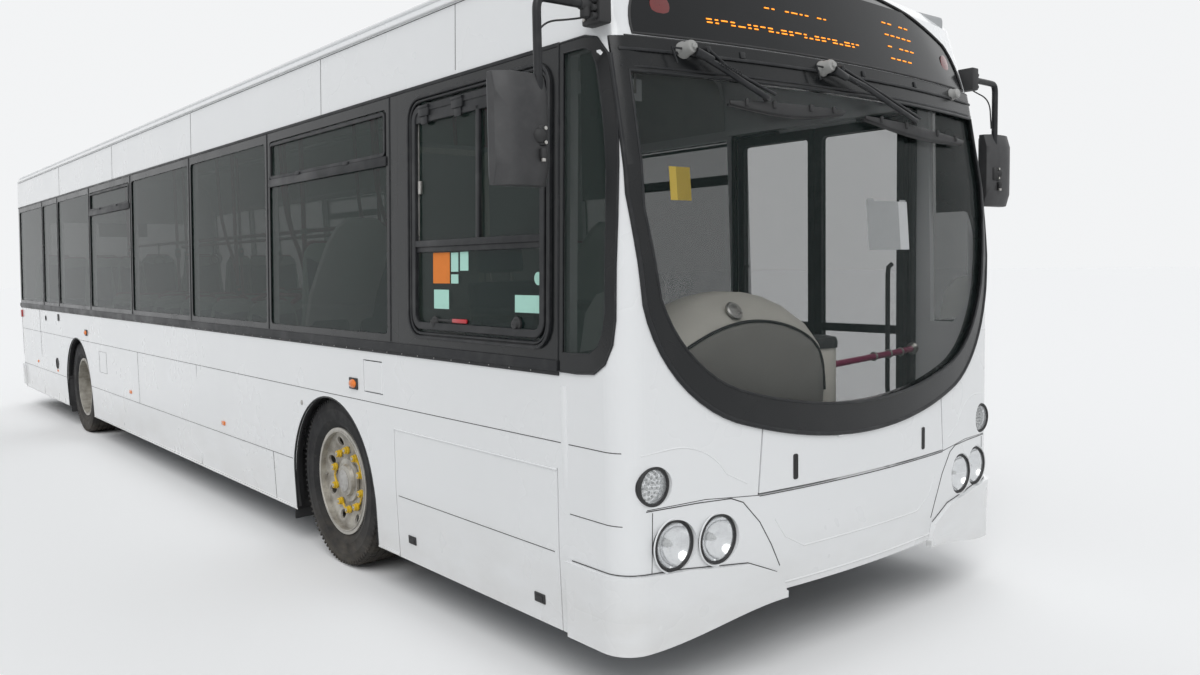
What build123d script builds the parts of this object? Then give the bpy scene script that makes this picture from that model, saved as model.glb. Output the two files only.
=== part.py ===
from build123d import *
import math
import os

# Single-deck low-floor city bus, right-hand drive, in millimetres.
# +Z is up, the front faces -Y, the driver's side (off side) is -X, the entrance side (near side) is +X.
# The origin lies on the ground below the middle of the overall length.

# Overall body
BODY_WIDTH = 2500.0
HALF_WIDTH = BODY_WIDTH / 2
NOSE_Y = -5957.0
TAIL_Y = 5940.0
MOULDING_PROUD = 8.0
CORNER_PROUD = 24.0
REAR_PROUD = -(NOSE_Y - MOULDING_PROUD) - TAIL_Y
WALL = 50.0
SKIRT_Z = 220.0
WAIST_Z = 1250.0
ROOF_SPLIT_Z = 2465.0
CANT_Z = 2800.0
CEILING_Z = 2900.0
NOSE_SPLIT_Y = -5455.0
DOME_SPLIT_Y = -4700.0
TAIL_SPLIT_Y = 5860.0
NOSE_PLAN_R = 5400.0
NOSE_CORNER_R = 120.0
TAIL_CORNER_R = 80.0
TUMBLE = 0.0303
FIT = 0.3
RUN = 0.06
GAP = 6.0
OVER = 20.0
FAR = 20000.0

# Outline of the body, columns: height, in from the side, in from the nose, in from the tail,
# share of an inner wall's thickness that is taken off the height
BODY_ROWS = [
    (SKIRT_Z, 12.0, 12.0, 8.0, 0.0),
    (550.0, 0.0, 0.0, 0.0, 0.0),
    (WAIST_Z, 0.0, 0.0, 0.0, 0.0),
    (1650.0, TUMBLE * (1650.0 - WAIST_Z), 2.0, 0.0, 0.0),
    (2000.0, TUMBLE * (2000.0 - WAIST_Z), 27.0, 0.0, 0.0),
    (ROOF_SPLIT_Z, TUMBLE * (ROOF_SPLIT_Z - WAIST_Z), 108.0, 6.0, 0.0),
    (2630.0, TUMBLE * (2630.0 - WAIST_Z), 159.0, 13.0, 0.0),
    (CANT_Z, TUMBLE * (CANT_Z - WAIST_Z), 212.0, 20.0, 0.5),
    (2850.0, 68.0, 250.0, 45.0, 1.0),
    (2900.0, 158.0, 340.0, 130.0, 1.0),
    (2950.0, 268.0, 470.0, 240.0, 1.0),
    (2990.0, 490.0, 700.0, 460.0, 1.0),
    (3015.0, 830.0, 1040.0, 800.0, 1.0),
]

# Wheels and axles
FRONT_AXLE_Y = -3335.0
REAR_AXLE_Y = 2835.0
TYRE_R = 470.0
TYRE_WIDTH = 275.0
TYRE_SIDE_IN = 40.0
TWIN_PITCH = 310.0
RIM_R = 286.0
RIM_WIDTH = 210.0
RIM_WALL = 12.0
WHEEL_X = HALF_WIDTH - TYRE_SIDE_IN - TYRE_WIDTH / 2
KINGPIN_X = WHEEL_X - TYRE_WIDTH / 2 - 5.0
NUT_CIRCLE_R = 167.5
NUT_COUNT = 10
FRONT_ARCH_R = 525.0
REAR_ARCH_R = 560.0
ARCH_Z = 420.0
BOX_WALL = 20.0
FRONT_BOX_HALF = 620.0
REAR_BOX_HALF = 580.0
FRONT_BOX_X = WHEEL_X - TYRE_WIDTH / 2 - 455.0
REAR_BOX_X = WHEEL_X - TWIN_PITCH - TYRE_WIDTH / 2 - 85.0
BOX_TOP_Z = 1000.0

# Floors
FLOOR_Z = 325.0
FLOOR_THICK = 50.0
STEP_Y = 1950.0
STEP_RISE = 190.0
STEP_TREAD = 300.0
PLATFORM_Z = FLOOR_Z + 2 * STEP_RISE
BENCH_Y = 4520.0
BENCH_Z = 1060.0

# Windows, as lengthways limits of each pane on the driver's side, front to rear
WINDOW_LOW_Z = 1290.0
WINDOW_TOP_Z = 2450.0
SIDE_BAYS = [
    (-4095.0, -2515.0),
    (-2515.0, -1000.0),
    (-1000.0, 600.0),
    (600.0, 2105.0),
    (2105.0, 3565.0),
    (3565.0, 4395.0),
    (4395.0, 5842.0),
]
DRIVER_BAY = (-5430.0, -4255.0)
FRAME_LAP = 32.0
GLASS = 8.0
GLASS_IN = 6.0
PANE_GAP = 3.0

# Entrance, as lengthways limits of the opening on the near side
DOOR_FRONT_Y = -5390.0
DOOR_REAR_Y = -4190.0
DOOR_TOP_Z = 2400.0
LEAF_THICK = 36.0
LEAF_X = HALF_WIDTH - WALL - 7.0 - LEAF_THICK / 2 - TUMBLE * (ROOF_SPLIT_Z - WAIST_Z)
POST_BACK = 40.0
POST_R = 18.0
ARM_THICK = 12.0
ARM_WIDTH = 40.0
PIN_R = 8.0

# Windscreen, front view
MOULDING_LOW_Z = 932.0
SIGHT_LOW_Z = 1056.0
SIGHT_TOP_Z = 2340.0
GLASS_LAP = 22.0
HINGE_ROD_R = 5.0


def body_outline(row, inset):
    """Half width, nose, tail and height of one row of the body, set in by a wall."""
    height, side_in, nose_in, tail_in, roof_share = row
    half = HALF_WIDTH - side_in - inset
    nose = NOSE_Y + nose_in + inset
    tail = TAIL_Y - tail_in - inset
    return half, nose, tail, height - inset * roof_share


def nose_face(row, inset, back, drop):
    """Plan of the front end at one height: a bowed front, two round corners and straight sides."""
    half, nose, tail, height = body_outline(row, inset)
    height = height - drop
    bow = NOSE_PLAN_R - inset
    corner = NOSE_CORNER_R - inset
    reach = math.sqrt((bow - corner) ** 2 - (half - corner) ** 2)
    corner_y = nose + bow - reach
    lean = math.atan2(half - corner, reach)
    tip = (bow * math.sin(lean), nose + bow - bow * math.cos(lean))
    turn = (math.pi / 2 + lean) / 2
    mid = (half - corner + corner * math.sin(turn), corner_y - corner * math.cos(turn))
    front_arc = ThreePointArc((-tip[0], tip[1]), (0, nose), tip)
    near_arc = ThreePointArc(tip, mid, (half, corner_y))
    near_line = Line((half, corner_y), (half, back))
    back_line = Line((half, back), (-half, back))
    off_line = Line((-half, back), (-half, corner_y))
    off_arc = ThreePointArc((-half, corner_y), (-mid[0], mid[1]), (-tip[0], tip[1]))
    outline = front_arc + near_arc + near_line + back_line + off_line + off_arc
    return Pos(0, 0, height) * make_face(outline)


def nose_body(inset, over=0.0):
    """Solid of the front end, back to where the roof levels out or past it, and down past the skirt."""
    faces = []
    for row in BODY_ROWS:
        drop = over if row is BODY_ROWS[0] else 0.0
        faces.append(nose_face(row, inset, DOME_SPLIT_Y + over, drop))
    return loft(faces, ruled=True)


def nose_skin(prism, outer, inner):
    """What a prism holds between two depths of the front end."""
    return (prism & nose_body(outer)) - nose_body(inner, OVER)


def long_body(inset):
    """Solid of the body behind the front end."""
    near = []
    for row in BODY_ROWS:
        half, nose, tail, height = body_outline(row, inset)
        near.append((half, height))
    off = [(-x, z) for x, z in reversed(near)]
    section = Plane.XZ * make_face(Polyline(*near, *off, close=True))
    solid = Pos(0, NOSE_SPLIT_Y, 0) * extrude(section, amount=-(TAIL_Y + 200 - NOSE_SPLIT_Y))
    tail_side = []
    for row in BODY_ROWS:
        half, nose, tail, height = body_outline(row, inset)
        tail_side.append((tail, height))
    low = tail_side[0][1]
    high = tail_side[-1][1]
    side = Plane.YZ * make_face(
        Polyline(*tail_side, (NOSE_SPLIT_Y - 10, high), (NOSE_SPLIT_Y - 10, low), close=True))
    solid = solid & extrude(side, amount=BODY_WIDTH, both=True)
    half = HALF_WIDTH - inset
    tail = TAIL_Y - inset
    plan = Pos(0, (tail + NOSE_SPLIT_Y) / 2 - 100, 0) * Rectangle(2 * half, tail - NOSE_SPLIT_Y + 200)
    corners = plan.vertices().sort_by(Axis.Y)[-2:]
    plan = fillet(corners, TAIL_CORNER_R - min(inset, 40))
    return solid & extrude(plan, amount=4000)


def block(x0, x1, y0, y1, z0, z1):
    """Plain block between two corners."""
    return Pos((x0 + x1) / 2, (y0 + y1) / 2, (z0 + z1) / 2) * Box(x1 - x0, y1 - y0, z1 - z0)


def rod_x(radius, x0, x1, y, z):
    """Round bar along X."""
    return Pos((x0 + x1) / 2, y, z) * Rot(0, 90, 0) * Cylinder(radius, x1 - x0)


def rod_y(radius, x, y0, y1, z):
    """Round bar along Y."""
    return Pos(x, (y0 + y1) / 2, z) * Rot(90, 0, 0) * Cylinder(radius, y1 - y0)


def rod_z(radius, x, y, z0, z1):
    """Round bar along Z."""
    return Pos(x, y, (z0 + z1) / 2) * Cylinder(radius, z1 - z0)


def front_prism(sketch, y0, y1):
    """Front-view outline, x across and z up, pushed from y0 back to y1."""
    return Pos(0, y0, 0) * extrude(Plane.XZ * sketch, amount=-(y1 - y0))


def side_prism(sketch, x0, x1):
    """Side-view outline, y along and z up, pushed from x0 to x1."""
    return Pos(x0, 0, 0) * extrude(Plane.YZ * sketch, amount=x1 - x0)


def mirrored(shape):
    """The same piece on the other side of the bus."""
    return mirror(shape, about=Plane.YZ)


def both_sides(shape):
    """A piece and its mirror image as two solids of one node."""
    return [shape, mirrored(shape)]


parts = {}


def keep(name, *shapes):
    """Collect the solids of one node."""
    solids = []
    for shape in shapes:
        solids.extend(shape.solids())
    parts[name] = solids


# Shells of the body at the depths that the pieces need
nose_out = nose_body(0)
nose_in = nose_body(WALL, OVER)
long_out = long_body(0)
long_in = long_body(WALL)
cavity_cap = block(-FAR, FAR, -FAR, FAR, 0, CEILING_Z)
nose_shell = nose_out - (nose_in & cavity_cap)
long_shell = long_out - (long_in & cavity_cap)
front_zone = block(-FAR, FAR, -FAR, NOSE_SPLIT_Y, 0, ROOF_SPLIT_Z)
dome_zone = block(-FAR, FAR, -FAR, DOME_SPLIT_Y, ROOF_SPLIT_Z, FAR)
roof_zone = block(-FAR, FAR, DOME_SPLIT_Y, FAR, ROOF_SPLIT_Z, FAR)


def screen_outline(middle_z, rows):
    """Windscreen outline in front view: a bowed sill, round lower corners and straight sides."""
    near = [(HALF_WIDTH - side_in, height) for side_in, height in rows]
    off = [(-x, z) for x, z in near]
    outline = ThreePointArc(off[0], (0, middle_z), near[0]) + ThreePointArc(*near[0:3])
    outline = outline + Polyline(*near[2:5]) + Line(near[4], off[4])
    outline = outline + Polyline(*off[2:5]) + ThreePointArc(*off[0:3])
    return make_face(outline)


# Windscreen outlines, columns: in from the side, height
MOULDING_ROWS = [(494.0, 1050.0), (263.0, 1200.0), (102.0, 1500.0), (63.0, 1900.0), (66.0, ROOF_SPLIT_Z)]
SIGHT_ROWS = [(554.0, 1150.0), (320.0, 1280.0), (165.0, 1520.0), (112.0, 1850.0), (115.0, SIGHT_TOP_Z)]
moulding_face = screen_outline(MOULDING_LOW_Z, MOULDING_ROWS)
sight_face = screen_outline(SIGHT_LOW_Z, SIGHT_ROWS)
glass_face = offset(sight_face, amount=GLASS_LAP)
SCREEN_Y0 = NOSE_Y - 100
SCREEN_Y1 = NOSE_Y + 420
moulding_prism = front_prism(moulding_face, SCREEN_Y0, SCREEN_Y1)
sight_prism = front_prism(sight_face, SCREEN_Y0, SCREEN_Y1)
glass_prism = front_prism(glass_face, SCREEN_Y0, SCREEN_Y1)

SCREEN_IN = 10.0
RING_SHORT = 5.0
windscreen = nose_skin(glass_prism, SCREEN_IN, SCREEN_IN + GLASS)
groove_prism = front_prism(offset(glass_face, amount=FIT), SCREEN_Y0, SCREEN_Y1)
groove = nose_skin(groove_prism, SCREEN_IN - FIT, SCREEN_IN + GLASS + FIT)
ring = nose_skin((moulding_prism - sight_prism) & front_zone, -MOULDING_PROUD, WALL - RING_SHORT)
keep("windscreen", windscreen)

# Quarter windows beside the windscreen
QUARTER_LAP = 26.0
quarter_face = make_face(Polyline(
    (NOSE_SPLIT_Y - 20, WINDOW_LOW_Z), (NOSE_SPLIT_Y - 190, WINDOW_LOW_Z), (NOSE_SPLIT_Y - 290, 1420),
    (NOSE_SPLIT_Y - 290, 2000), (NOSE_SPLIT_Y - 200, WINDOW_TOP_Z), (NOSE_SPLIT_Y - 20, WINDOW_TOP_Z),
    close=True))
QUARTER_X = -HALF_WIDTH + 200.0
quarter_cut = side_prism(quarter_face, -BODY_WIDTH, QUARTER_X)
quarter_sight = side_prism(offset(quarter_face, amount=-QUARTER_LAP, kind=Kind.INTERSECTION),
                           -BODY_WIDTH, QUARTER_X)
quarter_pane_prism = side_prism(offset(quarter_face, amount=-PANE_GAP, kind=Kind.INTERSECTION),
                                -BODY_WIDTH, QUARTER_X)
quarter_rebate = quarter_cut - nose_body(GLASS_IN + GLASS + FIT, OVER)
quarter_pane = nose_skin(quarter_pane_prism, GLASS_IN, GLASS_IN + GLASS)

# Front panel below and beside the windscreen
FLAP_LOW_Z = 745.0
FLAP_TOP_HALF = HALF_WIDTH - 625.0
FLAP_LOW_HALF = HALF_WIDTH - 600.0
FLAP_GAP = 8.0
FLAP_TOP_Z = 1010.0
LOWER_EDGE_Z = 345.0
FRONT_CUT_HALF = HALF_WIDTH - 110.0
front_cut = block(-FRONT_CUT_HALF, FRONT_CUT_HALF, -FAR, NOSE_SPLIT_Y + OVER, 0, LOWER_EDGE_Z)
flap_face = make_face(Polyline(
    (-FLAP_LOW_HALF, FLAP_LOW_Z), (FLAP_LOW_HALF, FLAP_LOW_Z),
    (FLAP_TOP_HALF, FLAP_TOP_Z), (-FLAP_TOP_HALF, FLAP_TOP_Z), close=True))
FLAP_Y1 = NOSE_Y + 200.0
flap_region = front_prism(flap_face, SCREEN_Y0, FLAP_Y1)
flap_prism = front_prism(offset(flap_face, amount=-FLAP_GAP, kind=Kind.INTERSECTION), SCREEN_Y0, FLAP_Y1)
flap_limit = front_prism(offset(moulding_face, amount=GAP), SCREEN_Y0, FLAP_Y1)
FLAP_THICK = 12.0
flap_plate = nose_skin(flap_prism, 0, FLAP_THICK) - flap_limit
FLAP_HINGE_Z = 928.0
FLAP_HINGE_HALF = 200.0
flap_rod = rod_x(HINGE_ROD_R, -FLAP_HINGE_HALF, FLAP_HINGE_HALF, NOSE_Y, FLAP_HINGE_Z)
front_flap = flap_plate + flap_rod

# Lamps, columns: distance from the middle, height, radius of the lens
HEADLAMPS = [(HALF_WIDTH - 215.0, 610.0, 90.0), (HALF_WIDTH - 412.0, 604.0, 90.0)]
INDICATOR = (HALF_WIDTH - 132.0, 840.0, 68.0)
LAMP_DEPTH = 55.0
LAMP_RIM = 18.0
LAMP_CLEAR = 6.0
LENS_IN = 14.0
LENS_DOME = 10.0
LENS_SHARE = 0.75
front_shell = (nose_shell & front_zone) - moulding_prism - flap_region - front_cut
front_shell = front_shell - quarter_rebate - mirrored(quarter_rebate)
front_shell = front_shell - quarter_sight - mirrored(quarter_sight)
lamps = []
wells = []
for lamp_x, lamp_z, lamp_r in HEADLAMPS + [INDICATOR]:
    face_y = NOSE_Y + lamp_x ** 2 / (2 * NOSE_PLAN_R)
    boss = rod_y(lamp_r + LAMP_RIM, lamp_x, SCREEN_Y0, face_y + LAMP_DEPTH + LAMP_RIM, lamp_z) & nose_out
    well = rod_y(lamp_r + LAMP_CLEAR, lamp_x, SCREEN_Y0, face_y + LAMP_DEPTH, lamp_z)
    lens = rod_y(lamp_r, lamp_x, face_y + LENS_IN, face_y + LAMP_DEPTH - FIT, lamp_z)
    dome = Cone(lamp_r, lamp_r * LENS_SHARE, LENS_DOME, align=(Align.CENTER, Align.CENTER, Align.MIN))
    lens = lens + Pos(lamp_x, face_y + LENS_IN, lamp_z) * Rot(90, 0, 0) * dome
    front_shell = front_shell + boss + mirrored(boss)
    wells.extend(both_sides(well))
    lamps.extend(both_sides(lens))
for well in wells:
    front_shell = front_shell - well
hinge_groove = rod_x(HINGE_ROD_R + FIT, -FLAP_HINGE_HALF - 5, FLAP_HINGE_HALF + 5, NOSE_Y, FLAP_HINGE_Z)
keep("windscreen_moulding", ring - groove - hinge_groove)
keep("front_panel", front_shell)
keep("front_flap", front_flap)
keep("headlamps", *lamps)

# Front bumper: two corner pieces that stand proud
# Outline of a corner piece in front view, columns: in from the side, height
CORNER_ROWS = [
    (745.0, 318.0), (710.0, 420.0), (550.0, 486.0), (250.0, 515.0), (-150.0, 522.0), (-150.0, 250.0),
    (70.0, 250.0), (120.0, 312.0),
]
corner_face = make_face(Polyline(*[(HALF_WIDTH - side_in, z) for side_in, z in CORNER_ROWS], close=True))
bumper_corner = nose_skin(front_prism(corner_face, SCREEN_Y0, NOSE_SPLIT_Y - 40), -CORNER_PROUD, -FIT)
keep("front_bumper", *both_sides(bumper_corner))

# Roof
DISPLAY_TOP_Z = 2872.0
# Outline of the display, columns: in from the side, height
DISPLAY_ROWS = [(260.0, 2700.0), (190.0, 2630.0), (152.0, 2480.0)]
near_side = [(HALF_WIDTH - side_in, z) for side_in, z in DISPLAY_ROWS]
off_side = [(-x, z) for x, z in near_side]
display_face = make_face(
    ThreePointArc(off_side[0], (0, DISPLAY_TOP_Z), near_side[0]) + ThreePointArc(*near_side)
    + Line(near_side[2], off_side[2]) + ThreePointArc(*off_side))
DISPLAY_Y1 = NOSE_Y + 600.0
DISPLAY_IN = 2.0
display_prism = front_prism(display_face, SCREEN_Y0, DISPLAY_Y1)
display_glass = front_prism(offset(display_face, amount=-PANE_GAP), SCREEN_Y0, DISPLAY_Y1)
display_glass = nose_skin(display_glass, DISPLAY_IN, DISPLAY_IN + GLASS)
display_recess = display_prism - nose_body(DISPLAY_IN + GLASS + FIT, OVER)
POD_FRONT_Y = -100.0
POD_REAR_Y = 2050.0
POD_HALF = HALF_WIDTH - 450.0
POD_RISE = 65.0
POD_TOP_Z = BODY_ROWS[-1][0] + POD_RISE
POD_CHAMFER = 50.0
pod = block(-POD_HALF, POD_HALF, POD_FRONT_Y, POD_REAR_Y, CEILING_Z, POD_TOP_Z)
pod = chamfer(pod.faces().sort_by(Axis.Z)[-1].edges(), POD_CHAMFER)
keep("front_dome", (nose_shell & dome_zone) - display_recess)
keep("roof", (long_shell & roof_zone) + pod)
keep("destination_glass", display_glass)

# Side walls
wall_zone = block(-FAR, 0, NOSE_SPLIT_Y, TAIL_SPLIT_Y, 0, ROOF_SPLIT_Z)
side_wall = long_shell & wall_zone
rebate_long = long_body(GLASS_IN + GLASS + FIT)
pane_long = long_body(GLASS_IN) - long_body(GLASS_IN + GLASS)


def arch_cut(y, radius):
    """Round wheel opening down through the skirt."""
    hole = rod_x(radius, -BODY_WIDTH, -HALF_WIDTH + 3 * WALL, y, ARCH_Z)
    return hole + block(-BODY_WIDTH, -HALF_WIDTH + 3 * WALL, y - radius, y + radius, 0, ARCH_Z)


def glazed(wall, bays):
    """Cut a rebate and an opening for each pane, and return the wall and its panes."""
    panes = []
    for front, rear in bays:
        rebate = block(-BODY_WIDTH, -HALF_WIDTH / 2, front, rear, WINDOW_LOW_Z, WINDOW_TOP_Z) - rebate_long
        hole = block(-BODY_WIDTH, -HALF_WIDTH / 2, front + FRAME_LAP, rear - FRAME_LAP,
                     WINDOW_LOW_Z + FRAME_LAP, WINDOW_TOP_Z - FRAME_LAP)
        wall = wall - rebate - hole
        pane = block(-BODY_WIDTH, -HALF_WIDTH / 2, front + PANE_GAP, rear - PANE_GAP,
                     WINDOW_LOW_Z + PANE_GAP, WINDOW_TOP_Z - PANE_GAP) & pane_long
        panes.append(pane)
    return wall, panes


side_wall = side_wall - arch_cut(FRONT_AXLE_Y, FRONT_ARCH_R) - arch_cut(REAR_AXLE_Y, REAR_ARCH_R)
side_wall, side_panes = glazed(side_wall, SIDE_BAYS)
off_wall, driver_panes = glazed(side_wall, [DRIVER_BAY])

# Service flap ahead of the driver's-side front wheel, hung on a rod along its top edge
SERVICE_FRONT_Y = -5433.0
SERVICE_REAR_Y = -4092.0
SERVICE_TOP_Z = 867.0
FLAP_IN = 36.0
off_skin = -HALF_WIDTH
service_plate = block(-BODY_WIDTH, off_skin + FLAP_IN, SERVICE_FRONT_Y + GAP, SERVICE_REAR_Y - GAP,
                      SKIRT_Z, SERVICE_TOP_Z - GAP) & long_out
service_hinge_z = SERVICE_TOP_Z - GAP
service_rod = rod_y(HINGE_ROD_R, off_skin, SERVICE_FRONT_Y + GAP, SERVICE_REAR_Y - GAP, service_hinge_z)
SERVICE_LINTEL_Z = service_hinge_z + HINGE_ROD_R + FIT
service_hole = block(-BODY_WIDTH, off_skin + 3 * WALL, SERVICE_FRONT_Y, SERVICE_REAR_Y, 0, SERVICE_LINTEL_Z)
service_flap = service_plate + service_rod
off_wall = off_wall - service_hole
keep("service_flap", service_flap)

# Fuel flap, hung on a rod along its front edge
FUEL_FRONT_Y = -3989.0
FUEL_REAR_Y = -3781.0
FUEL_LOW_Z = 1018.0
FUEL_TOP_Z = 1185.0
FUEL_THICK = 12.0
fuel_pocket = block(-BODY_WIDTH, off_skin + FUEL_THICK + 20, FUEL_FRONT_Y, FUEL_REAR_Y, FUEL_LOW_Z,
                    FUEL_TOP_Z)
fuel_hinge_y = FUEL_FRONT_Y + FIT + HINGE_ROD_R
fuel_rod = rod_z(HINGE_ROD_R, off_skin, fuel_hinge_y, FUEL_LOW_Z + GAP, FUEL_TOP_Z - GAP)
fuel_plate = block(off_skin, off_skin + FUEL_THICK, fuel_hinge_y, FUEL_REAR_Y - GAP,
                   FUEL_LOW_Z + GAP, FUEL_TOP_Z - GAP)
off_wall = off_wall - fuel_pocket
keep("fuel_flap", fuel_plate + fuel_rod)
keep("off_side_wall", off_wall)

# Near side wall with the entrance
near_wall = mirrored(side_wall)
doorway = block(HALF_WIDTH / 2, BODY_WIDTH, DOOR_FRONT_Y, DOOR_REAR_Y, FLOOR_Z - 5, DOOR_TOP_Z)
near_wall = near_wall - doorway
ARM_GAP = 5.0
ARM_LOW_Z = FLOOR_Z + GAP
LEAF_LOW_Z = ARM_LOW_Z + ARM_THICK + ARM_GAP
ARM_TOP_Z = DOOR_TOP_Z + 2 * GAP
LEAF_TOP_Z = ARM_TOP_Z - ARM_GAP
HEADER_Z = ARM_TOP_Z + ARM_THICK + GAP
HEADER_OVER = 50.0
header = block(LEAF_X - 60, HALF_WIDTH - WALL - 10, DOOR_FRONT_Y - HEADER_OVER, DOOR_REAR_Y + HEADER_OVER,
               HEADER_Z, ROOF_SPLIT_Z)
POST_TOP_Z = ROOF_SPLIT_Z - 10.0
post_front_y = DOOR_FRONT_Y - POST_BACK
post_rear_y = DOOR_REAR_Y + POST_BACK
near_wall = near_wall + header
for post_y in (post_front_y, post_rear_y):
    near_wall = near_wall - rod_z(POST_R + RUN, LEAF_X, post_y, HEADER_Z - 1, POST_TOP_Z)
keep("near_side_wall", near_wall)
keep("side_windows", *driver_panes, *side_panes, *[mirrored(pane) for pane in side_panes],
     *both_sides(quarter_pane))

# Entrance leaves and the posts with arms that carry them
LEAF_WIDTH = (DOOR_REAR_Y - DOOR_FRONT_Y) / 2 - 9
LEAF_FRAME = 50.0
LEAF_BAR = (1240.0, 1290.0)
LEAF_EDGE = 5.0
ARM_REACH = POST_BACK + LEAF_EDGE + LEAF_WIDTH / 2


def door_leaf(post_y, toward):
    """Glazed leaf with its two pivot pins; toward is +1 where the leaf lies behind its post."""
    middle = post_y + toward * ARM_REACH
    half = LEAF_WIDTH / 2
    leaf = block(LEAF_X - LEAF_THICK / 2, LEAF_X + LEAF_THICK / 2, middle - half, middle + half,
                 LEAF_LOW_Z, LEAF_TOP_Z)
    y0 = middle - half + LEAF_FRAME
    y1 = middle + half - LEAF_FRAME
    for low, high in ((LEAF_LOW_Z + LEAF_FRAME, LEAF_BAR[0]), (LEAF_BAR[1], LEAF_TOP_Z - LEAF_FRAME)):
        leaf = leaf - block(LEAF_X - LEAF_THICK, LEAF_X + LEAF_THICK, y0, y1, low, high)
        leaf = leaf + block(LEAF_X - GLASS / 2, LEAF_X + GLASS / 2, y0, y1, low, high)
    leaf = leaf + rod_z(PIN_R, LEAF_X, middle, ARM_LOW_Z, LEAF_LOW_Z)
    return leaf + rod_z(PIN_R, LEAF_X, middle, LEAF_TOP_Z, ARM_TOP_Z + ARM_THICK)


def door_post(post_y, toward):
    """Turning post with an arm below and an arm above the leaf."""
    middle = post_y + toward * ARM_REACH
    post = rod_z(POST_R, LEAF_X, post_y, FLOOR_Z + FIT, POST_TOP_Z - FIT)
    for low in (ARM_LOW_Z, ARM_TOP_Z):
        arm = block(LEAF_X - ARM_WIDTH / 2, LEAF_X + ARM_WIDTH / 2, min(post_y, middle),
                    max(post_y, middle), low, low + ARM_THICK)
        arm = arm + rod_z(ARM_WIDTH / 2, LEAF_X, middle, low, low + ARM_THICK)
        post = post + (arm - rod_z(PIN_R + RUN, LEAF_X, middle, low - 1, low + ARM_THICK + 1))
    return post


keep("front_door_leaf", door_leaf(post_front_y, 1))
keep("rear_door_leaf", door_leaf(post_rear_y, -1))
keep("front_door_post", door_post(post_front_y, 1))
keep("rear_door_post", door_post(post_rear_y, -1))

# Rear wall with its window and engine cover
tail_zone = block(-FAR, FAR, TAIL_SPLIT_Y, FAR, 0, ROOF_SPLIT_Z)
rear_wall = long_shell & tail_zone
REAR_WINDOW_HALF = HALF_WIDTH - 350.0
REAR_WINDOW_LOW_Z = 1520.0
REAR_WINDOW_TOP_Z = 2330.0
rear_rebate = block(-REAR_WINDOW_HALF, REAR_WINDOW_HALF, TAIL_SPLIT_Y, TAIL_Y + 100, REAR_WINDOW_LOW_Z,
                    REAR_WINDOW_TOP_Z) - rebate_long
rear_hole = block(-REAR_WINDOW_HALF + FRAME_LAP, REAR_WINDOW_HALF - FRAME_LAP, TAIL_SPLIT_Y - 50,
                  TAIL_Y + 100, REAR_WINDOW_LOW_Z + FRAME_LAP, REAR_WINDOW_TOP_Z - FRAME_LAP)
rear_pane = block(-REAR_WINDOW_HALF + PANE_GAP, REAR_WINDOW_HALF - PANE_GAP, TAIL_SPLIT_Y, TAIL_Y + 100,
                  REAR_WINDOW_LOW_Z + PANE_GAP, REAR_WINDOW_TOP_Z - PANE_GAP) & pane_long
rear_wall = rear_wall - rear_rebate - rear_hole
COVER_HALF = HALF_WIDTH - 450.0
COVER_LOW_Z = 545.0
COVER_TOP_Z = 1300.0
COVER_THICK = 36.0
cover_hinge_z = COVER_TOP_Z - FIT - HINGE_ROD_R
rear_wall = rear_wall - block(-COVER_HALF, COVER_HALF, TAIL_SPLIT_Y - 50, TAIL_Y + 50, COVER_LOW_Z,
                              COVER_TOP_Z)
engine_cover = block(-COVER_HALF + GAP, COVER_HALF - GAP, TAIL_Y - COVER_THICK, TAIL_Y,
                     COVER_LOW_Z + GAP, cover_hinge_z)
engine_cover = engine_cover + rod_x(HINGE_ROD_R, -COVER_HALF + GAP, COVER_HALF - GAP, TAIL_Y, cover_hinge_z)
keep("rear_wall", rear_wall)
keep("rear_window", rear_pane)
keep("engine_cover", engine_cover)
BUMPER_LOW_Z = 260.0
BUMPER_TOP_Z = 520.0
bumper_zone = block(-FAR, FAR, TAIL_SPLIT_Y - 60, FAR, BUMPER_LOW_Z, BUMPER_TOP_Z)
PLATE_SEAT_Y = TAIL_Y + 15.0
PLATE_HALF = 290.0
PLATE_LOW_Z = 310.0
PLATE_TOP_Z = 470.0
rear_bumper = (long_body(-REAR_PROUD) & bumper_zone) - long_body(-2 * FIT)
rear_bumper = rear_bumper - block(-PLATE_HALF, PLATE_HALF, PLATE_SEAT_Y, FAR, PLATE_LOW_Z, PLATE_TOP_Z)
keep("rear_bumper", rear_bumper)
REAR_LAMP_X = HALF_WIDTH - 130.0
REAR_LAMP_R = 55.0
REAR_LAMP_THICK = 18.0
rear_lamps = []
REAR_LAMP_ZS = (700.0, 840.0, 980.0, 1120.0)
for lamp_z in REAR_LAMP_ZS:
    rear_lamp = rod_y(REAR_LAMP_R, REAR_LAMP_X, TAIL_Y + FIT, TAIL_Y + REAR_LAMP_THICK, lamp_z)
    rear_lamps.extend(both_sides(rear_lamp))
keep("rear_lamps", *rear_lamps)

# Floors
INNER_HALF = HALF_WIDTH - WALL - FIT
CURVE_FRONT_Y = -5700.0
long_room = long_body(WALL + FIT)
floor = block(-INNER_HALF, INNER_HALF, NOSE_SPLIT_Y, STEP_Y, FLOOR_Z - FLOOR_THICK, FLOOR_Z) & long_room
floor = floor + (block(-INNER_HALF, INNER_HALF, CURVE_FRONT_Y, NOSE_SPLIT_Y, FLOOR_Z - FLOOR_THICK, FLOOR_Z)
                 & nose_body(WALL + FIT))
box_hole = block(FRONT_BOX_X - FIT, FAR, FRONT_AXLE_Y - FRONT_BOX_HALF - FIT,
                 FRONT_AXLE_Y + FRONT_BOX_HALF + FIT, 0, BOX_TOP_Z)
floor = floor - box_hole - mirrored(box_hole)
keep("floor", floor)

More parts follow.
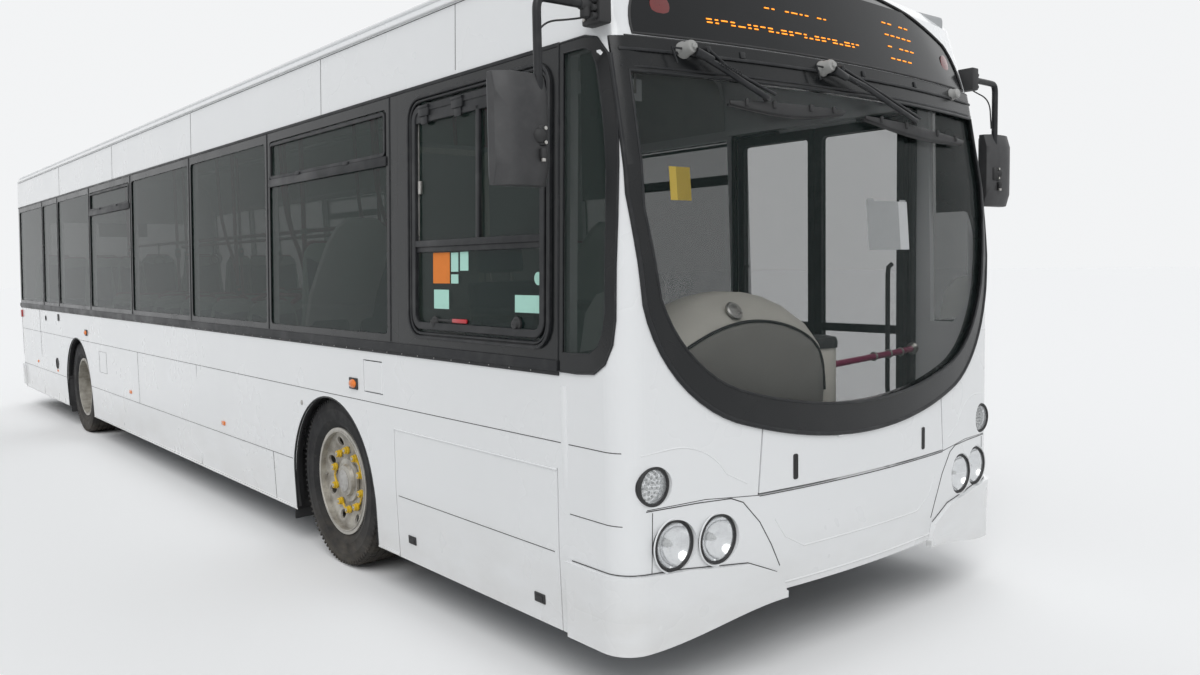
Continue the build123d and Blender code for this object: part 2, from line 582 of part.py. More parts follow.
step_line = [
    (STEP_Y + FIT, FLOOR_Z - FLOOR_THICK), (STEP_Y + FIT, FLOOR_Z + STEP_RISE),
    (STEP_Y + STEP_TREAD, FLOOR_Z + STEP_RISE), (STEP_Y + STEP_TREAD, PLATFORM_Z),
    (BENCH_Y, PLATFORM_Z), (BENCH_Y, BENCH_Z), (TAIL_SPLIT_Y + 60, BENCH_Z),
    (TAIL_SPLIT_Y + 60, BENCH_Z - FLOOR_THICK), (BENCH_Y + FLOOR_THICK, BENCH_Z - FLOOR_THICK),
    (BENCH_Y + FLOOR_THICK, PLATFORM_Z - FLOOR_THICK),
    (STEP_Y + STEP_TREAD + FLOOR_THICK, PLATFORM_Z - FLOOR_THICK),
    (STEP_Y + STEP_TREAD + FLOOR_THICK, FLOOR_Z + STEP_RISE - FLOOR_THICK),
    (STEP_Y + FLOOR_THICK, FLOOR_Z + STEP_RISE - FLOOR_THICK),
    (STEP_Y + FLOOR_THICK, FLOOR_Z - FLOOR_THICK),
]
platform = side_prism(make_face(Polyline(*step_line, close=True)), -INNER_HALF, INNER_HALF) & long_room
box_hole = block(REAR_BOX_X - FIT, FAR, REAR_AXLE_Y - REAR_BOX_HALF - FIT,
                 REAR_AXLE_Y + REAR_BOX_HALF + FIT, 0, BENCH_Z)
platform = platform - box_hole - mirrored(box_hole)
keep("rear_platform", platform)


def wheel_box(y, half, inner_x, low):
    """Closed wheel housing, open at the bottom and towards the arch."""
    outer = block(inner_x, HALF_WIDTH, y - half, y + half, low, BOX_TOP_Z) & long_room
    inner = block(inner_x + BOX_WALL, BODY_WIDTH, y - half + BOX_WALL, y + half - BOX_WALL, 0,
                  BOX_TOP_Z - BOX_WALL)
    return outer - inner


front_box = wheel_box(FRONT_AXLE_Y, FRONT_BOX_HALF, FRONT_BOX_X, FLOOR_Z - FLOOR_THICK)
rear_box = wheel_box(REAR_AXLE_Y, REAR_BOX_HALF, REAR_BOX_X, FLOOR_Z - FLOOR_THICK)
AXLE_TUBE_R = 70.0
TUBE_ROOM = AXLE_TUBE_R + 20.0
rear_box = rear_box - block(0, REAR_BOX_X + 50, REAR_AXLE_Y - TUBE_ROOM, REAR_AXLE_Y + TUBE_ROOM,
                            0, TYRE_R + TUBE_ROOM)
keep("wheel_boxes", *both_sides(front_box), *both_sides(rear_box))

# Underframe: two rails, with cross members and outriggers seated between and beside them
RAIL_X = FRONT_BOX_X - 80.0
RAIL_HALF = 35.0
RAIL_LOW_Z = 195.0
RAIL_TOP_Z = FLOOR_Z - FLOOR_THICK
RAIL_FRONT_Y = CURVE_FRONT_Y + 60.0
RAIL_REAR_Y = TAIL_Y - 240.0
TOW_R = 20.0
TOW_DEEP = 120.0
TOW_Z = RAIL_LOW_Z + 40.0
rail = block(RAIL_X - RAIL_HALF, RAIL_X + RAIL_HALF, RAIL_FRONT_Y, RAIL_REAR_Y, RAIL_LOW_Z, RAIL_TOP_Z)
rail = rail - rod_y(TOW_R, RAIL_X, RAIL_FRONT_Y - OVER, RAIL_FRONT_Y + TOW_DEEP, TOW_Z)
keep("underframe", *both_sides(rail))
CROSS_YS = (-5500.0, -4400.0, -2400.0, -1200.0, 0.0, 1200.0, 2000.0, 3800.0, 4400.0, 5600.0)
CROSS_HALF = 30.0
CROSS_END_X = INNER_HALF - 120.0
CROSS_LOW_Z = RAIL_LOW_Z + 20.0
cross_members = []
for cross_y in CROSS_YS:
    y0 = cross_y - CROSS_HALF
    y1 = cross_y + CROSS_HALF
    middle_reach = RAIL_X - RAIL_HALF - FIT
    cross_members.append(block(-middle_reach, middle_reach, y0, y1, CROSS_LOW_Z, RAIL_TOP_Z))
    outrigger = block(RAIL_X + RAIL_HALF + FIT, CROSS_END_X, y0, y1, CROSS_LOW_Z, RAIL_TOP_Z)
    cross_members.extend(both_sides(outrigger))
keep("cross_members", *cross_members)


# Axles: a dropped front beam with an eye at each end, and a tube at the rear
BEAM_LOW_Z = 130.0
EYE_LOW_Z = 420.0
EYE_TOP_Z = 520.0
EYE_R = 50.0
SPINDLE_R = 40.0
KINGPIN_R = 22.0
LUG_THICK = 35.0
LUG_GAP = 5.0
BEAM_END_X = KINGPIN_X - 170.0
BEAM_HALF = 60.0
RISER_HALF = 50.0
RISER_WIDTH = 80.0
EYE_ARM_HALF = 40.0
beam = block(-BEAM_END_X, BEAM_END_X, FRONT_AXLE_Y - BEAM_HALF, FRONT_AXLE_Y + BEAM_HALF, BEAM_LOW_Z,
             RAIL_LOW_Z)
riser_x = BEAM_END_X - RISER_WIDTH + 10
riser = block(riser_x, riser_x + RISER_WIDTH, FRONT_AXLE_Y - RISER_HALF, FRONT_AXLE_Y + RISER_HALF, BEAM_LOW_Z,
              EYE_TOP_Z)
riser = riser + block(riser_x + 10, KINGPIN_X, FRONT_AXLE_Y - EYE_ARM_HALF, FRONT_AXLE_Y + EYE_ARM_HALF,
                      EYE_LOW_Z, EYE_TOP_Z)
riser = riser + rod_z(EYE_R, KINGPIN_X, FRONT_AXLE_Y, EYE_LOW_Z, EYE_TOP_Z)
riser = riser - rod_z(KINGPIN_R + RUN, KINGPIN_X, FRONT_AXLE_Y, EYE_LOW_Z - 1, EYE_TOP_Z + 1)
beam = beam + riser + mirrored(riser)
AXLE_END_X = WHEEL_X - 472.5
STUB_R = 45.0
STUB_END_X = WHEEL_X - 32.5
SPRING_SEAT_HALF = 50.0
# Half of the rear axle, columns: radius, distance from the middle
axle_line = [(0, 0), (185, 0), (170, 90), (110, 190), (AXLE_TUBE_R, 230), (AXLE_TUBE_R, AXLE_END_X),
             (STUB_R, AXLE_END_X), (STUB_R, STUB_END_X), (0, STUB_END_X)]
axle_half = revolve(Plane.XZ * make_face(Polyline(*axle_line, close=True)), axis=Axis.Z)
rear_axle = None
for turn in (-90, 90):
    placed_half = Pos(0, REAR_AXLE_Y, TYRE_R) * Rot(0, turn, 0) * axle_half
    rear_axle = placed_half if rear_axle is None else rear_axle + placed_half
for side in (-1, 1):
    rear_axle = rear_axle + block(side * RAIL_X - SPRING_SEAT_HALF, side * RAIL_X + SPRING_SEAT_HALF,
                                  REAR_AXLE_Y - BEAM_HALF, REAR_AXLE_Y + BEAM_HALF, RAIL_TOP_Z, TYRE_R)
keep("axles", beam, rear_axle)


LUG_R = 42.0
LUG_REACH = 75.0
PLATE_THICK = 20.0


def knuckle(side):
    """Stub axle that turns on the kingpin and carries the wheel's hub."""
    kx = side * KINGPIN_X
    low = EYE_LOW_Z - LUG_GAP - LUG_THICK
    high = EYE_TOP_Z + LUG_GAP + LUG_THICK
    piece = rod_z(KINGPIN_R, kx, FRONT_AXLE_Y, low, high)
    for z0, z1 in ((low, low + LUG_THICK), (high - LUG_THICK, high)):
        piece = piece + rod_z(LUG_R, kx, FRONT_AXLE_Y, z0, z1)
        xs = sorted((kx, kx + side * LUG_REACH))
        piece = piece + block(xs[0], xs[1], FRONT_AXLE_Y - LUG_R, FRONT_AXLE_Y + LUG_R, z0, z1)
    xs = sorted((kx + side * (LUG_REACH - PLATE_THICK), kx + side * LUG_REACH))
    piece = piece + block(xs[0], xs[1], FRONT_AXLE_Y - BEAM_HALF, FRONT_AXLE_Y + BEAM_HALF, low, high)
    xs = sorted((kx + side * LUG_REACH, side * (WHEEL_X + 50)))
    return piece + rod_x(SPINDLE_R, xs[0], xs[1], FRONT_AXLE_Y, TYRE_R)


keep("off_knuckle", knuckle(-1))
keep("near_knuckle", knuckle(1))


def tyre(x, y):
    """Tyre with rounded shoulders about a bore that sits on the rim."""
    half = TYRE_WIDTH / 2
    seat_half = RIM_WIDTH / 2 - FIT
    side = [(RIM_R + FIT, seat_half), (RIM_R + 14, seat_half), (RIM_R + 45, half - 6), (RIM_R + 95, half),
            (TYRE_R - 40, half - 5), (TYRE_R - 12, half - 16), (TYRE_R, half - 36)]
    outline = Polyline(*side, *[(radius, -along) for radius, along in reversed(side)], close=True)
    ring = revolve(Plane.XZ * make_face(outline), axis=Axis.Z)
    return Pos(x, y, TYRE_R) * Rot(0, 90, 0) * ring


def wheel_profile(points):
    """Turn a profile of (along the axle outwards, radius) points about the axle."""
    face = make_face(Polyline(*[(radius, along) for along, radius in points], close=True))
    return revolve(Plane.XZ * face, axis=Axis.Z)


def rim_barrel(middle):
    """Barrel of the rim with a flange at each edge, about its middle."""
    half = RIM_WIDTH / 2
    return wheel_profile([
        (middle - half - 12, RIM_R - RIM_WALL), (middle - half - 12, RIM_R + 12),
        (middle - half, RIM_R + 12), (middle - half, RIM_R), (middle + half, RIM_R),
        (middle + half, RIM_R + 12), (middle + half + 12, RIM_R + 12),
        (middle + half + 12, RIM_R - RIM_WALL)])


def nut_ring(along, length, radius):
    """Ring of wheel nuts."""
    nuts = []
    for index in range(NUT_COUNT):
        angle = 2 * math.pi * index / NUT_COUNT
        nut = extrude(Pos(NUT_CIRCLE_R * math.cos(angle), NUT_CIRCLE_R * math.sin(angle), 0)
                      * RegularPolygon(radius, 6), amount=length)
        nuts.append(Pos(0, 0, along) * nut)
    return nuts


HAND_HOLES = 8
HAND_HOLE_R = 27.0


def hand_hole_cut(along0, along1, at_radius):
    """Ring of round ventilation holes."""
    cut = None
    for index in range(HAND_HOLES):
        angle = 2 * math.pi * (index + 0.5) / HAND_HOLES
        hole = Pos(at_radius * math.cos(angle), at_radius * math.sin(angle), (along0 + along1) / 2)
        hole = hole * Cylinder(HAND_HOLE_R, along1 - along0)
        cut = hole if cut is None else cut + hole
    return cut


def front_rim():
    """Steered wheel's rim, disc, nuts and hub, about the tyre's middle, outwards +Z."""
    disc = wheel_profile([(70, RIM_R - RIM_WALL), (88, RIM_R - RIM_WALL), (84, 250), (66, 200), (66, 60),
                          (54, 60), (54, 205), (70, 252)])
    hub = wheel_profile([(-50, 60), (54, 60), (70, 120), (82, 120), (82, 92), (100, 84), (104, 60),
                         (104, 0), (56, 0), (56, SPINDLE_R + RUN), (-50, SPINDLE_R + RUN)])
    drum = wheel_profile([(-50, 60), (-50, 200), (20, 200), (20, 190), (-38, 190), (-38, 60)])
    rim = rim_barrel(0) + disc + hub + drum
    rim = rim - hand_hole_cut(40, 110, 226)
    for nut in nut_ring(64, 30, 17):
        rim = rim + nut
    return rim


def rear_rim():
    """Twin rims with their discs back to back, about the outer tyre's middle, outwards +Z."""
    outer_disc = wheel_profile([(-106, RIM_R - RIM_WALL), (-94, RIM_R - RIM_WALL), (-100, 250), (-132, 200),
                                (-132, 60), (-146, 60), (-146, 205), (-118, 252)])
    inner_disc = wheel_profile([(-TWIN_PITCH + 106, RIM_R - RIM_WALL), (-TWIN_PITCH + 92, RIM_R - RIM_WALL),
                                (-TWIN_PITCH + 96, 250), (-160, 205), (-160, 60), (-145, 60), (-145, 200)])
    hub = wheel_profile([(-260, 90), (-260, 150), (-160, 150), (-160, 95), (-132, 95), (-128, 120),
                         (-30, 110), (-10, 90), (-10, 0), (-26, 0), (-26, STUB_R + RUN),
                         (-260, STUB_R + RUN)])
    rim = rim_barrel(0) + rim_barrel(-TWIN_PITCH) + outer_disc + inner_disc + hub
    rim = rim - hand_hole_cut(-200, -60, 228)
    for nut in nut_ring(-134, 30, 17):
        rim = rim + nut
    return rim


def placed_wheel(shape, side, y):
    """Turn a wheel piece so that its outer face looks outwards, and put it on its axle."""
    return Pos(side * WHEEL_X, y, TYRE_R) * Rot(0, side * 90, 0) * shape


front_rim_shape = front_rim()
rear_rim_shape = rear_rim()
for side_name, side in (("off", -1), ("near", 1)):
    keep(side_name + "_front_tyre", tyre(side * WHEEL_X, FRONT_AXLE_Y))
    keep(side_name + "_front_rim", placed_wheel(front_rim_shape, side, FRONT_AXLE_Y))
    keep(side_name + "_rear_tyres", tyre(side * WHEEL_X, REAR_AXLE_Y),
         tyre(side * (WHEEL_X - TWIN_PITCH), REAR_AXLE_Y))
    keep(side_name + "_rear_rims", placed_wheel(rear_rim_shape, side, REAR_AXLE_Y))

# Engine, one plain block at the rear
ENGINE_HALF = 450.0
ENGINE_FRONT_Y = TAIL_Y - 1290.0
ENGINE_REAR_Y = TAIL_Y - 190.0
ENGINE_TOP_Z = 950.0
engine = block(-ENGINE_HALF, ENGINE_HALF, ENGINE_FRONT_Y, ENGINE_REAR_Y, RAIL_TOP_Z + FIT, ENGINE_TOP_Z)
keep("engine", engine)

# Driver's cab
CAB_X = -HALF_WIDTH + 890.0
CAB_REAR_Y = FRONT_AXLE_Y - FRONT_BOX_HALF - 225.0
CAB_WALL = 30.0
SEAT_X = -HALF_WIDTH + 490.0
PARTITION_TOP_Z = 2250.0
partition = block(-INNER_HALF + 40, CAB_X, CAB_REAR_Y, CAB_REAR_Y + CAB_WALL, FLOOR_Z + FIT, PARTITION_TOP_Z)
keep("cab_partition", partition)
CAB_DOOR_LOW_Z = FLOOR_Z + 60
CAB_DOOR_TOP_Z = 1450.0
CAB_DOOR_FRONT_Y = CAB_REAR_Y - 820.0
cab_hinge_y = CAB_REAR_Y - 20.0
cab_hinge_x = CAB_X + 15.0
cab_post = rod_z(12, cab_hinge_x, cab_hinge_y, CAB_DOOR_LOW_Z, CAB_DOOR_TOP_Z)
cab_leaf = block(cab_hinge_x - 14, cab_hinge_x + 14, CAB_DOOR_FRONT_Y, cab_hinge_y, CAB_DOOR_LOW_Z,
                 CAB_DOOR_TOP_Z)
cab_pintle = rod_z(8, cab_hinge_x, cab_hinge_y, FLOOR_Z + FIT, CAB_DOOR_LOW_Z)
keep("cab_door", cab_leaf + cab_post + cab_pintle)

# Side view of the dashboard, columns: back from the nose, height
DASH_ROWS = [
    (337.0, FLOOR_Z + FIT), (557.0, FLOOR_Z + FIT), (557.0, 800.0), (627.0, 1000.0), (627.0, 1090.0),
    (477.0, 1180.0), (337.0, 1180.0), (177.0, 1040.0), (177.0, 980.0), (337.0, 960.0),
]
dash_face = make_face(Polyline(*[(NOSE_Y + back, z) for back, z in DASH_ROWS], close=True))
dash = side_prism(dash_face, -HALF_WIDTH + 130, CAB_X + 30) & nose_body(WALL + 10, OVER)
WHEEL_TILT = -35.0
HUB_HIGH = 24.0
COLUMN_LONG = 360.0
COLUMN_R = 35.0
STEER_Y = NOSE_Y + 757.0
STEER_Z = 1105.0
STEER_RING_R = 215.0
STEER_TUBE_R = 15.0
STEER_HUB_R = 45.0
wheel_place = Pos(SEAT_X, STEER_Y, STEER_Z) * Rot(WHEEL_TILT, 0, 0)
column = wheel_place * Pos(0, 0, -HUB_HIGH / 2 - FIT - COLUMN_LONG / 2) * Cylinder(COLUMN_R, COLUMN_LONG)
keep("dashboard", dash + column)
wheel_ring = Torus(STEER_RING_R, STEER_TUBE_R) + Cylinder(STEER_HUB_R, HUB_HIGH)
for angle in (90, 210, 330):
    spoke = Rot(0, 0, angle) * Pos(STEER_RING_R - 100, 0, 0) * Box(200, 30, 12)
    wheel_ring = wheel_ring + spoke
keep("steering_wheel", wheel_place * wheel_ring)

SEAT_Y = CAB_REAR_Y - 520.0
PEDESTAL_HALF = 170.0
DRIVER_HALF = 240.0
DRIVER_DEEP_HALF = 260.0
DRIVER_UNDER_Z = 760.0
DRIVER_CUSHION_Z = 880.0
DRIVER_BACK_TILT = -10.0
driver_seat = block(SEAT_X - PEDESTAL_HALF, SEAT_X + PEDESTAL_HALF, SEAT_Y - PEDESTAL_HALF - 30,
                    SEAT_Y + PEDESTAL_HALF + 30, FLOOR_Z + FIT, DRIVER_UNDER_Z)
driver_seat = driver_seat + block(SEAT_X - DRIVER_HALF, SEAT_X + DRIVER_HALF, SEAT_Y - DRIVER_DEEP_HALF,
                                  SEAT_Y + DRIVER_DEEP_HALF, DRIVER_UNDER_Z, DRIVER_CUSHION_Z)
driver_back = Pos(SEAT_X, SEAT_Y + 300, 1230) * Rot(DRIVER_BACK_TILT, 0, 0) * Box(460, 110, 760)
driver_head = Pos(SEAT_X, SEAT_Y + 375, 1690) * Box(260, 90, 160)
keep("driver_seat", driver_seat + driver_back + driver_head)

# Passenger seats, columns: side, middle of the row along the bus, floor level, aisle side of the seat
AISLE_X = 295.0
ON_FRONT_BOX_X = FRONT_BOX_X + 35.0
ON_REAR_BOX_X = REAR_BOX_X - 5.0
BENCH_X = 55.0
SEAT_ROWS = [
    (-1, -3000.0, BOX_TOP_Z, ON_FRONT_BOX_X),
    (-1, -2000.0, FLOOR_Z, AISLE_X),
    (-1, -1250.0, FLOOR_Z, AISLE_X),
    (-1, -500.0, FLOOR_Z, AISLE_X),
    (-1, 250.0, FLOOR_Z, AISLE_X),
    (-1, 1000.0, FLOOR_Z, AISLE_X),
    (-1, 1680.0, FLOOR_Z, AISLE_X),
    (1, -3000.0, BOX_TOP_Z, ON_FRONT_BOX_X),
    (1, -500.0, FLOOR_Z, AISLE_X),
    (1, 250.0, FLOOR_Z, AISLE_X),
    (1, 1000.0, FLOOR_Z, AISLE_X),
    (1, 1680.0, FLOOR_Z, AISLE_X),
    (-1, 2600.0, BOX_TOP_Z, ON_REAR_BOX_X),
    (1, 2600.0, BOX_TOP_Z, ON_REAR_BOX_X),
    (-1, 3950.0, PLATFORM_Z, AISLE_X),
    (1, 3950.0, PLATFORM_Z, AISLE_X),
    (-1, 5300.0, BENCH_Z, BENCH_X),
    (1, 5300.0, BENCH_Z, BENCH_X),
]
SEAT_HIGH = 430.0
SEAT_DEEP = 430.0
BACK_HIGH = 720.0
WALL_GAP = 45.0
LOW_SEAT_HIGH = 120.0
CUSHION = 60.0
PLINTH_IN = 150.0


def seat(side, y, level, x0):
    """Double seat on a plinth, facing forwards."""
    rise = SEAT_HIGH if level < BOX_TOP_Z else LOW_SEAT_HIGH
    x1 = HALF_WIDTH - WALL - WALL_GAP
    under = level + rise - CUSHION
    piece = block(x0 + PLINTH_IN, x1 - PLINTH_IN, y - 100, y + 120, level + FIT, under)
    piece = piece + block(x0, x1, y - SEAT_DEEP / 2, y + SEAT_DEEP / 2, under, level + rise)
    back = block(x0, x1, y + SEAT_DEEP / 2 - CUSHION, y + SEAT_DEEP / 2, under, level + rise + BACK_HIGH)
    piece = piece + Pos(0, y, level + rise) * Rot(-6, 0, 0) * Pos(0, -y, -level - rise) * back
    return piece if side > 0 else mirrored(piece)


keep("seats", *[seat(*row) for row in SEAT_ROWS])

# Grab rails: upright poles beside the aisle, with a long rail clamped along each row of them
POLE_R = 16.0
POLE_X = 330.0
POLE_ROWS = [
    (-2550.0, FLOOR_Z), (-900.0, FLOOR_Z), (650.0, FLOOR_Z), (2400.0, PLATFORM_Z), (4300.0, PLATFORM_Z),
]
RAIL_Z = 1950.0
RAIL_END = 60.0
long_rail = rod_y(POLE_R, POLE_X - 2 * POLE_R - FIT, POLE_ROWS[0][0] - RAIL_END, POLE_ROWS[-1][0] + RAIL_END,
                  RAIL_Z)
grab_rails = both_sides(long_rail)
for pole_y, pole_floor in POLE_ROWS:
    grab_rails.extend(both_sides(rod_z(POLE_R, POLE_X, pole_y, pole_floor + FIT, CEILING_Z - FIT)))
keep("grab_rails", *grab_rails)

# Mirrors
MIRROR_X = HALF_WIDTH + 300.0
MIRROR_Y = -5690.0
MIRROR_Z = 2110.0
MIRROR_ARM_Z = 2560.0
MIRROR_ARM_R = 16.0
MIRROR_LOW_Z = MIRROR_Z - 130.0
MIRROR_HEAD = (220.0, 90.0, 380.0)
mirror_bend_x = MIRROR_X - 60.0
mirror_piece = rod_x(MIRROR_ARM_R, HALF_WIDTH - 150, mirror_bend_x, MIRROR_Y, MIRROR_ARM_Z)
mirror_piece = mirror_piece + rod_z(MIRROR_ARM_R, mirror_bend_x, MIRROR_Y, MIRROR_LOW_Z,
                                    MIRROR_ARM_Z + MIRROR_ARM_R)
mirror_piece = mirror_piece + Pos(MIRROR_X, MIRROR_Y + 20, MIRROR_Z) * Box(*MIRROR_HEAD)
keep("mirrors", *both_sides(mirror_piece - nose_body(-FIT)))

# Wipers: a spindle and an arm with a blade, twice
WIPER_REACH = 560.0
WIPER_TILT = 18.0
SPINDLE_Z = 2430.0
WIPER_XS = (-900.0, -180.0)
wipers = []
for pivot_x in WIPER_XS:
    pivot_y = NOSE_Y + 95 + pivot_x ** 2 / (2 * NOSE_PLAN_R)
    wiper = rod_y(22, pivot_x, pivot_y - 60, pivot_y + 5, SPINDLE_Z)
    wiper = wiper + (Pos(pivot_x + WIPER_REACH / 2, pivot_y - 50, SPINDLE_Z - 80) * Rot(0, WIPER_TILT, 0)
                     * Box(WIPER_REACH, 14, 26))
    wipers.append(wiper - nose_body(-MOULDING_PROUD - FIT))
keep("wipers", *wipers)

os.makedirs("parts", exist_ok=True)
for name, solids in parts.items():
    shape = solids[0] if len(solids) == 1 else Compound(children=list(solids))
    export_step(shape, "parts/" + name + ".step")
print(len(parts), "nodes")
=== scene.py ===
import math

import bpy
from bpy.props import FloatProperty, FloatVectorProperty, IntProperty
from bpy.types import Operator, Panel, PropertyGroup
from mathutils import Matrix, Vector


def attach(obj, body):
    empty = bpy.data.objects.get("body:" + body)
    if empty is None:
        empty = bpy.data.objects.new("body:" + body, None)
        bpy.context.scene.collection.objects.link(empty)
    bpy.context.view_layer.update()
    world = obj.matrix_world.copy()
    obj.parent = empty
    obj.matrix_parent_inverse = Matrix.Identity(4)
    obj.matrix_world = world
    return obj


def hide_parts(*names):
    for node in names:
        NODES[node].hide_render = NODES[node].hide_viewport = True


bl_info = {
    "name": "City Bus Dresser",
    "version": (1, 0, 0),
    "blender": (4, 5, 0),
    "location": "3D View > Sidebar > City Bus",
    "description": "Dresses the fixed frame of a single-deck city bus with its trim, glass, seats and lamps",
    "category": "Object",
}

# The fixed frame, in metres: +Z up, the front faces -Y, the driver's side is -X
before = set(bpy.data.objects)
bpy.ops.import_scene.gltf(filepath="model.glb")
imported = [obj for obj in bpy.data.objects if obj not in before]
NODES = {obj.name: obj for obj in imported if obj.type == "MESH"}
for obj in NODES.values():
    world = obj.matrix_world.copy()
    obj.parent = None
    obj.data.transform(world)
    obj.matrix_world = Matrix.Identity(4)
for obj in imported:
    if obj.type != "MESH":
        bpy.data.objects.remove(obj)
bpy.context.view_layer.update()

# Outline of the body: height, and how far in from the side, from the nose and from the tail
HALF_WIDTH = 1.25
NOSE_Y = -5.957
TAIL_Y = 5.940
NOSE_PLAN_R = 5.400
NOSE_CORNER_R = 0.120
BODY_ROWS = [
    (0.220, 0.012, 0.012, 0.008), (0.550, 0.0, 0.0, 0.0), (1.250, 0.0, 0.0, 0.0), (1.650, 0.0121, 0.002, 0.0),
    (2.000, 0.0227, 0.027, 0.0), (2.465, 0.0368, 0.108, 0.006), (2.630, 0.0418, 0.159, 0.013),
    (2.800, 0.0470, 0.212, 0.020), (2.850, 0.068, 0.250, 0.045), (2.900, 0.158, 0.340, 0.130),
    (2.950, 0.268, 0.470, 0.240), (2.990, 0.490, 0.700, 0.460), (3.015, 0.830, 1.040, 0.800),
]

# Places that the trim follows
FRONT_AXLE_Y = -3.335
REAR_AXLE_Y = 2.835
WHEEL_Z = 0.470
WHEEL_X = 1.0725
TWIN_PITCH = 0.310
ARCH_Z = 0.420
FRONT_ARCH_R = 0.525
REAR_ARCH_R = 0.560
# Lower and upper edge of the black band round the side windows
BAND_LOW_Z = 1.284
BAND_TOP_Z = 2.470
SIDE_BAYS = [
    (-4.095, -2.515), (-2.515, -1.000), (-1.000, 0.600), (0.600, 2.105), (2.105, 3.565), (3.565, 4.395),
    (4.395, 5.842),
]
HOPPER_BAYS = {0: 2.150, 3: 2.200}
# The camera, solved from points of the body in the photograph
CAMERA_PLACE = (-3.497, -8.451, 1.653)
CAMERA_RIGHT = (0.77306, -0.63408, -0.01786)
CAMERA_UP = (0.06131, 0.04666, 0.99703)
CAMERA_BACK = (-0.63136, -0.77186, 0.07495)
FOCAL_SHARE = 986.0 / 1200.0
SENSOR_MM = 36.0


def colour(name, description, rgb):
    """A colour that the user may change."""
    return FloatVectorProperty(name=name, description=description, subtype="COLOR", size=3, default=rgb,
                               min=0.0, max=1.0)


def length(name, description, metres):
    """A length that the user may change."""
    return FloatProperty(name=name, description=description, default=metres, min=0.0, unit="LENGTH")


class BusColours(PropertyGroup):
    """Colours of the bus."""

    coach_white: colour("Coach white", "Gloss paint of the body panels", (0.83, 0.84, 0.85))
    trim_black: colour("Trim black", "Rubber and plastic around the glass", (0.018, 0.019, 0.021))
    side_glass: colour("Side glass", "Tint of the saloon windows", (0.010, 0.022, 0.018))
    screen_glass: colour("Screen glass", "Tint of the windscreen", (0.016, 0.026, 0.024))
    rail: colour("Grab rails", "Powder coat of the grab rails", (0.36, 0.015, 0.105))
    seat_cloth: colour("Seat cloth", "Wool of the seats", (0.020, 0.030, 0.075))
    seat_shell: colour("Seat shells", "Moulded seat backs", (0.44, 0.56, 0.50))
    rim: colour("Wheel rims", "Cream-silver wheel paint", (0.47, 0.45, 0.40))
    pointer: colour("Nut pointers", "Linked plastic pointers on the wheel nuts", (0.72, 0.46, 0.015))
    amber: colour("Amber", "Repeaters and lit dots", (0.85, 0.20, 0.01))
    floor: colour("Studio floor", "Floor that the bus stands on", (0.76, 0.76, 0.75))


class BusSizes(PropertyGroup):
    """Sizes that the dressing is made to."""

    seam_r: length("Panel joint", "Half width of the joints between panels", 0.0017)
    tread_depth: length("Tread depth", "Depth of the grooves in the tyres", 0.009)
    tyre_steps: IntProperty(name="Tyre steps", description="Blocks round one tyre", default=90, min=24,
                            max=180)
    nut_count: IntProperty(name="Wheel nuts", description="Nuts on one wheel", default=10, min=6, max=12)


def sizes():
    """The sizes that the user has set."""
    return bpy.context.scene.bus_sizes


def colours():
    """The colours that the user has set."""
    return bpy.context.scene.bus_colours


# Places on the body


def row_value(height, column):
    """In from the side, nose or tail at a height, between the rows of the outline."""
    if height <= BODY_ROWS[0][0]:
        return BODY_ROWS[0][column]
    for low, high in zip(BODY_ROWS, BODY_ROWS[1:]):
        if height <= high[0]:
            share = (height - low[0]) / (high[0] - low[0])
            return low[column] + share * (high[column] - low[column])
    return BODY_ROWS[-1][column]


def side_x(height):
    """Half width of the body at a height."""
    return HALF_WIDTH - row_value(height, 1)


def front_y(x, height):
    """Where the front of the body lies at a distance from the middle and a height."""
    half = side_x(height)
    nose = NOSE_Y + row_value(height, 2)
    reach = math.sqrt((NOSE_PLAN_R - NOSE_CORNER_R) ** 2 - (half - NOSE_CORNER_R) ** 2)
    lean = math.atan2(half - NOSE_CORNER_R, reach)
    if abs(x) <= NOSE_PLAN_R * math.sin(lean):
        return nose + NOSE_PLAN_R - math.sqrt(NOSE_PLAN_R ** 2 - x * x)
    across = min(abs(x) - (half - NOSE_CORNER_R), NOSE_CORNER_R)
    return nose + NOSE_PLAN_R - reach - math.sqrt(NOSE_CORNER_R ** 2 - across * across)


def on_side(side, y, height, out=0.0):
    """A point on the side of the body, round its front corner too, or proud of it."""
    half = side_x(height)
    reach = math.sqrt((NOSE_PLAN_R - NOSE_CORNER_R) ** 2 - (half - NOSE_CORNER_R) ** 2)
    corner_y = NOSE_Y + row_value(height, 2) + NOSE_PLAN_R - reach
    if y >= corner_y:
        return Vector((side * (half + out), y, height))
    drop = min(corner_y - y, NOSE_CORNER_R)
    bulge = math.sqrt((NOSE_CORNER_R + out) ** 2 - drop * drop)
    return Vector((side * (half - NOSE_CORNER_R + bulge), y, height))


def on_front(x, height, out=0.0):
    """A point on the front of the body, or proud of it."""
    return Vector((x, front_y(x, height) - out, height))


# Modelling by hand

# A quarter turn about X, which stands up what was drawn flat
QUARTER_X = Matrix.Rotation(math.radians(90), 4, "X")


def start_clean():
    """Leave edit mode and let go of everything."""
    if bpy.context.object and bpy.context.object.mode != "OBJECT":
        bpy.ops.object.mode_set(mode="OBJECT")
    bpy.ops.object.select_all(action="DESELECT")


def pick(piece):
    """Make one piece the active one."""
    start_clean()
    piece.select_set(True)
    bpy.context.view_layer.objects.active = piece
    return piece


def settle(piece):
    """Put a piece's place, turn and size into its mesh."""
    pick(piece)
    bpy.ops.object.transform_apply(location=True, rotation=True, scale=True)
    return piece


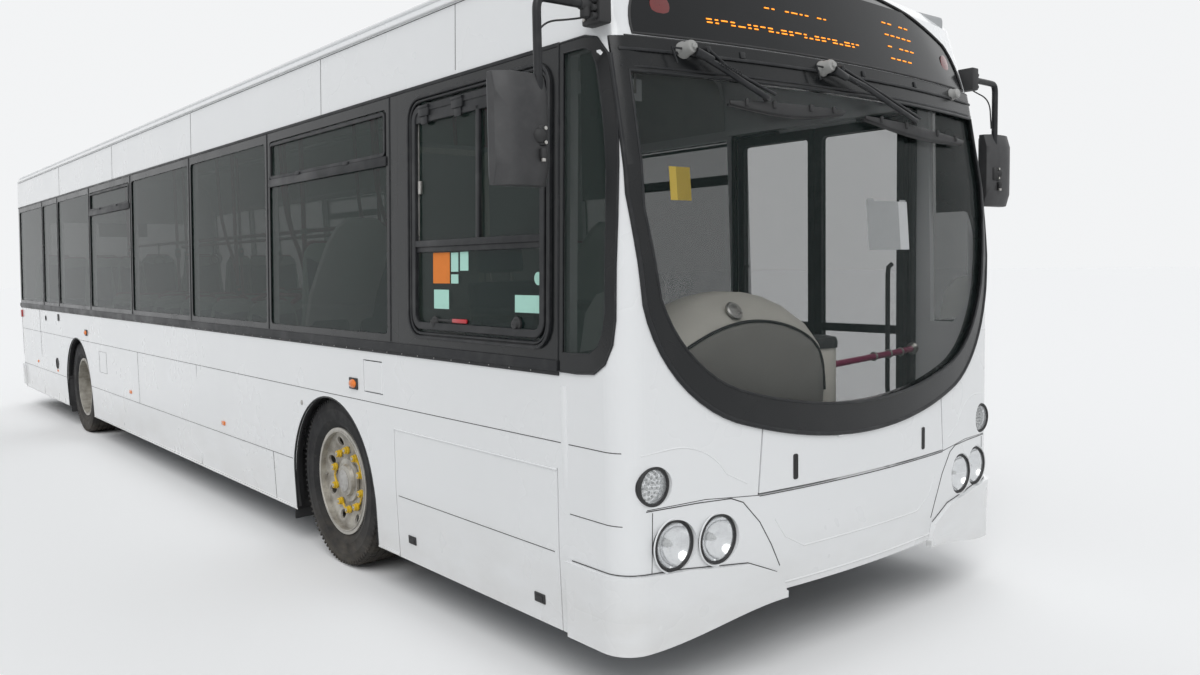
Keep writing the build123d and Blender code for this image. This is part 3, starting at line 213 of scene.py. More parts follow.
def outwards(piece):
    """Join doubled points and turn all faces outwards."""
    pick(piece)
    bpy.ops.object.mode_set(mode="EDIT")
    bpy.ops.mesh.select_all(action="SELECT")
    bpy.ops.mesh.remove_doubles(threshold=0.00005)
    bpy.ops.mesh.normals_make_consistent(inside=False)
    bpy.ops.object.mode_set(mode="OBJECT")
    return piece


def apply_modifier(piece, kind, **settings):
    """Add a modifier, set it up and apply it."""
    pick(piece)
    modifier = piece.modifiers.new(kind.title(), kind)
    for name, value in settings.items():
        setattr(modifier, name, value)
    bpy.ops.object.modifier_apply(modifier=modifier.name)
    return piece


def round_edges(piece, width, segments=2, angle=35.0):
    """Round a piece's sharp edges."""
    return apply_modifier(piece, "BEVEL", width=width, segments=segments, limit_method="ANGLE",
                          angle_limit=math.radians(angle), harden_normals=False)


def smooth(piece, angle=35.0):
    """Shade smooth up to an angle."""
    pick(piece)
    bpy.ops.object.shade_smooth_by_angle(angle=math.radians(angle))
    return piece


def add_block(low, high, edge=0.0, segments=2):
    """A block between two corners, with its edges rounded."""
    start_clean()
    low = Vector(low)
    high = Vector(high)
    bpy.ops.mesh.primitive_cube_add(size=1.0, location=(low + high) / 2)
    piece = bpy.context.object
    piece.scale = high - low
    settle(piece)
    if edge:
        round_edges(piece, edge, segments)
    return piece


def cross_block(side, inner, outer, along, up, edge=0.0, segments=2):
    """A block on one side: inner and outer distance from the middle, limits along the bus and upwards."""
    low_x, high_x = sorted((side * inner, side * outer))
    return add_block((low_x, along[0], up[0]), (high_x, along[1], up[1]), edge, segments)


def add_rod(start, end, radius, end_radius=None, sides=24, edge=0.0):
    """A round bar or cone between two points."""
    start_clean()
    start = Vector(start)
    end = Vector(end)
    along = end - start
    bpy.ops.mesh.primitive_cone_add(vertices=sides, radius1=radius, depth=along.length,
                                    radius2=radius if end_radius is None else end_radius)
    piece = bpy.context.object
    upright = along.to_track_quat("Z", "Y").to_matrix().to_4x4()
    piece.matrix_world = Matrix.Translation((start + end) / 2) @ upright
    settle(piece)
    if edge:
        round_edges(piece, edge)
    return piece


def add_turned(rows, sides=64):
    """A piece turned about Z from rows of (radius, height), by extruding a circle from row to row."""
    start_clean()
    radius, height = rows[0]
    bpy.ops.mesh.primitive_circle_add(vertices=sides, radius=radius, location=(0.0, 0.0, height))
    piece = bpy.context.object
    settle(piece)
    bpy.ops.object.mode_set(mode="EDIT")
    bpy.ops.mesh.select_all(action="SELECT")
    for next_radius, next_height in rows[1:]:
        bpy.ops.mesh.extrude_region_move(TRANSFORM_OT_translate={"value": (0.0, 0.0, next_height - height)})
        share = next_radius / radius
        bpy.ops.transform.resize(value=(share, share, 1.0), center_override=(0.0, 0.0, next_height))
        radius, height = next_radius, next_height
    bpy.ops.object.mode_set(mode="OBJECT")
    return outwards(piece)


def add_torus(place, turn, ring, tube, steps=48, sides=12):
    """A ring with a round section."""
    start_clean()
    bpy.ops.mesh.primitive_torus_add(location=place, rotation=turn, major_radius=ring, minor_radius=tube,
                                     major_segments=steps, minor_segments=sides)
    return settle(bpy.context.object)


def add_bead(points, radius, closed=False, sides=2, smoothly=False):
    """A round bead or tube along points."""
    line = bpy.data.curves.new("bead", "CURVE")
    line.dimensions = "3D"
    line.bevel_depth = radius
    line.bevel_resolution = sides
    line.use_fill_caps = True
    spline = line.splines.new("NURBS" if smoothly else "POLY")
    spline.points.add(len(points) - 1)
    for point, place in zip(spline.points, points):
        point.co = (*place, 1.0)
    if smoothly:
        spline.order_u = 3
        spline.use_endpoint_u = not closed
        spline.resolution_u = 6
    spline.use_cyclic_u = closed
    piece = bpy.data.objects.new("bead", line)
    bpy.context.scene.collection.objects.link(piece)
    pick(piece)
    bpy.ops.object.convert(target="MESH")
    return bpy.context.object


def add_panel(corners, thick, edge=0.0):
    """A flat plate with the given corners, thickened along its normal."""
    start_clean()
    bpy.ops.mesh.primitive_circle_add(vertices=len(corners), radius=1.0, fill_type="NGON")
    piece = bpy.context.object
    for vertex, corner in zip(piece.data.vertices, corners):
        vertex.co = corner
    piece.data.update()
    bpy.ops.object.mode_set(mode="EDIT")
    bpy.ops.mesh.select_all(action="SELECT")
    normal = piece.data.polygons[0].normal
    bpy.ops.mesh.extrude_region_move(TRANSFORM_OT_translate={"value": normal * thick})
    bpy.ops.object.mode_set(mode="OBJECT")
    outwards(piece)
    if edge:
        round_edges(piece, edge)
    return piece


def round_rect(u0, u1, v0, v1, radius, steps=5):
    """Corners of a rectangle with rounded corners."""
    points = []
    for u, v, start in ((u1 - radius, v1 - radius, 0), (u0 + radius, v1 - radius, 90),
                        (u0 + radius, v0 + radius, 180), (u1 - radius, v0 + radius, 270)):
        for step in range(steps + 1):
            angle = math.radians(start + 90.0 * step / steps)
            points.append((u + radius * math.cos(angle), v + radius * math.sin(angle)))
    return points


def add_loop(points, height):
    """A closed line of points at one height."""
    start_clean()
    bpy.ops.mesh.primitive_circle_add(vertices=len(points), radius=1.0)
    piece = bpy.context.object
    for vertex, point in zip(piece.data.vertices, points):
        vertex.co = (point[0], point[1], height)
    piece.data.update()
    return piece


def add_frame_between(outer, inner, low, high, edge=0.0015):
    """A flat frame drawn in X and Y between two outlines of as many points, raised from low to high in Z."""
    piece = joined([add_loop(outer, low), add_loop(inner, low)])
    pick(piece)
    bpy.ops.object.mode_set(mode="EDIT")
    bpy.ops.mesh.select_all(action="SELECT")
    bpy.ops.mesh.bridge_edge_loops()
    bpy.ops.mesh.select_all(action="SELECT")
    bpy.ops.mesh.extrude_region_move(TRANSFORM_OT_translate={"value": (0.0, 0.0, high - low)})
    bpy.ops.object.mode_set(mode="OBJECT")
    outwards(piece)
    if edge:
        round_edges(piece, edge, 1, 50.0)
    return piece


def add_frame_ring(u0, u1, v0, v1, width, low, high, corner, edge=0.0015):
    """A flat frame of even width with rounded corners."""
    outer = round_rect(u0, u1, v0, v1, corner)
    inner = round_rect(u0 + width, u1 - width, v0 + width, v1 - width, max(corner - width, 0.002))
    return add_frame_between(outer, inner, low, high, edge)


def bend_to(piece, place):
    """Move each point of a flat-drawn piece by a rule from (along, up, out) to the body."""
    for vertex in piece.data.vertices:
        vertex.co = place(vertex.co)
    piece.data.update()
    return outwards(piece)


def to_side(piece, side):
    """Lay a piece drawn with X along the bus, Y up and Z outwards on one side of the body."""
    return bend_to(piece, lambda co: on_side(side, co.x, co.y, co.z))


def to_front(piece):
    """Lay a piece drawn with X across, Y up and Z outwards on the front of the body."""
    return bend_to(piece, lambda co: on_front(co.x, co.y, co.z))


def shift(piece, place):
    """Move a piece's mesh."""
    piece.data.transform(Matrix.Translation(place))
    return piece


def turned_to(piece, place, direction):
    """Stand a piece that was made about Z at a place, with Z along a direction."""
    turn = Vector(direction).to_track_quat("Z", "Y").to_matrix().to_4x4()
    piece.data.transform(Matrix.Translation(Vector(place)) @ turn)
    return piece


def copy_of(piece, offset=(0.0, 0.0, 0.0), flip_x=False, turn=None):
    """A copy with its own mesh, moved, turned or mirrored across the bus."""
    twin = piece.copy()
    twin.data = piece.data.copy()
    bpy.context.scene.collection.objects.link(twin)
    if turn is not None:
        twin.data.transform(turn)
    twin.data.transform(Matrix.Translation(Vector(offset)))
    if flip_x:
        twin.data.transform(Matrix.Scale(-1.0, 4, (1.0, 0.0, 0.0)))
        outwards(twin)
    return twin


def joined(pieces):
    """One piece from several."""
    pick(pieces[0])
    for piece in pieces[1:]:
        piece.select_set(True)
    bpy.context.view_layer.objects.active = pieces[0]
    if len(pieces) > 1:
        bpy.ops.object.join()
    return bpy.context.object


def both_sides(pieces):
    """The pieces and their mirror images."""
    return pieces + [copy_of(piece, flip_x=True) for piece in pieces]


def fit_out(name, pieces, finish, body="body", replaces=(), shade=35.0):
    """Join, name, finish and place a group of like pieces on its body."""
    piece = joined(pieces)
    piece.name = name
    piece.data.name = name
    piece.data.materials.clear()
    piece.data.materials.append(FINISHES[finish])
    for polygon in piece.data.polygons:
        polygon.material_index = 0
    if shade:
        smooth(piece, shade)
    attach(piece, body)
    if replaces:
        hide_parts(*replaces)
    return piece


# Finishes

FINISHES = {}


def start_finish(name, rgb, rough, metal=0.0, coat=0.0, alpha=1.0, glow=0.0, specular=0.5, sheen=0.0):
    """A new material whose even values are set on its shader's own sockets."""
    finish = bpy.data.materials.new(name)
    finish.use_nodes = True
    shader = finish.node_tree.nodes["Principled BSDF"]
    shader.inputs["Base Color"].default_value = (*rgb, 1.0)
    shader.inputs["Roughness"].default_value = rough
    shader.inputs["Metallic"].default_value = metal
    shader.inputs["Coat Weight"].default_value = coat
    shader.inputs["Coat Roughness"].default_value = 0.06
    shader.inputs["Alpha"].default_value = alpha
    shader.inputs["Specular IOR Level"].default_value = specular
    shader.inputs["Sheen Weight"].default_value = sheen
    if glow:
        shader.inputs["Emission Color"].default_value = (*rgb, 1.0)
        shader.inputs["Emission Strength"].default_value = glow
    finish.diffuse_color = (*rgb, alpha)
    FINISHES[name] = finish
    return finish


def add_node(finish, kind, **settings):
    """A node with its settings."""
    node = finish.node_tree.nodes.new(kind)
    for name, value in settings.items():
        if hasattr(node, name):
            setattr(node, name, value)
        else:
            node.inputs[name.replace("_", " ").title()].default_value = value
    return node


def wire(finish, source, output, target, socket):
    """Join an output to an input."""
    finish.node_tree.links.new(source.outputs[output], target.inputs[socket])


def object_place(finish, stretch=(1.0, 1.0, 1.0)):
    """Object coordinates, stretched."""
    place = add_node(finish, "ShaderNodeTexCoord")
    spread = add_node(finish, "ShaderNodeMapping")
    spread.inputs["Scale"].default_value = stretch
    wire(finish, place, "Object", spread, "Vector")
    return spread


def spots(finish, scale, detail=4.0, stretch=(1.0, 1.0, 1.0), roughness=0.55):
    """A noise pattern over the piece."""
    pattern = add_node(finish, "ShaderNodeTexNoise")
    pattern.inputs["Scale"].default_value = scale
    pattern.inputs["Detail"].default_value = detail
    pattern.inputs["Roughness"].default_value = roughness
    wire(finish, object_place(finish, stretch), "Vector", pattern, "Vector")
    return pattern


def ramp(finish, source, output, low, high, low_value=0.0, high_value=1.0):
    """Spread a value between two limits."""
    spread = add_node(finish, "ShaderNodeMapRange")
    spread.inputs["From Min"].default_value = low
    spread.inputs["From Max"].default_value = high
    spread.inputs["To Min"].default_value = low_value
    spread.inputs["To Max"].default_value = high_value
    wire(finish, source, output, spread, "Value")
    return spread


def base_mix(finish, factor, output, rgb, share=1.0):
    """Mix another colour into the base colour where a factor is high."""
    shader = finish.node_tree.nodes["Principled BSDF"]
    mix = add_node(finish, "ShaderNodeMix", data_type="RGBA")
    base = shader.inputs["Base Color"]
    if base.is_linked:
        finish.node_tree.links.new(base.links[0].from_socket, mix.inputs["A"])
    else:
        mix.inputs["A"].default_value = base.default_value
    mix.inputs["B"].default_value = (*rgb, 1.0)
    scaled = add_node(finish, "ShaderNodeMath", operation="MULTIPLY")
    scaled.inputs[1].default_value = share
    wire(finish, factor, output, scaled, 0)
    wire(finish, scaled, 0, mix, "Factor")
    finish.node_tree.links.new(mix.outputs["Result"], base)
    return mix


def mottle(finish, rgb, scale, share, low=0.45, high=0.75, stretch=(1.0, 1.0, 1.0)):
    """Cloudy patches of another colour."""
    pattern = spots(finish, scale, 5.0, stretch)
    patches = ramp(finish, pattern, "Fac", low, high)
    return base_mix(finish, patches, "Result", rgb, share)


def rough_mottle(finish, scale, low, high):
    """Roughness that wanders."""
    pattern = spots(finish, scale, 3.0)
    spread = ramp(finish, pattern, "Fac", 0.3, 0.7, low, high)
    wire(finish, spread, "Result", finish.node_tree.nodes["Principled BSDF"], "Roughness")


def grain(finish, scale, strength, distance=0.001, detail=3.0, stretch=(1.0, 1.0, 1.0)):
    """Fine bumps."""
    pattern = spots(finish, scale, detail, stretch)
    bump = add_node(finish, "ShaderNodeBump")
    bump.inputs["Strength"].default_value = strength
    bump.inputs["Distance"].default_value = distance
    shader = finish.node_tree.nodes["Principled BSDF"]
    if shader.inputs["Normal"].is_linked:
        finish.node_tree.links.new(shader.inputs["Normal"].links[0].from_socket, bump.inputs["Normal"])
    wire(finish, pattern, "Fac", bump, "Height")
    wire(finish, bump, "Normal", shader, "Normal")


def road_dirt(finish, rgb, top, bottom, share, scale=3.0):
    """Dirt that thickens towards the road, broken up by a pattern."""
    place = object_place(finish)
    split = add_node(finish, "ShaderNodeSeparateXYZ")
    wire(finish, place, "Vector", split, "Vector")
    height = ramp(finish, split, "Z", bottom, top, 1.0, 0.0)
    pattern = spots(finish, scale, 6.0, (1.0, 1.0, 2.5))
    patches = ramp(finish, pattern, "Fac", 0.25, 0.75)
    both = add_node(finish, "ShaderNodeMath", operation="MULTIPLY")
    wire(finish, height, "Result", both, 0)
    wire(finish, patches, "Result", both, 1)
    base_mix(finish, both, 0, rgb, share)


def edge_wear(finish, rgb, share):
    """Paler worn edges, from the shape's own pointiness."""
    shape = add_node(finish, "ShaderNodeNewGeometry")
    worn = ramp(finish, shape, "Pointiness", 0.52, 0.60)
    base_mix(finish, worn, "Result", rgb, share)


# Within these distances from the middle, along the bus and up from the road, the lower skin's inside is black
INSIDE_X = 1.2365
INSIDE_Y = 5.400
INSIDE_Z = 0.990


def black_inside(finish):
    """Black out what lies inside the lower skin, such as the edges of the wheel arches."""
    place = add_node(finish, "ShaderNodeTexCoord")
    parts = add_node(finish, "ShaderNodeSeparateXYZ")
    wire(finish, place, "Object", parts, "Vector")
    across = add_node(finish, "ShaderNodeMath", operation="ABSOLUTE")
    wire(finish, parts, "X", across, 0)
    inside = add_node(finish, "ShaderNodeMath", operation="LESS_THAN")
    wire(finish, across, "Value", inside, 0)
    inside.inputs[1].default_value = INSIDE_X
    low = add_node(finish, "ShaderNodeMath", operation="LESS_THAN")
    wire(finish, parts, "Z", low, 0)
    low.inputs[1].default_value = INSIDE_Z
    along = add_node(finish, "ShaderNodeMath", operation="ABSOLUTE")
    wire(finish, parts, "Y", along, 0)
    middle = add_node(finish, "ShaderNodeMath", operation="LESS_THAN")
    wire(finish, along, "Value", middle, 0)
    middle.inputs[1].default_value = INSIDE_Y
    both = add_node(finish, "ShaderNodeMath", operation="MULTIPLY")
    wire(finish, inside, "Value", both, 0)
    wire(finish, low, "Value", both, 1)
    mask = add_node(finish, "ShaderNodeMath", operation="MULTIPLY")
    wire(finish, both, "Value", mask, 0)
    wire(finish, middle, "Value", mask, 1)
    base_mix(finish, mask, "Value", (0.018, 0.018, 0.019))


def coach_paint():
    """Gloss white coach enamel with faint orange peel and road film low down."""
    finish = start_finish("coach_white", tuple(colours().coach_white), 0.30, coat=0.6)
    mottle(finish, (0.76, 0.77, 0.78), 1.1, 0.22)
    mottle(finish, (0.62, 0.61, 0.58), 9.0, 0.07, 0.62, 0.85, (1.0, 0.35, 1.6))
    road_dirt(finish, (0.42, 0.38, 0.32), 0.62, 0.18, 0.30)
    black_inside(finish)
    rough_mottle(finish, 2.2, 0.24, 0.36)
    grain(finish, 240.0, 0.03)
    return finish


def trim_rubber():
    """Satin black rubber and plastic with a dusty bloom."""
    finish = start_finish("trim_black", tuple(colours().trim_black), 0.48, specular=0.28)
    mottle(finish, (0.07, 0.07, 0.07), 14.0, 0.35)
    rough_mottle(finish, 5.0, 0.34, 0.55)
    grain(finish, 420.0, 0.12)
    return finish


def gloss_black():
    """Gloss black painted bands round the glass."""
    finish = start_finish("gloss_black", (0.008, 0.009, 0.010), 0.24, specular=0.35)
    mottle(finish, (0.022, 0.022, 0.022), 5.0, 0.4)
    rough_mottle(finish, 3.0, 0.18, 0.32)
    grain(finish, 160.0, 0.02)
    return finish


def grained_plastic():
    """Moulded black plastic with a leather grain."""
    finish = start_finish("grained_black", (0.030, 0.030, 0.032), 0.55)
    mottle(finish, (0.08, 0.08, 0.08), 22.0, 0.25)
    grain(finish, 520.0, 0.35, 0.0008)
    edge_wear(finish, (0.16, 0.16, 0.16), 0.5)
    return finish


def pane_glass(name, rgb, alpha):
    """Tinted safety glass with faint wipe marks in its gloss."""
    finish = start_finish(name, rgb, 0.03, alpha=alpha, specular=0.20)
    rough_mottle(finish, 1.7, 0.015, 0.06)
    mottle(finish, tuple(channel * 1.8 for channel in rgb), 1.3, 0.4)
    return finish


def gloss_display():
    """Black display cover, nearly opaque."""
    finish = start_finish("display_cover", (0.004, 0.005, 0.006), 0.12, specular=0.30)
    mottle(finish, (0.012, 0.012, 0.014), 3.0, 0.4)
    rough_mottle(finish, 2.0, 0.08, 0.18)


def lamp_glass():
    """Clear moulded lens."""
    finish = start_finish("clear_lens", (0.80, 0.82, 0.84), 0.05, alpha=0.30, specular=0.9)
    mottle(finish, (0.55, 0.56, 0.56), 30.0, 0.3)
    grain(finish, 90.0, 0.05)
    return finish


def bright_reflector():
    """Plated reflector bowl."""
    finish = start_finish("reflector", (0.86, 0.87, 0.88), 0.13, metal=1.0)
    mottle(finish, (0.45, 0.45, 0.44), 26.0, 0.35)
    grain(finish, 60.0, 0.08, 0.002)
    return finish


def worn_mirror():
    """Mirror glass with a little dust."""
    finish = start_finish("mirror_glass", (0.80, 0.82, 0.84), 0.04, metal=1.0)
    mottle(finish, (0.55, 0.56, 0.57), 9.0, 0.3)
    rough_mottle(finish, 4.0, 0.02, 0.09)
    return finish


def lens_plastic(name, rgb):
    """Coloured lamp lens with moulded ribs."""
    finish = start_finish(name, rgb, 0.16, coat=0.5)
    mottle(finish, tuple(channel * 0.55 for channel in rgb), 40.0, 0.35)
    ribs = add_node(finish, "ShaderNodeTexWave", bands_direction="Z")
    ribs.inputs["Scale"].default_value = 60.0
    wire(finish, object_place(finish), "Vector", ribs, "Vector")
    bump = add_node(finish, "ShaderNodeBump")
    bump.inputs["Strength"].default_value = 0.25
    bump.inputs["Distance"].default_value = 0.001
    wire(finish, ribs, "Fac", bump, "Height")
    wire(finish, bump, "Normal", finish.node_tree.nodes["Principled BSDF"], "Normal")
    return finish


def lit_dots():
    """Amber dots that glow behind the display cover."""
    finish = start_finish("amber_dots", (1.0, 0.30, 0.02), 0.5, glow=1.3)
    mottle(finish, (0.7, 0.16, 0.01), 60.0, 0.4)
    return finish


def tyre_rubber():
    """Worn road tyre, dusty on the sidewall and brown in the grooves."""
    finish = start_finish("tyre_rubber", (0.019, 0.019, 0.020), 0.80, specular=0.3)
    mottle(finish, (0.055, 0.053, 0.050), 7.0, 0.45)
    mottle(finish, (0.16, 0.145, 0.125), 34.0, 0.18, 0.55, 0.8)
    road_dirt(finish, (0.20, 0.17, 0.13), 0.35, 0.0, 0.45, 9.0)
    rough_mottle(finish, 9.0, 0.66, 0.90)
    grain(finish, 260.0, 0.45, 0.001)
    return finish


def rim_paint():
    """Cream-silver wheel paint with brake dust and chips."""
    finish = start_finish("rim_cream", tuple(colours().rim), 0.45, metal=0.25)
    mottle(finish, (0.17, 0.15, 0.125), 12.0, 0.75, 0.36, 0.66)
    mottle(finish, (0.09, 0.07, 0.05), 55.0, 0.50, 0.56, 0.78)
    rough_mottle(finish, 14.0, 0.35, 0.62)
    grain(finish, 220.0, 0.18)
    edge_wear(finish, (0.62, 0.60, 0.56), 0.4)
    return finish


def bare_iron(name, rgb):
    """Dusty cast iron or chassis paint."""
    finish = start_finish(name, rgb, 0.68, metal=0.15)
    mottle(finish, (0.17, 0.14, 0.11), 11.0, 0.45)
    mottle(finish, (0.14, 0.055, 0.02), 30.0, 0.35, 0.62, 0.82)
    rough_mottle(finish, 12.0, 0.55, 0.85)
    grain(finish, 150.0, 0.4, 0.0015)
    return finish


def worn_steel():
    """Plated steel of nuts, pins and clamps."""
    finish = start_finish("worn_steel", (0.46, 0.45, 0.43), 0.36, metal=0.9)
    mottle(finish, (0.20, 0.17, 0.14), 48.0, 0.5)
    rough_mottle(finish, 30.0, 0.26, 0.5)
    grain(finish, 300.0, 0.12)
    return finish


def soft_plastic(name, rgb, rough=0.55, scale=420.0):
    """Moulded plastic with a fine grain and scuffs."""
    finish = start_finish(name, rgb, rough)
    mottle(finish, tuple(channel * 0.72 for channel in rgb), 6.0, 0.35)
    mottle(finish, tuple(min(1.0, channel * 1.25) for channel in rgb), 38.0, 0.18, 0.6, 0.85)
    rough_mottle(finish, 8.0, max(0.1, rough - 0.1), min(1.0, rough + 0.12))
    grain(finish, scale, 0.16, 0.0008)
    return finish


def powder_coat(name, rgb):
    """Glossy powder coat of the rails."""
    finish = start_finish(name, rgb, 0.32, coat=0.3)
    mottle(finish, tuple(channel * 0.6 for channel in rgb), 10.0, 0.35)
    rough_mottle(finish, 18.0, 0.26, 0.42)
    grain(finish, 500.0, 0.10)
    return finish


def seat_wool():
    """Dark blue woven wool with a small even fleck."""
    finish = start_finish("seat_wool", tuple(colours().seat_cloth), 0.92, sheen=0.35, specular=0.2)
    mottle(finish, (0.05, 0.075, 0.14), 5.0, 0.5)
    fleck = add_node(finish, "ShaderNodeTexVoronoi")
    fleck.inputs["Scale"].default_value = 70.0
    wire(finish, object_place(finish), "Vector", fleck, "Vector")
    near = ramp(finish, fleck, "Distance", 0.16, 0.10)
    base_mix(finish, near, "Result", (0.16, 0.20, 0.30), 0.6)
    weave = add_node(finish, "ShaderNodeTexWave", bands_direction="DIAGONAL")
    weave.inputs["Scale"].default_value = 190.0
    wire(finish, object_place(finish), "Vector", weave, "Vector")
    bump = add_node(finish, "ShaderNodeBump")
    bump.inputs["Strength"].default_value = 0.4
    bump.inputs["Distance"].default_value = 0.0012
    wire(finish, weave, "Fac", bump, "Height")
    wire(finish, bump, "Normal", finish.node_tree.nodes["Principled BSDF"], "Normal")
    return finish


def floor_vinyl():
    """Speckled safety flooring."""
    finish = start_finish("floor_vinyl", (0.11, 0.13, 0.15), 0.62)
    fleck = add_node(finish, "ShaderNodeTexVoronoi")
    fleck.inputs["Scale"].default_value = 160.0
    wire(finish, object_place(finish), "Vector", fleck, "Vector")
    near = ramp(finish, fleck, "Distance", 0.20, 0.12)
    base_mix(finish, near, "Result", (0.36, 0.38, 0.40), 0.55)
    mottle(finish, (0.06, 0.06, 0.06), 2.0, 0.4)
    grain(finish, 300.0, 0.3)
    return finish


def notice_paper(name, rgb):
    """Plain card."""
    finish = start_finish(name, rgb, 0.75)
    mottle(finish, tuple(channel * 0.85 for channel in rgb), 20.0, 0.4)
    grain(finish, 200.0, 0.08)
    return finish


def mix_all_finishes():
    """Make every finish once."""
    coach_paint()
    trim_rubber()
    gloss_black()
    grained_plastic()
    pane_glass("side_tint", tuple(colours().side_glass), 0.57)
    pane_glass("screen_tint", tuple(colours().screen_glass), 0.22)
    gloss_display()
    lamp_glass()
    bright_reflector()
    lens_plastic("red_lens", (0.40, 0.010, 0.008))
    lens_plastic("amber_lens", tuple(colours().amber))
    lens_plastic("smoke_lens", (0.62, 0.63, 0.62))
    lens_plastic("dull_red", (0.16, 0.012, 0.012))
    lit_dots()
    tyre_rubber()
    rim_paint()
    bare_iron("chassis_black", (0.045, 0.045, 0.047))
    bare_iron("axle_iron", (0.070, 0.066, 0.060))
    bare_iron("engine_iron", (0.12, 0.125, 0.12))
    worn_steel()
    soft_plastic("dash_grey", (0.26, 0.27, 0.28))
    soft_plastic("cowl_pale", (0.74, 0.71, 0.64))
    # The next finish is the pale cowl colour darkened to about a third: painted shade for the cowl's front
    # face and the apron under it
    soft_plastic("cowl_painted_shade", (0.27, 0.26, 0.24))
    soft_plastic("panel_grey", (0.42, 0.43, 0.44))
    soft_plastic("lining_pale", (0.60, 0.61, 0.60))
    soft_plastic("shell_green", tuple(colours().seat_shell), 0.42)
    soft_plastic("soft_black", (0.025, 0.025, 0.026), 0.62)
    soft_plastic("box_grey", (0.16, 0.165, 0.17))
    soft_plastic("rim_edge", (0.11, 0.11, 0.115), 0.40)
    soft_plastic("knob_grey", (0.36, 0.36, 0.35), 0.42)
    soft_plastic("slot_black", (0.012, 0.012, 0.013), 0.5)
    soft_plastic("rim_edge_pale", (0.55, 0.55, 0.53), 0.45)
    # The next finish is the pale lining colour lightened by about half: painted light for the tall seat backs
    # and the quarter corner linings
    soft_plastic("lining_painted_light", (0.86, 0.88, 0.86), 0.35)
    soft_plastic("step_yellow", (0.55, 0.38, 0.03), 0.6)
    pane_glass("door_tint", (0.012, 0.020, 0.018), 0.26)
    worn_mirror()
    powder_coat("rail_magenta", tuple(colours().rail))
    powder_coat("pointer_yellow", tuple(colours().pointer))
    powder_coat("handle_red", (0.55, 0.02, 0.03))
    seat_wool()
    floor_vinyl()
    notice_paper("notice_white", (0.78, 0.79, 0.80))
    notice_paper("notice_yellow", (0.78, 0.56, 0.10))
    notice_paper("notice_orange", (0.78, 0.22, 0.03))
    notice_paper("notice_green", (0.45, 0.76, 0.66))


# Which finish each fixed node takes
NODE_FINISHES = {
    "coach_white": ["roof", "front_dome", "off_side_wall", "near_side_wall", "front_panel", "rear_wall",
                    "front_bumper", "rear_bumper", "front_flap", "service_flap", "engine_cover", "fuel_flap"],
    "side_tint": ["side_windows", "rear_window"],
    "screen_tint": ["windscreen"],
    "display_cover": ["destination_glass"],
    "gloss_black": ["windscreen_moulding"],
    "trim_black": ["front_door_post", "rear_door_post"],
    "floor_vinyl": ["floor", "rear_platform"],
    "box_grey": ["wheel_boxes"],
    "chassis_black": ["underframe", "cross_members"],
    "axle_iron": ["axles", "off_knuckle", "near_knuckle"],
    "engine_iron": ["engine"],
    "panel_grey": ["cab_partition", "cab_door"],
    "dash_grey": ["dashboard"],
    "rail_magenta": ["grab_rails"],
    "rim_cream": ["off_front_rim", "near_front_rim", "off_rear_rims", "near_rear_rims"],
}


class BUS_OT_finishes(Operator):
    """Give every fixed node its finish"""

    bl_idname = "bus.finishes"
    bl_label = "Finishes"

    def execute(self, context):
        mix_all_finishes()
        for finish, names in NODE_FINISHES.items():
            for name in names:
                for material_slot in NODES[name].material_slots:
                    material_slot.link = "OBJECT"
                    material_slot.material = FINISHES[finish]
        return {"FINISHED"}


def show_white(tree, lit, white):
    """Mix a plain white in for what the camera, gloss and glass see."""
    path = tree.nodes.new("ShaderNodeLightPath")
    seen = tree.nodes.new("ShaderNodeMath")
    seen.operation = "MAXIMUM"
    either = tree.nodes.new("ShaderNodeMath")
    either.operation = "MAXIMUM"
    tree.links.new(path.outputs["Is Camera Ray"], seen.inputs[0])
    tree.links.new(path.outputs["Is Glossy Ray"], seen.inputs[1])
    tree.links.new(seen.outputs[0], either.inputs[0])
    tree.links.new(path.outputs["Is Transmission Ray"], either.inputs[1])
    mix = tree.nodes.new("ShaderNodeMixShader")
    tree.links.new(either.outputs[0], mix.inputs[0])
    tree.links.new(lit.outputs[0], mix.inputs[1])
    tree.links.new(white.outputs[0], mix.inputs[2])
    return mix


def lay_floor():
    """A wide pale floor that keeps the shadow of the bus."""
    start_clean()
    bpy.ops.mesh.primitive_plane_add(size=240.0, location=(0.0, 0.0, 0.0))
    floor = bpy.context.object
    floor.name = "studio_floor"
    finish = bpy.data.materials.new("studio_floor")
    finish.use_nodes = True
    tree = finish.node_tree
    lit = tree.nodes["Principled BSDF"]
    lit.inputs["Base Color"].default_value = (*colours().floor, 1.0)
    lit.inputs["Roughness"].default_value = 0.9
    lit.inputs["Specular IOR Level"].default_value = 0.1
    seen = tree.nodes.new("ShaderNodeBsdfDiffuse")
    seen.inputs["Color"].default_value = (0.985, 0.985, 0.985, 1.0)
    mix = show_white(tree, lit, seen)
    tree.links.new(mix.outputs[0], tree.nodes["Material Output"].inputs["Surface"])
    floor.data.materials.append(finish)


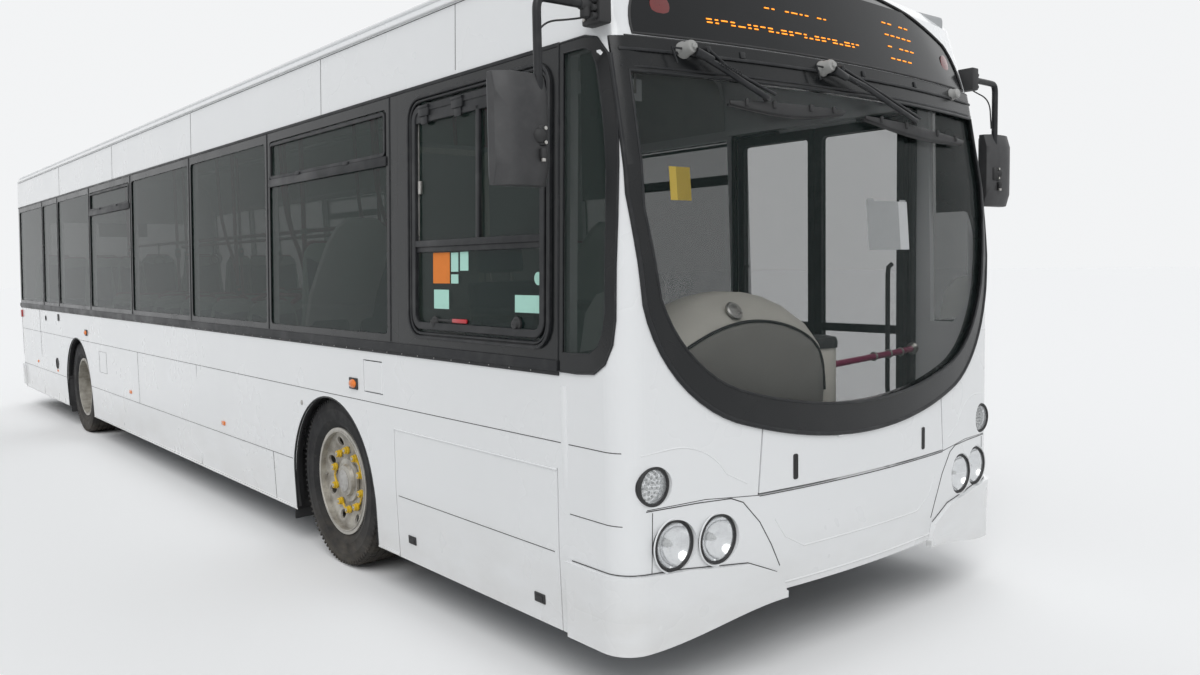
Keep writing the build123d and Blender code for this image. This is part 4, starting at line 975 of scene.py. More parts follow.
def light_studio():
    """An even sky, a soft key from ahead of the driver's side and a weaker fill."""
    world = bpy.data.worlds.new("studio")
    bpy.context.scene.world = world
    world.use_nodes = True
    tree = world.node_tree
    lit = tree.nodes["Background"]
    lit.inputs["Color"].default_value = (0.95, 0.975, 1.0, 1.0)
    lit.inputs["Strength"].default_value = 0.52
    seen = tree.nodes.new("ShaderNodeBackground")
    seen.inputs["Color"].default_value = (0.96, 0.97, 0.98, 1.0)
    seen.inputs["Strength"].default_value = 0.93
    mix = show_white(tree, lit, seen)
    tree.links.new(mix.outputs[0], tree.nodes["World Output"].inputs["Surface"])
    for name, direction, strength, spread in (("key", (-0.50, -0.55, 0.80), 1.35, 40.0),
                                              ("fill", (0.70, 0.45, 0.60), 0.45, 70.0)):
        start_clean()
        bpy.ops.object.light_add(type="SUN", location=(0.0, 0.0, 12.0))
        lamp = bpy.context.object
        lamp.name = name
        lamp.data.energy = strength
        lamp.data.angle = math.radians(spread)
        lamp.rotation_euler = Vector(direction).to_track_quat("Z", "Y").to_euler()


def place_camera():
    """The camera where the photograph was taken."""
    camera_data = bpy.data.cameras.new("camera")
    camera = bpy.data.objects.new("camera", camera_data)
    bpy.context.scene.collection.objects.link(camera)
    turn = Matrix((CAMERA_RIGHT, CAMERA_UP, CAMERA_BACK)).transposed().to_4x4()
    camera.matrix_world = Matrix.Translation(Vector(CAMERA_PLACE)) @ turn
    camera_data.sensor_width = SENSOR_MM
    camera_data.lens = FOCAL_SHARE * SENSOR_MM
    camera_data.clip_end = 500.0
    bpy.context.scene.camera = camera
    bpy.context.scene.view_settings.view_transform = "Standard"


class BUS_OT_stage(Operator):
    """Set up the floor, the light and the camera"""

    bl_idname = "bus.stage"
    bl_label = "Studio"

    def execute(self, context):
        lay_floor()
        light_studio()
        place_camera()
        return {"FINISHED"}


# Sides


def side_block(side, y0, y1, z0, z1, low, high, edge=0.002, segments=2):
    """A block that lies on the side of the body, from low to high out of it."""
    return to_side(add_block((y0, z0, low), (y1, z1, high), edge, segments), side)


def side_bead(side, points, radius, out=0.0):
    """A bead on the side of the body through (y, height) points."""
    places = []
    for (y0, z0), (y1, z1) in zip(points, points[1:]):
        steps = max(1, int(math.hypot(y1 - y0, z1 - z0) / 0.4))
        for step in range(steps):
            share = step / steps
            places.append(on_side(side, y0 + share * (y1 - y0), z0 + share * (z1 - z0), out))
    places.append(on_side(side, *points[-1], out))
    return add_bead(places, radius)


def side_dome(side, y, z, radius, height, steps=12):
    """A shallow round head on the side of the body."""
    head = add_turned([(radius, 0.0), (radius * 0.92, height * 0.45), (radius * 0.6, height * 0.85),
                       (radius * 0.12, height)], steps)
    return turned_to(head, on_side(side, y, z), (side, 0.0, 0.0))


class BUS_OT_window_band(Operator):
    """Black borders, seals and rails of the saloon windows"""

    bl_idname = "bus.window_band"
    bl_label = "Window band"

    def execute(self, context):
        borders = []
        seals = []
        rails = []
        rivets = []
        for side in (-1, 1):
            for index, (front, rear) in enumerate(SIDE_BAYS):
                outer_front = (-4.175 if side < 0 else -4.152) if index == 0 else front
                outer_rear = 5.868 if index == len(SIDE_BAYS) - 1 else rear
                outer = round_rect(outer_front, outer_rear, BAND_LOW_Z, BAND_TOP_Z, 0.004)
                inner = round_rect(front + 0.036, rear - 0.036, 1.326, 2.414, 0.030)
                borders.append(to_side(add_frame_between(outer, inner, -0.0058, 0.003), side))
                seals.append(side_bead(side, [(front, 1.292), (front, 2.464)], 0.005, 0.0025))
                if index in HOPPER_BAYS:
                    low = HOPPER_BAYS[index]
                    seals.append(side_block(side, front + 0.03, rear - 0.03, low - 0.006, low + 0.040,
                                            -0.0055, 0.010, 0.004))
                    seals.append(to_side(add_frame_ring(front + 0.045, rear - 0.045, low + 0.040, 2.405,
                                                        0.018, -0.0055, 0.007, 0.03), side))
                    for share in (0.3, 0.7):
                        catch_y = front + share * (rear - front)
                        seals.append(side_block(side, catch_y - 0.03, catch_y + 0.03, low + 0.036,
                                                low + 0.052, 0.0, 0.014, 0.003))
            front_end = -5.455 if side < 0 else -4.152
            rails.append(side_block(side, front_end, 5.872, 1.244, 1.288, -0.002, 0.013, 0.004))
            rails.append(side_block(side, front_end, 5.872, 1.228, 1.247, -0.002, 0.006, 0.003))
            rails.append(side_block(side, -5.455, 5.872, 2.466, 2.482, -0.002, 0.008, 0.003))
            for step in range(75):
                rivet_y = 5.82 - 0.152 * step
                if rivet_y > front_end + 0.05:
                    rivets.append(side_dome(side, rivet_y, 1.238, 0.0042, 0.009, 8))
        fit_out("window_borders", borders, "gloss_black")
        fit_out("window_seals", seals, "trim_black")
        fit_out("waist_rails", rails, "trim_black")
        fit_out("waist_rivets", rivets, "worn_steel")
        return {"FINISHED"}


class BUS_OT_panel_joints(Operator):
    """Joints, strips and edges of the side panels"""

    bl_idname = "bus.panel_joints"
    bl_label = "Panel joints"

    def execute(self, context):
        radius = sizes().seam_r
        joints = []
        strips = []
        for side in (-1, 1):
            first = -5.455 if side < 0 else -4.120
            joints.append(side_bead(side, [(first, 0.970), (5.86, 0.970)], radius))
            joints.append(side_bead(side, [(-2.80, 0.530), (2.27, 0.530)], radius))
            joints.append(side_bead(side, [(3.40, 0.530), (5.86, 0.530)], radius))
            for joint_y, low, high in ((-2.490, 0.235, 0.530), (-1.055, 0.235, 0.970), (0.520, 0.530, 0.970),
                                       (4.700, 0.235, 1.225)):
                joints.append(side_bead(side, [(joint_y, low), (joint_y, high)], radius))
            hatch = [(1.610, 0.700), (1.610, 0.900), (1.885, 0.900), (1.885, 0.700), (1.610, 0.700)]
            joints.append(side_bead(side, hatch, radius * 0.8))
            for height in (0.969, 0.701):
                corner = [(-5.505 - 0.020 * step, height) for step in range(15)]
                joints.append(side_bead(side, corner, radius))
            joints.append(side_bead(side, [(-5.456, 1.245), (-5.456, 2.46)], radius))
            joints.append(side_bead(side, [(5.858, 0.24), (5.858, 2.46)], radius))
            joints.append(side_bead(side, [(-4.700, 2.500), (-4.700, 2.780)], radius))
            joints.append(side_bead(side, [(-5.44, 2.782), (5.86, 2.782)], radius))
            for joint_y in (-3.30, -1.05, 1.20, 3.45):
                joints.append(side_bead(side, [(joint_y, 2.486), (joint_y, 2.778)], radius))
            strips.append(side_block(side, -5.494, -5.462, 0.255, 1.190, -0.001, 0.0045, 0.002))
            strips.append(side_block(side, -5.44, 5.85, 2.790, 2.800, -0.002, 0.016, 0.004))
            strips.append(side_block(side, first if side > 0 else -4.09, FRONT_AXLE_Y - 0.57, 0.224, 0.236,
                                     -0.002, 0.005, 0.002))
            strips.append(side_block(side, FRONT_AXLE_Y + 0.57, REAR_AXLE_Y - 0.60, 0.224, 0.236, -0.002,
                                     0.005, 0.002))
            strips.append(side_block(side, REAR_AXLE_Y + 0.60, 5.86, 0.224, 0.236, -0.002, 0.005, 0.002))
        joints.append(side_bead(-1, [(-5.40, 0.532), (-4.12, 0.532)], radius))
        fit_out("panel_joint_lines", joints, "soft_black")
        fit_out("panel_strips", strips, "coach_white")
        return {"FINISHED"}


# Where the mudflaps end at the side
FLAP_OUTER_X = 1.225


def arch_points(axle_y, radius, side, out=0.0):
    """Points along the edge of a wheel arch."""
    points = [on_side(side, axle_y - radius, 0.230, out)]
    for step in range(33):
        angle = math.pi * step / 32
        points.append(on_side(side, axle_y - radius * math.cos(angle), ARCH_Z + radius * math.sin(angle),
                              out))
    points.append(on_side(side, axle_y + radius, 0.230, out))
    return points


class BUS_OT_wheel_arches(Operator):
    """Rubber lips of the wheel arches, and mudflaps"""

    bl_idname = "bus.wheel_arches"
    bl_label = "Wheel arches"

    def execute(self, context):
        lips = []
        flaps = []
        for side in (-1, 1):
            for axle_y, radius in ((FRONT_AXLE_Y, FRONT_ARCH_R), (REAR_AXLE_Y, REAR_ARCH_R)):
                lips.append(add_bead(arch_points(axle_y, radius + 0.001, side, -0.003), 0.0055, sides=3))
            for axle_y, reach in ((FRONT_AXLE_Y, 0.592), (REAR_AXLE_Y, 0.552)):
                inner = 0.930 if axle_y < 0 else 0.640
                face = axle_y + reach
                flaps.append(cross_block(side, inner, FLAP_OUTER_X, (face, face + 0.008), (0.150, 0.560),
                                         0.003))
                for height in (0.20, 0.26, 0.32):
                    flaps.append(cross_block(side, inner + 0.03, FLAP_OUTER_X - 0.03,
                                             (face - 0.004, face + 0.004), (height, height + 0.012), 0.003))
                flaps.append(cross_block(side, inner, FLAP_OUTER_X, (face - 0.006, face + 0.018),
                                         (0.520, 0.555), 0.004))
        fit_out("arch_lips", lips, "trim_black")
        fit_out("mudflaps", flaps, "soft_black")
        return {"FINISHED"}


# Depths of the blank labels on the driver's window, out of the body
LABEL_LOW = -0.0059
LABEL_HIGH = -0.0045


class BUS_OT_driver_window(Operator):
    """Frames, sashes, hinges and blank notices of the driver's window"""

    bl_idname = "bus.driver_window"
    bl_label = "Driver's window"

    def execute(self, context):
        black = []
        rubber = []
        outer = round_rect(-5.452, -4.175, BAND_LOW_Z, BAND_TOP_Z, 0.004)
        inner = round_rect(-5.392, -4.306, 1.340, 2.410, 0.085)
        black.append(to_side(add_frame_between(outer, inner, -0.0058, 0.004), -1))
        for u0, u1, v0, v1, width, high, corner in (
                (-5.412, -4.288, 1.322, 2.430, 0.014, 0.018, 0.105),
                (-5.394, -4.306, 1.340, 2.412, 0.012, 0.012, 0.090),
                (-5.372, -4.330, 1.366, 2.386, 0.032, 0.014, 0.070)):
            rubber.append(to_side(add_frame_ring(u0, u1, v0, v1, width, -0.0055, high, corner, 0.003), -1))
        rubber.append(side_block(-1, -5.345, -4.355, 1.742, 1.772, -0.0055, 0.013, 0.004))
        rubber.append(side_block(-1, -5.345, -4.355, 1.718, 1.744, -0.0055, 0.006, 0.003))
        rubber.append(side_block(-1, -4.902, -4.876, 1.77, 2.325, -0.0055, 0.010, 0.003))
        rubber.append(side_block(-1, -5.345, -4.355, 2.306, 2.362, -0.0055, 0.010, 0.003))
        for hinge_y in (-4.450, -4.740, -5.060):
            rubber.append(side_block(-1, hinge_y - 0.045, hinge_y + 0.045, 2.332, 2.374, 0.008, 0.022, 0.005))
            rubber.append(side_block(-1, hinge_y - 0.028, hinge_y + 0.028, 2.296, 2.338, 0.008, 0.016, 0.004))
            rubber.append(add_rod(on_side(-1, hinge_y - 0.045, 2.374, 0.018),
                                  on_side(-1, hinge_y + 0.045, 2.374, 0.018), 0.008, sides=12, edge=0.002))
        fit_out("driver_window_border", black, "gloss_black")
        fit_out("driver_window_frames", rubber, "trim_black")
        glass_edges = [
            side_block(-1, -4.880, -4.868, 1.772, 2.306, -0.0058, -0.002, 0.001),
            side_block(-1, -4.372, -4.362, 1.772, 2.306, -0.0058, -0.002, 0.001),
        ]
        catch = side_block(-1, -4.400, -4.378, 1.985, 2.045, -0.0058, 0.008, 0.003)
        fit_out("driver_window_edges", glass_edges + [catch], "worn_steel")
        knobs = []
        for knob_y, knob_z in ((-4.520, 1.398), (-5.170, 1.415)):
            knob = add_turned([(0.030, -0.006), (0.030, 0.003), (0.022, 0.007), (0.018, 0.016),
                               (0.010, 0.019), (0.002, 0.020)], 28)
            knobs.append(turned_to(knob, on_side(-1, knob_y, knob_z), (-1.0, 0.0, 0.0)))
            for turn in range(4):
                angle = math.radians(45 + 90 * turn)
                place = on_side(-1, knob_y + 0.021 * math.cos(angle), knob_z + 0.021 * math.sin(angle), 0.004)
                knobs.append(turned_to(add_turned([(0.0035, 0.0), (0.0035, 0.003), (0.001, 0.004)], 8), place,
                                       (-1.0, 0.0, 0.0)))
        knobs.append(side_block(-1, -4.680, -4.545, 1.405, 1.417, -0.0058, 0.002, 0.003))
        fit_out("driver_window_knobs", knobs, "soft_black")
        handle = side_block(-1, -4.790, -4.670, 1.402, 1.421, -0.0058, 0.004, 0.004)
        fit_out("window_release_handle", [handle], "handle_red")
        green = [
            side_block(-1, -4.712, -4.652, 1.628, 1.712, LABEL_LOW, LABEL_HIGH, 0.0),
            side_block(-1, -4.795, -4.728, 1.632, 1.714, LABEL_LOW, LABEL_HIGH, 0.0),
            side_block(-1, -4.712, -4.652, 1.576, 1.616, LABEL_LOW, LABEL_HIGH, 0.0),
            side_block(-1, -4.632, -4.502, 1.462, 1.548, LABEL_LOW, LABEL_HIGH, 0.0),
            side_block(-1, -5.336, -5.150, 1.462, 1.532, LABEL_LOW, LABEL_HIGH, 0.0),
        ]
        green.append(turned_to(add_turned([(0.026, -0.0058), (0.026, LABEL_HIGH), (0.001, LABEL_HIGH)], 24),
                               on_side(-1, -5.310, 1.598), (-1.0, 0.0, 0.0)))
        fit_out("blank_glass_labels", green, "notice_green")
        orange = side_block(-1, -4.640, -4.495, 1.576, 1.714, LABEL_LOW, LABEL_HIGH, 0.0)
        fit_out("blank_orange_label", [orange], "notice_orange")
        return {"FINISHED"}


# Inner and outer edge of the frames of the quarter windows beside the screen: along the bus, height
QUARTER_SIGHT = [
    (-5.478, 1.318), (-5.560, 1.318), (-5.640, 1.322), (-5.690, 1.352), (-5.718, 1.410), (-5.728, 1.480),
    (-5.728, 1.640), (-5.728, 1.820), (-5.726, 2.000), (-5.710, 2.140), (-5.690, 2.260), (-5.668, 2.360),
    (-5.640, 2.420), (-5.600, 2.436), (-5.540, 2.436), (-5.478, 2.436), (-5.478, 2.200), (-5.478, 1.900),
    (-5.478, 1.600),
]
QUARTER_FRAME = [
    (-5.452, 1.246), (-5.570, 1.246), (-5.670, 1.252), (-5.730, 1.290), (-5.762, 1.360), (-5.772, 1.450),
    (-5.772, 1.640), (-5.772, 1.820), (-5.768, 2.010), (-5.752, 2.160), (-5.732, 2.290), (-5.706, 2.400),
    (-5.664, 2.462), (-5.606, 2.476), (-5.540, 2.476), (-5.452, 2.476), (-5.452, 2.200), (-5.452, 1.900),
    (-5.452, 1.600),
]


class BUS_OT_quarter_windows(Operator):
    """Black frames of the quarter windows beside the screen"""

    bl_idname = "bus.quarter_windows"
    bl_label = "Quarter windows"

    def execute(self, context):
        frames = []
        edges = []
        corners = []
        for side in (-1, 1):
            frames.append(to_side(add_frame_between(QUARTER_FRAME, QUARTER_SIGHT, -0.0056, 0.004, 0.0), side))
            edges.append(add_bead([on_side(side, y, z, 0.004) for y, z in QUARTER_FRAME], 0.0045,
                                  closed=True))
            edges.append(add_bead([on_side(side, y, z, 0.002) for y, z in QUARTER_SIGHT], 0.003, closed=True))
            panel = add_panel([(-5.545, 1.322, -0.030), (-5.700, 1.350, -0.030), (-5.722, 1.560, -0.030),
                               (-5.640, 1.540, -0.030), (-5.575, 1.470, -0.030)], 0.004)
            corners.append(to_side(panel, side))
        fit_out("quarter_window_frames", frames, "gloss_black")
        fit_out("quarter_window_edges", edges, "trim_black")
        # The corner linings take the lightened copy of the lining colour: painted light
        fit_out("quarter_corner_linings", corners, "lining_painted_light")
        return {"FINISHED"}


class BUS_OT_side_fittings(Operator):
    """Repeaters, ports, latches and markers along the sides"""

    bl_idname = "bus.side_fittings"
    bl_label = "Side fittings"

    def execute(self, context):
        amber = []
        bases = []
        rings = []
        steel = []
        reds = []
        for side in (-1, 1):
            for lamp_y, lamp_z in ((-3.665, 1.050), (2.371, 1.056)):
                bases.append(side_block(side, lamp_y - 0.048, lamp_y + 0.048, lamp_z - 0.030, lamp_z + 0.030,
                                        -0.001, 0.007, 0.003))
                lens = add_turned([(0.026, 0.0), (0.026, 0.010), (0.020, 0.018), (0.010, 0.022),
                                   (0.002, 0.023)], 24)
                lens.data.transform(Matrix.Diagonal((1.45, 0.9, 1.0, 1.0)))
                amber.append(to_side(shift(lens, (lamp_y, lamp_z, 0.0)), side))
            for marker_y in (-1.60, 0.80, 4.95):
                amber.append(side_block(side, marker_y - 0.030, marker_y + 0.030, 0.590, 0.618,
                                        -0.001, 0.008, 0.003))
            reds.append(side_block(side, 5.790, 5.855, 1.110, 1.200, -0.001, 0.016, 0.006))
        rings.append(turned_to(add_turned([(0.062, 0.0), (0.062, 0.006), (0.050, 0.008), (0.050, 0.001),
                                           (0.002, 0.001)], 36), on_side(-1, 3.844, 0.652), (-1.0, 0.0, 0.0)))
        rings.append(turned_to(add_turned([(0.030, 0.0), (0.030, 0.005), (0.022, 0.006), (0.022, 0.001),
                                           (0.002, 0.001)], 28), on_side(-1, 4.348, 1.140), (-1.0, 0.0, 0.0)))
        rings.append(side_block(-1, 3.615, 3.690, 1.130, 1.205, -0.001, 0.006, 0.003))
        for latch_y, latch_z in ((-4.235, 0.332), (-5.285, 0.316)):
            latch = add_block((-0.036, -0.020, -0.001), (0.036, 0.020, 0.005), 0.004)
            pull = add_block((-0.024, -0.011, 0.003), (0.024, 0.011, 0.009), 0.003)
            for part in (latch, pull):
                rings.append(to_side(shift(part, (latch_y, latch_z, 0.0)), -1))
        spot = add_turned([(0.014, 0.0), (0.014, 0.003), (0.009, 0.005), (0.002, 0.0055)], 20)
        steel.append(turned_to(spot, on_side(-1, -2.968, 0.881), (-1.0, 0.0, 0.0)))
        amber.append(side_block(-1, 3.815, 3.873, 0.560, 0.580, -0.001, 0.006, 0.002))
        fit_out("service_flap_latches", rings[3:], "soft_black", "service_lid")
        fit_out("side_ports", rings[:3], "soft_black")
        fit_out("side_lamp_bases", bases, "soft_black")
        fit_out("side_repeaters", amber, "amber_lens")
        fit_out("rear_corner_markers", reds, "red_lens")
        fit_out("side_spot", steel, "worn_steel")
        return {"FINISHED"}


# Wheels

# One side of the tyre: radius, half width
TYRE_SECTION = [
    (0.2866, 0.098), (0.2990, 0.108), (0.3080, 0.112), (0.3200, 0.122), (0.3400, 0.131), (0.3440, 0.1335),
    (0.3470, 0.1335), (0.3500, 0.1325), (0.3800, 0.1372), (0.4000, 0.1374), (0.4030, 0.1385),
    (0.4060, 0.1385), (0.4090, 0.1370), (0.4300, 0.1350), (0.4460, 0.1310), (0.4560, 0.1240),
]
TREAD_HALF = 0.1100
GROOVE_HALF = 0.0045
GROOVES = (-0.066, -0.022, 0.022, 0.066)
TREAD_R = 0.4690


def tread_rows():
    """Section of the whole tyre from its inner bead to its outer bead, with round grooves in the tread."""
    depth = sizes().tread_depth
    rows = [(radius, -half) for radius, half in TYRE_SECTION]
    rows.append((TREAD_R - 0.003, -TREAD_HALF))
    for groove in GROOVES:
        rows.extend([(TREAD_R, groove - GROOVE_HALF), (TREAD_R - depth, groove - GROOVE_HALF * 0.6),
                     (TREAD_R - depth, groove + GROOVE_HALF * 0.6), (TREAD_R, groove + GROOVE_HALF)])
    rows.append((TREAD_R - 0.003, TREAD_HALF))
    rows.extend([(radius, half) for radius, half in reversed(TYRE_SECTION)])
    return rows


def build_tyre():
    """A worn road tyre about Z: grooved tread, cut shoulders, ribbed sidewalls and a closed bore."""
    count = sizes().tyre_steps
    tyre = pick(add_turned(tread_rows(), count))
    bpy.ops.object.mode_set(mode="EDIT")
    bpy.ops.mesh.select_all(action="DESELECT")
    bpy.ops.mesh.select_mode(type="EDGE")
    bpy.ops.mesh.select_non_manifold()
    bpy.ops.mesh.bridge_edge_loops()
    bpy.ops.mesh.select_mode(type="VERT")
    bpy.ops.object.mode_set(mode="OBJECT")
    pieces = [outwards(tyre)]
    block = add_block((TREAD_R - 0.007, -0.0105, 0.070), (TREAD_R + 0.0006, 0.0105, 0.109), 0.0015, 1)
    small = add_block((TREAD_R - 0.006, -0.0118, 0.0265), (TREAD_R + 0.0006, 0.0118, 0.0615), 0.0015, 1)
    centre = add_block((TREAD_R - 0.006, -0.0122, -0.0175), (TREAD_R + 0.0006, 0.0122, 0.0175), 0.0015, 1)
    blocks = [block, small, centre]
    for part in (block, small):
        blocks.append(copy_of(part, turn=Matrix.Diagonal((1.0, 1.0, -1.0, 1.0))))
        outwards(blocks[-1])
    for part in blocks:
        for index in range(count):
            turn = Matrix.Rotation(2 * math.pi * index / count, 4, "Z")
            pieces.append(copy_of(part, turn=turn))
        bpy.data.objects.remove(part)
    shoulder = add_block((0.438, -0.006, 0.122), (0.460, 0.006, 0.1345), 0.002, 1)
    for side in (1.0, -1.0):
        for index in range(count):
            turn = Matrix.Rotation(2 * math.pi * (index + 0.5) / count, 4, "Z")
            mirror = Matrix.Diagonal((1.0, 1.0, side, 1.0))
            pieces.append(copy_of(shoulder, turn=turn @ mirror))
    bpy.data.objects.remove(shoulder)
    tyre = joined(pieces)
    return outwards(tyre)


def at_wheel(piece, side, axle_y, along=0.0):
    """Put a piece made about Z, outer face up, on a wheel."""
    turn = Matrix.Rotation(math.radians(side * 90.0), 4, "Y")
    place = Matrix.Translation((side * (WHEEL_X + along), axle_y, WHEEL_Z))
    piece.data.transform(place @ turn)
    return piece


WHEELS = [
    ("off_front", -1, FRONT_AXLE_Y, "off_front_wheel", False),
    ("near_front", 1, FRONT_AXLE_Y, "near_front_wheel", False),
    ("off_rear", -1, REAR_AXLE_Y, "off_rear_wheels", True),
    ("near_rear", 1, REAR_AXLE_Y, "near_rear_wheels", True),
]


class BUS_OT_tyres(Operator):
    """Road tyres with grooved treads"""

    bl_idname = "bus.tyres"
    bl_label = "Tyres"

    def execute(self, context):
        pattern = build_tyre()
        for name, side, axle_y, body, twin in WHEELS:
            tyres = [at_wheel(copy_of(pattern), side, axle_y)]
            node = name + "_tyre"
            if twin:
                tyres.append(at_wheel(copy_of(pattern), side, axle_y, -TWIN_PITCH))
                node = name + "_tyres"
            fit_out(name + "_road_tyre", tyres, "tyre_rubber", body, [node], 40.0)
        bpy.data.objects.remove(pattern)
        return {"FINISHED"}


NUT_CIRCLE_R = 0.1675


def nut_place(index, radius=NUT_CIRCLE_R):
    """Angle of a wheel nut, and its place across the wheel."""
    angle = 2 * math.pi * index / sizes().nut_count
    return angle, radius * math.cos(angle), radius * math.sin(angle)


def wheel_nuts(face, high):
    """Collars under the nuts and studs through them, on the nut circle."""
    top = face + high
    collar = add_turned([(0.0215, face), (0.0215, face + 0.004), (0.018, face + 0.007),
                         (0.002, face + 0.007)], 20)
    stud = add_turned([(0.0100, top), (0.0100, top + 0.008), (0.0085, top + 0.010), (0.001, top + 0.010)], 16)
    pieces = []
    for index in range(sizes().nut_count):
        _, x, y = nut_place(index)
        pieces.extend([copy_of(collar, (x, y, 0.0)), copy_of(stud, (x, y, 0.0))])
    bpy.data.objects.remove(collar)
    bpy.data.objects.remove(stud)
    return pieces


def nut_pointers(face):
    """Linked pointers: a ring on each nut, a tooth along the circle and a link to its neighbour."""
    cap = add_turned([(0.0225, face), (0.0225, face + 0.010), (0.0195, face + 0.012), (0.0185, face + 0.024),
                      (0.0165, face + 0.026), (0.0120, face + 0.026), (0.0110, face + 0.022)], 18)
    pieces = []
    count = sizes().nut_count
    for index in range(count):
        angle, x, y = nut_place(index)
        pieces.append(copy_of(cap, (x, y, 0.0)))
        turn = angle + (math.pi / 2 if index % 2 == 0 else -math.pi / 2)
        tooth = add_panel([(0.0, -0.0115, face), (0.044, 0.0, face), (0.0, 0.0115, face)], 0.007, 0.001)
        tooth.data.transform(Matrix.Translation((x, y, 0.0)) @ Matrix.Rotation(turn, 4, "Z")
                             @ Matrix.Translation((0.018, 0.0, 0.0)))
        pieces.append(tooth)
        if index % 2 == 0:
            reach = 2 * math.pi / count
            points = []
            for step in range(7):
                along = angle + reach * (0.16 + 0.68 * step / 6)
                radius = NUT_CIRCLE_R + 0.010 * math.sin(math.pi * step / 6)
                points.append((radius * math.cos(along), radius * math.sin(along), face + 0.005))
            pieces.append(add_bead(points, 0.004))
    bpy.data.objects.remove(cap)
    return pieces


def add_valve(x, y, z0, z1):
    """A tyre valve with its cap."""
    stem = add_rod((x, y, z0), (x * 0.97, y * 0.97, z1), 0.0045, sides=12)
    cap = add_rod((x * 0.97, y * 0.97, z1 - 0.014), (x * 0.967, y * 0.967, z1 + 0.004), 0.0065, sides=12,
                  edge=0.001)
    return [stem, cap]


class BUS_OT_wheel_fittings(Operator):
    """Nut collars, studs, hub caps with their bolts, valves, rim beads and nut pointers"""

    bl_idname = "bus.wheel_fittings"
    bl_label = "Wheel fittings"

    def execute(self, context):
        for name, side, axle_y, body, twin in WHEELS:
            face = -0.131 if twin else 0.066
            steel = wheel_nuts(face, 0.026)
            hub_z = -0.0105 if twin else 0.1035
            steel.append(add_turned([(0.060, hub_z), (0.060, hub_z + 0.003), (0.052, hub_z + 0.006),
                                     (0.030, hub_z + 0.0075), (0.002, hub_z + 0.008)], 40))
            bolt = add_turned([(0.0075, 0.0), (0.0075, 0.006), (0.0065, 0.0075), (0.001, 0.0075)], 6)
            radius = 0.078 if twin else 0.072
            bolt_z = hub_z - 0.011 if twin else hub_z - 0.0095
            for index in range(6):
                angle = 2 * math.pi * index / 6
                steel.append(copy_of(bolt, (radius * math.cos(angle), radius * math.sin(angle), bolt_z)))
            bpy.data.objects.remove(bolt)
            if twin:
                steel.extend(add_valve(0.0, 0.238, -0.085, -0.020))
                steel.extend(add_valve(0.0, -0.238, -0.090, -0.020))
            else:
                steel.extend(add_valve(0.0, 0.262, 0.074, 0.094))
            pieces = [at_wheel(piece, side, axle_y) for piece in steel]
            fit_out(name + "_wheel_nuts", pieces, "worn_steel", body)
            rings = []
            for radius, height in ((0.2765, 0.1185), (0.2600, -0.0920 if twin else 0.0800)):
                ring = add_torus((0.0, 0.0, height), (0.0, 0.0, 0.0), radius, 0.004, 64, 8)
                rings.append(at_wheel(ring, side, axle_y))
            fit_out(name + "_rim_beads", rings, "rim_cream", body)
            pointers = [at_wheel(piece, side, axle_y) for piece in nut_pointers(face + 0.007)]
            fit_out(name + "_nut_pointers", pointers, "pointer_yellow", body)
        return {"FINISHED"}


# Mirrors and wipers

# The middle of a mirror, and the outer end and level of its arm
MIRROR_X = 1.550
MIRROR_Y = -5.670
MIRROR_Z = 2.110
ARM_X = 1.490
ARM_Y = -5.690
ARM_Z = 2.560


def mirror_head():
    """Mirror housing with a rounded back, about its middle, the side that takes the glass towards +Y."""
    start_clean()
    bpy.ops.mesh.primitive_cube_add(size=1.0)
    shell = bpy.context.object
    shell.scale = (0.218, 0.084, 0.378)
    settle(shell)
    bpy.ops.object.mode_set(mode="EDIT")
    bpy.ops.mesh.select_all(action="SELECT")
    bpy.ops.mesh.subdivide(number_cuts=5)
    bpy.ops.object.mode_set(mode="OBJECT")
    for vertex in shell.data.vertices:
        across = vertex.co.x / 0.109
        up = vertex.co.z / 0.189
        round_off = max(0.0, abs(across) - 0.45) ** 2 + max(0.0, abs(up) - 0.6) ** 2
        if vertex.co.y < 0.03:
            vertex.co.y = vertex.co.y + 0.055 * round_off * (0.042 - vertex.co.y) / 0.084 * 2.2
    shell.data.update()
    round_edges(shell, 0.018, 4, 50.0)
    return outwards(shell)


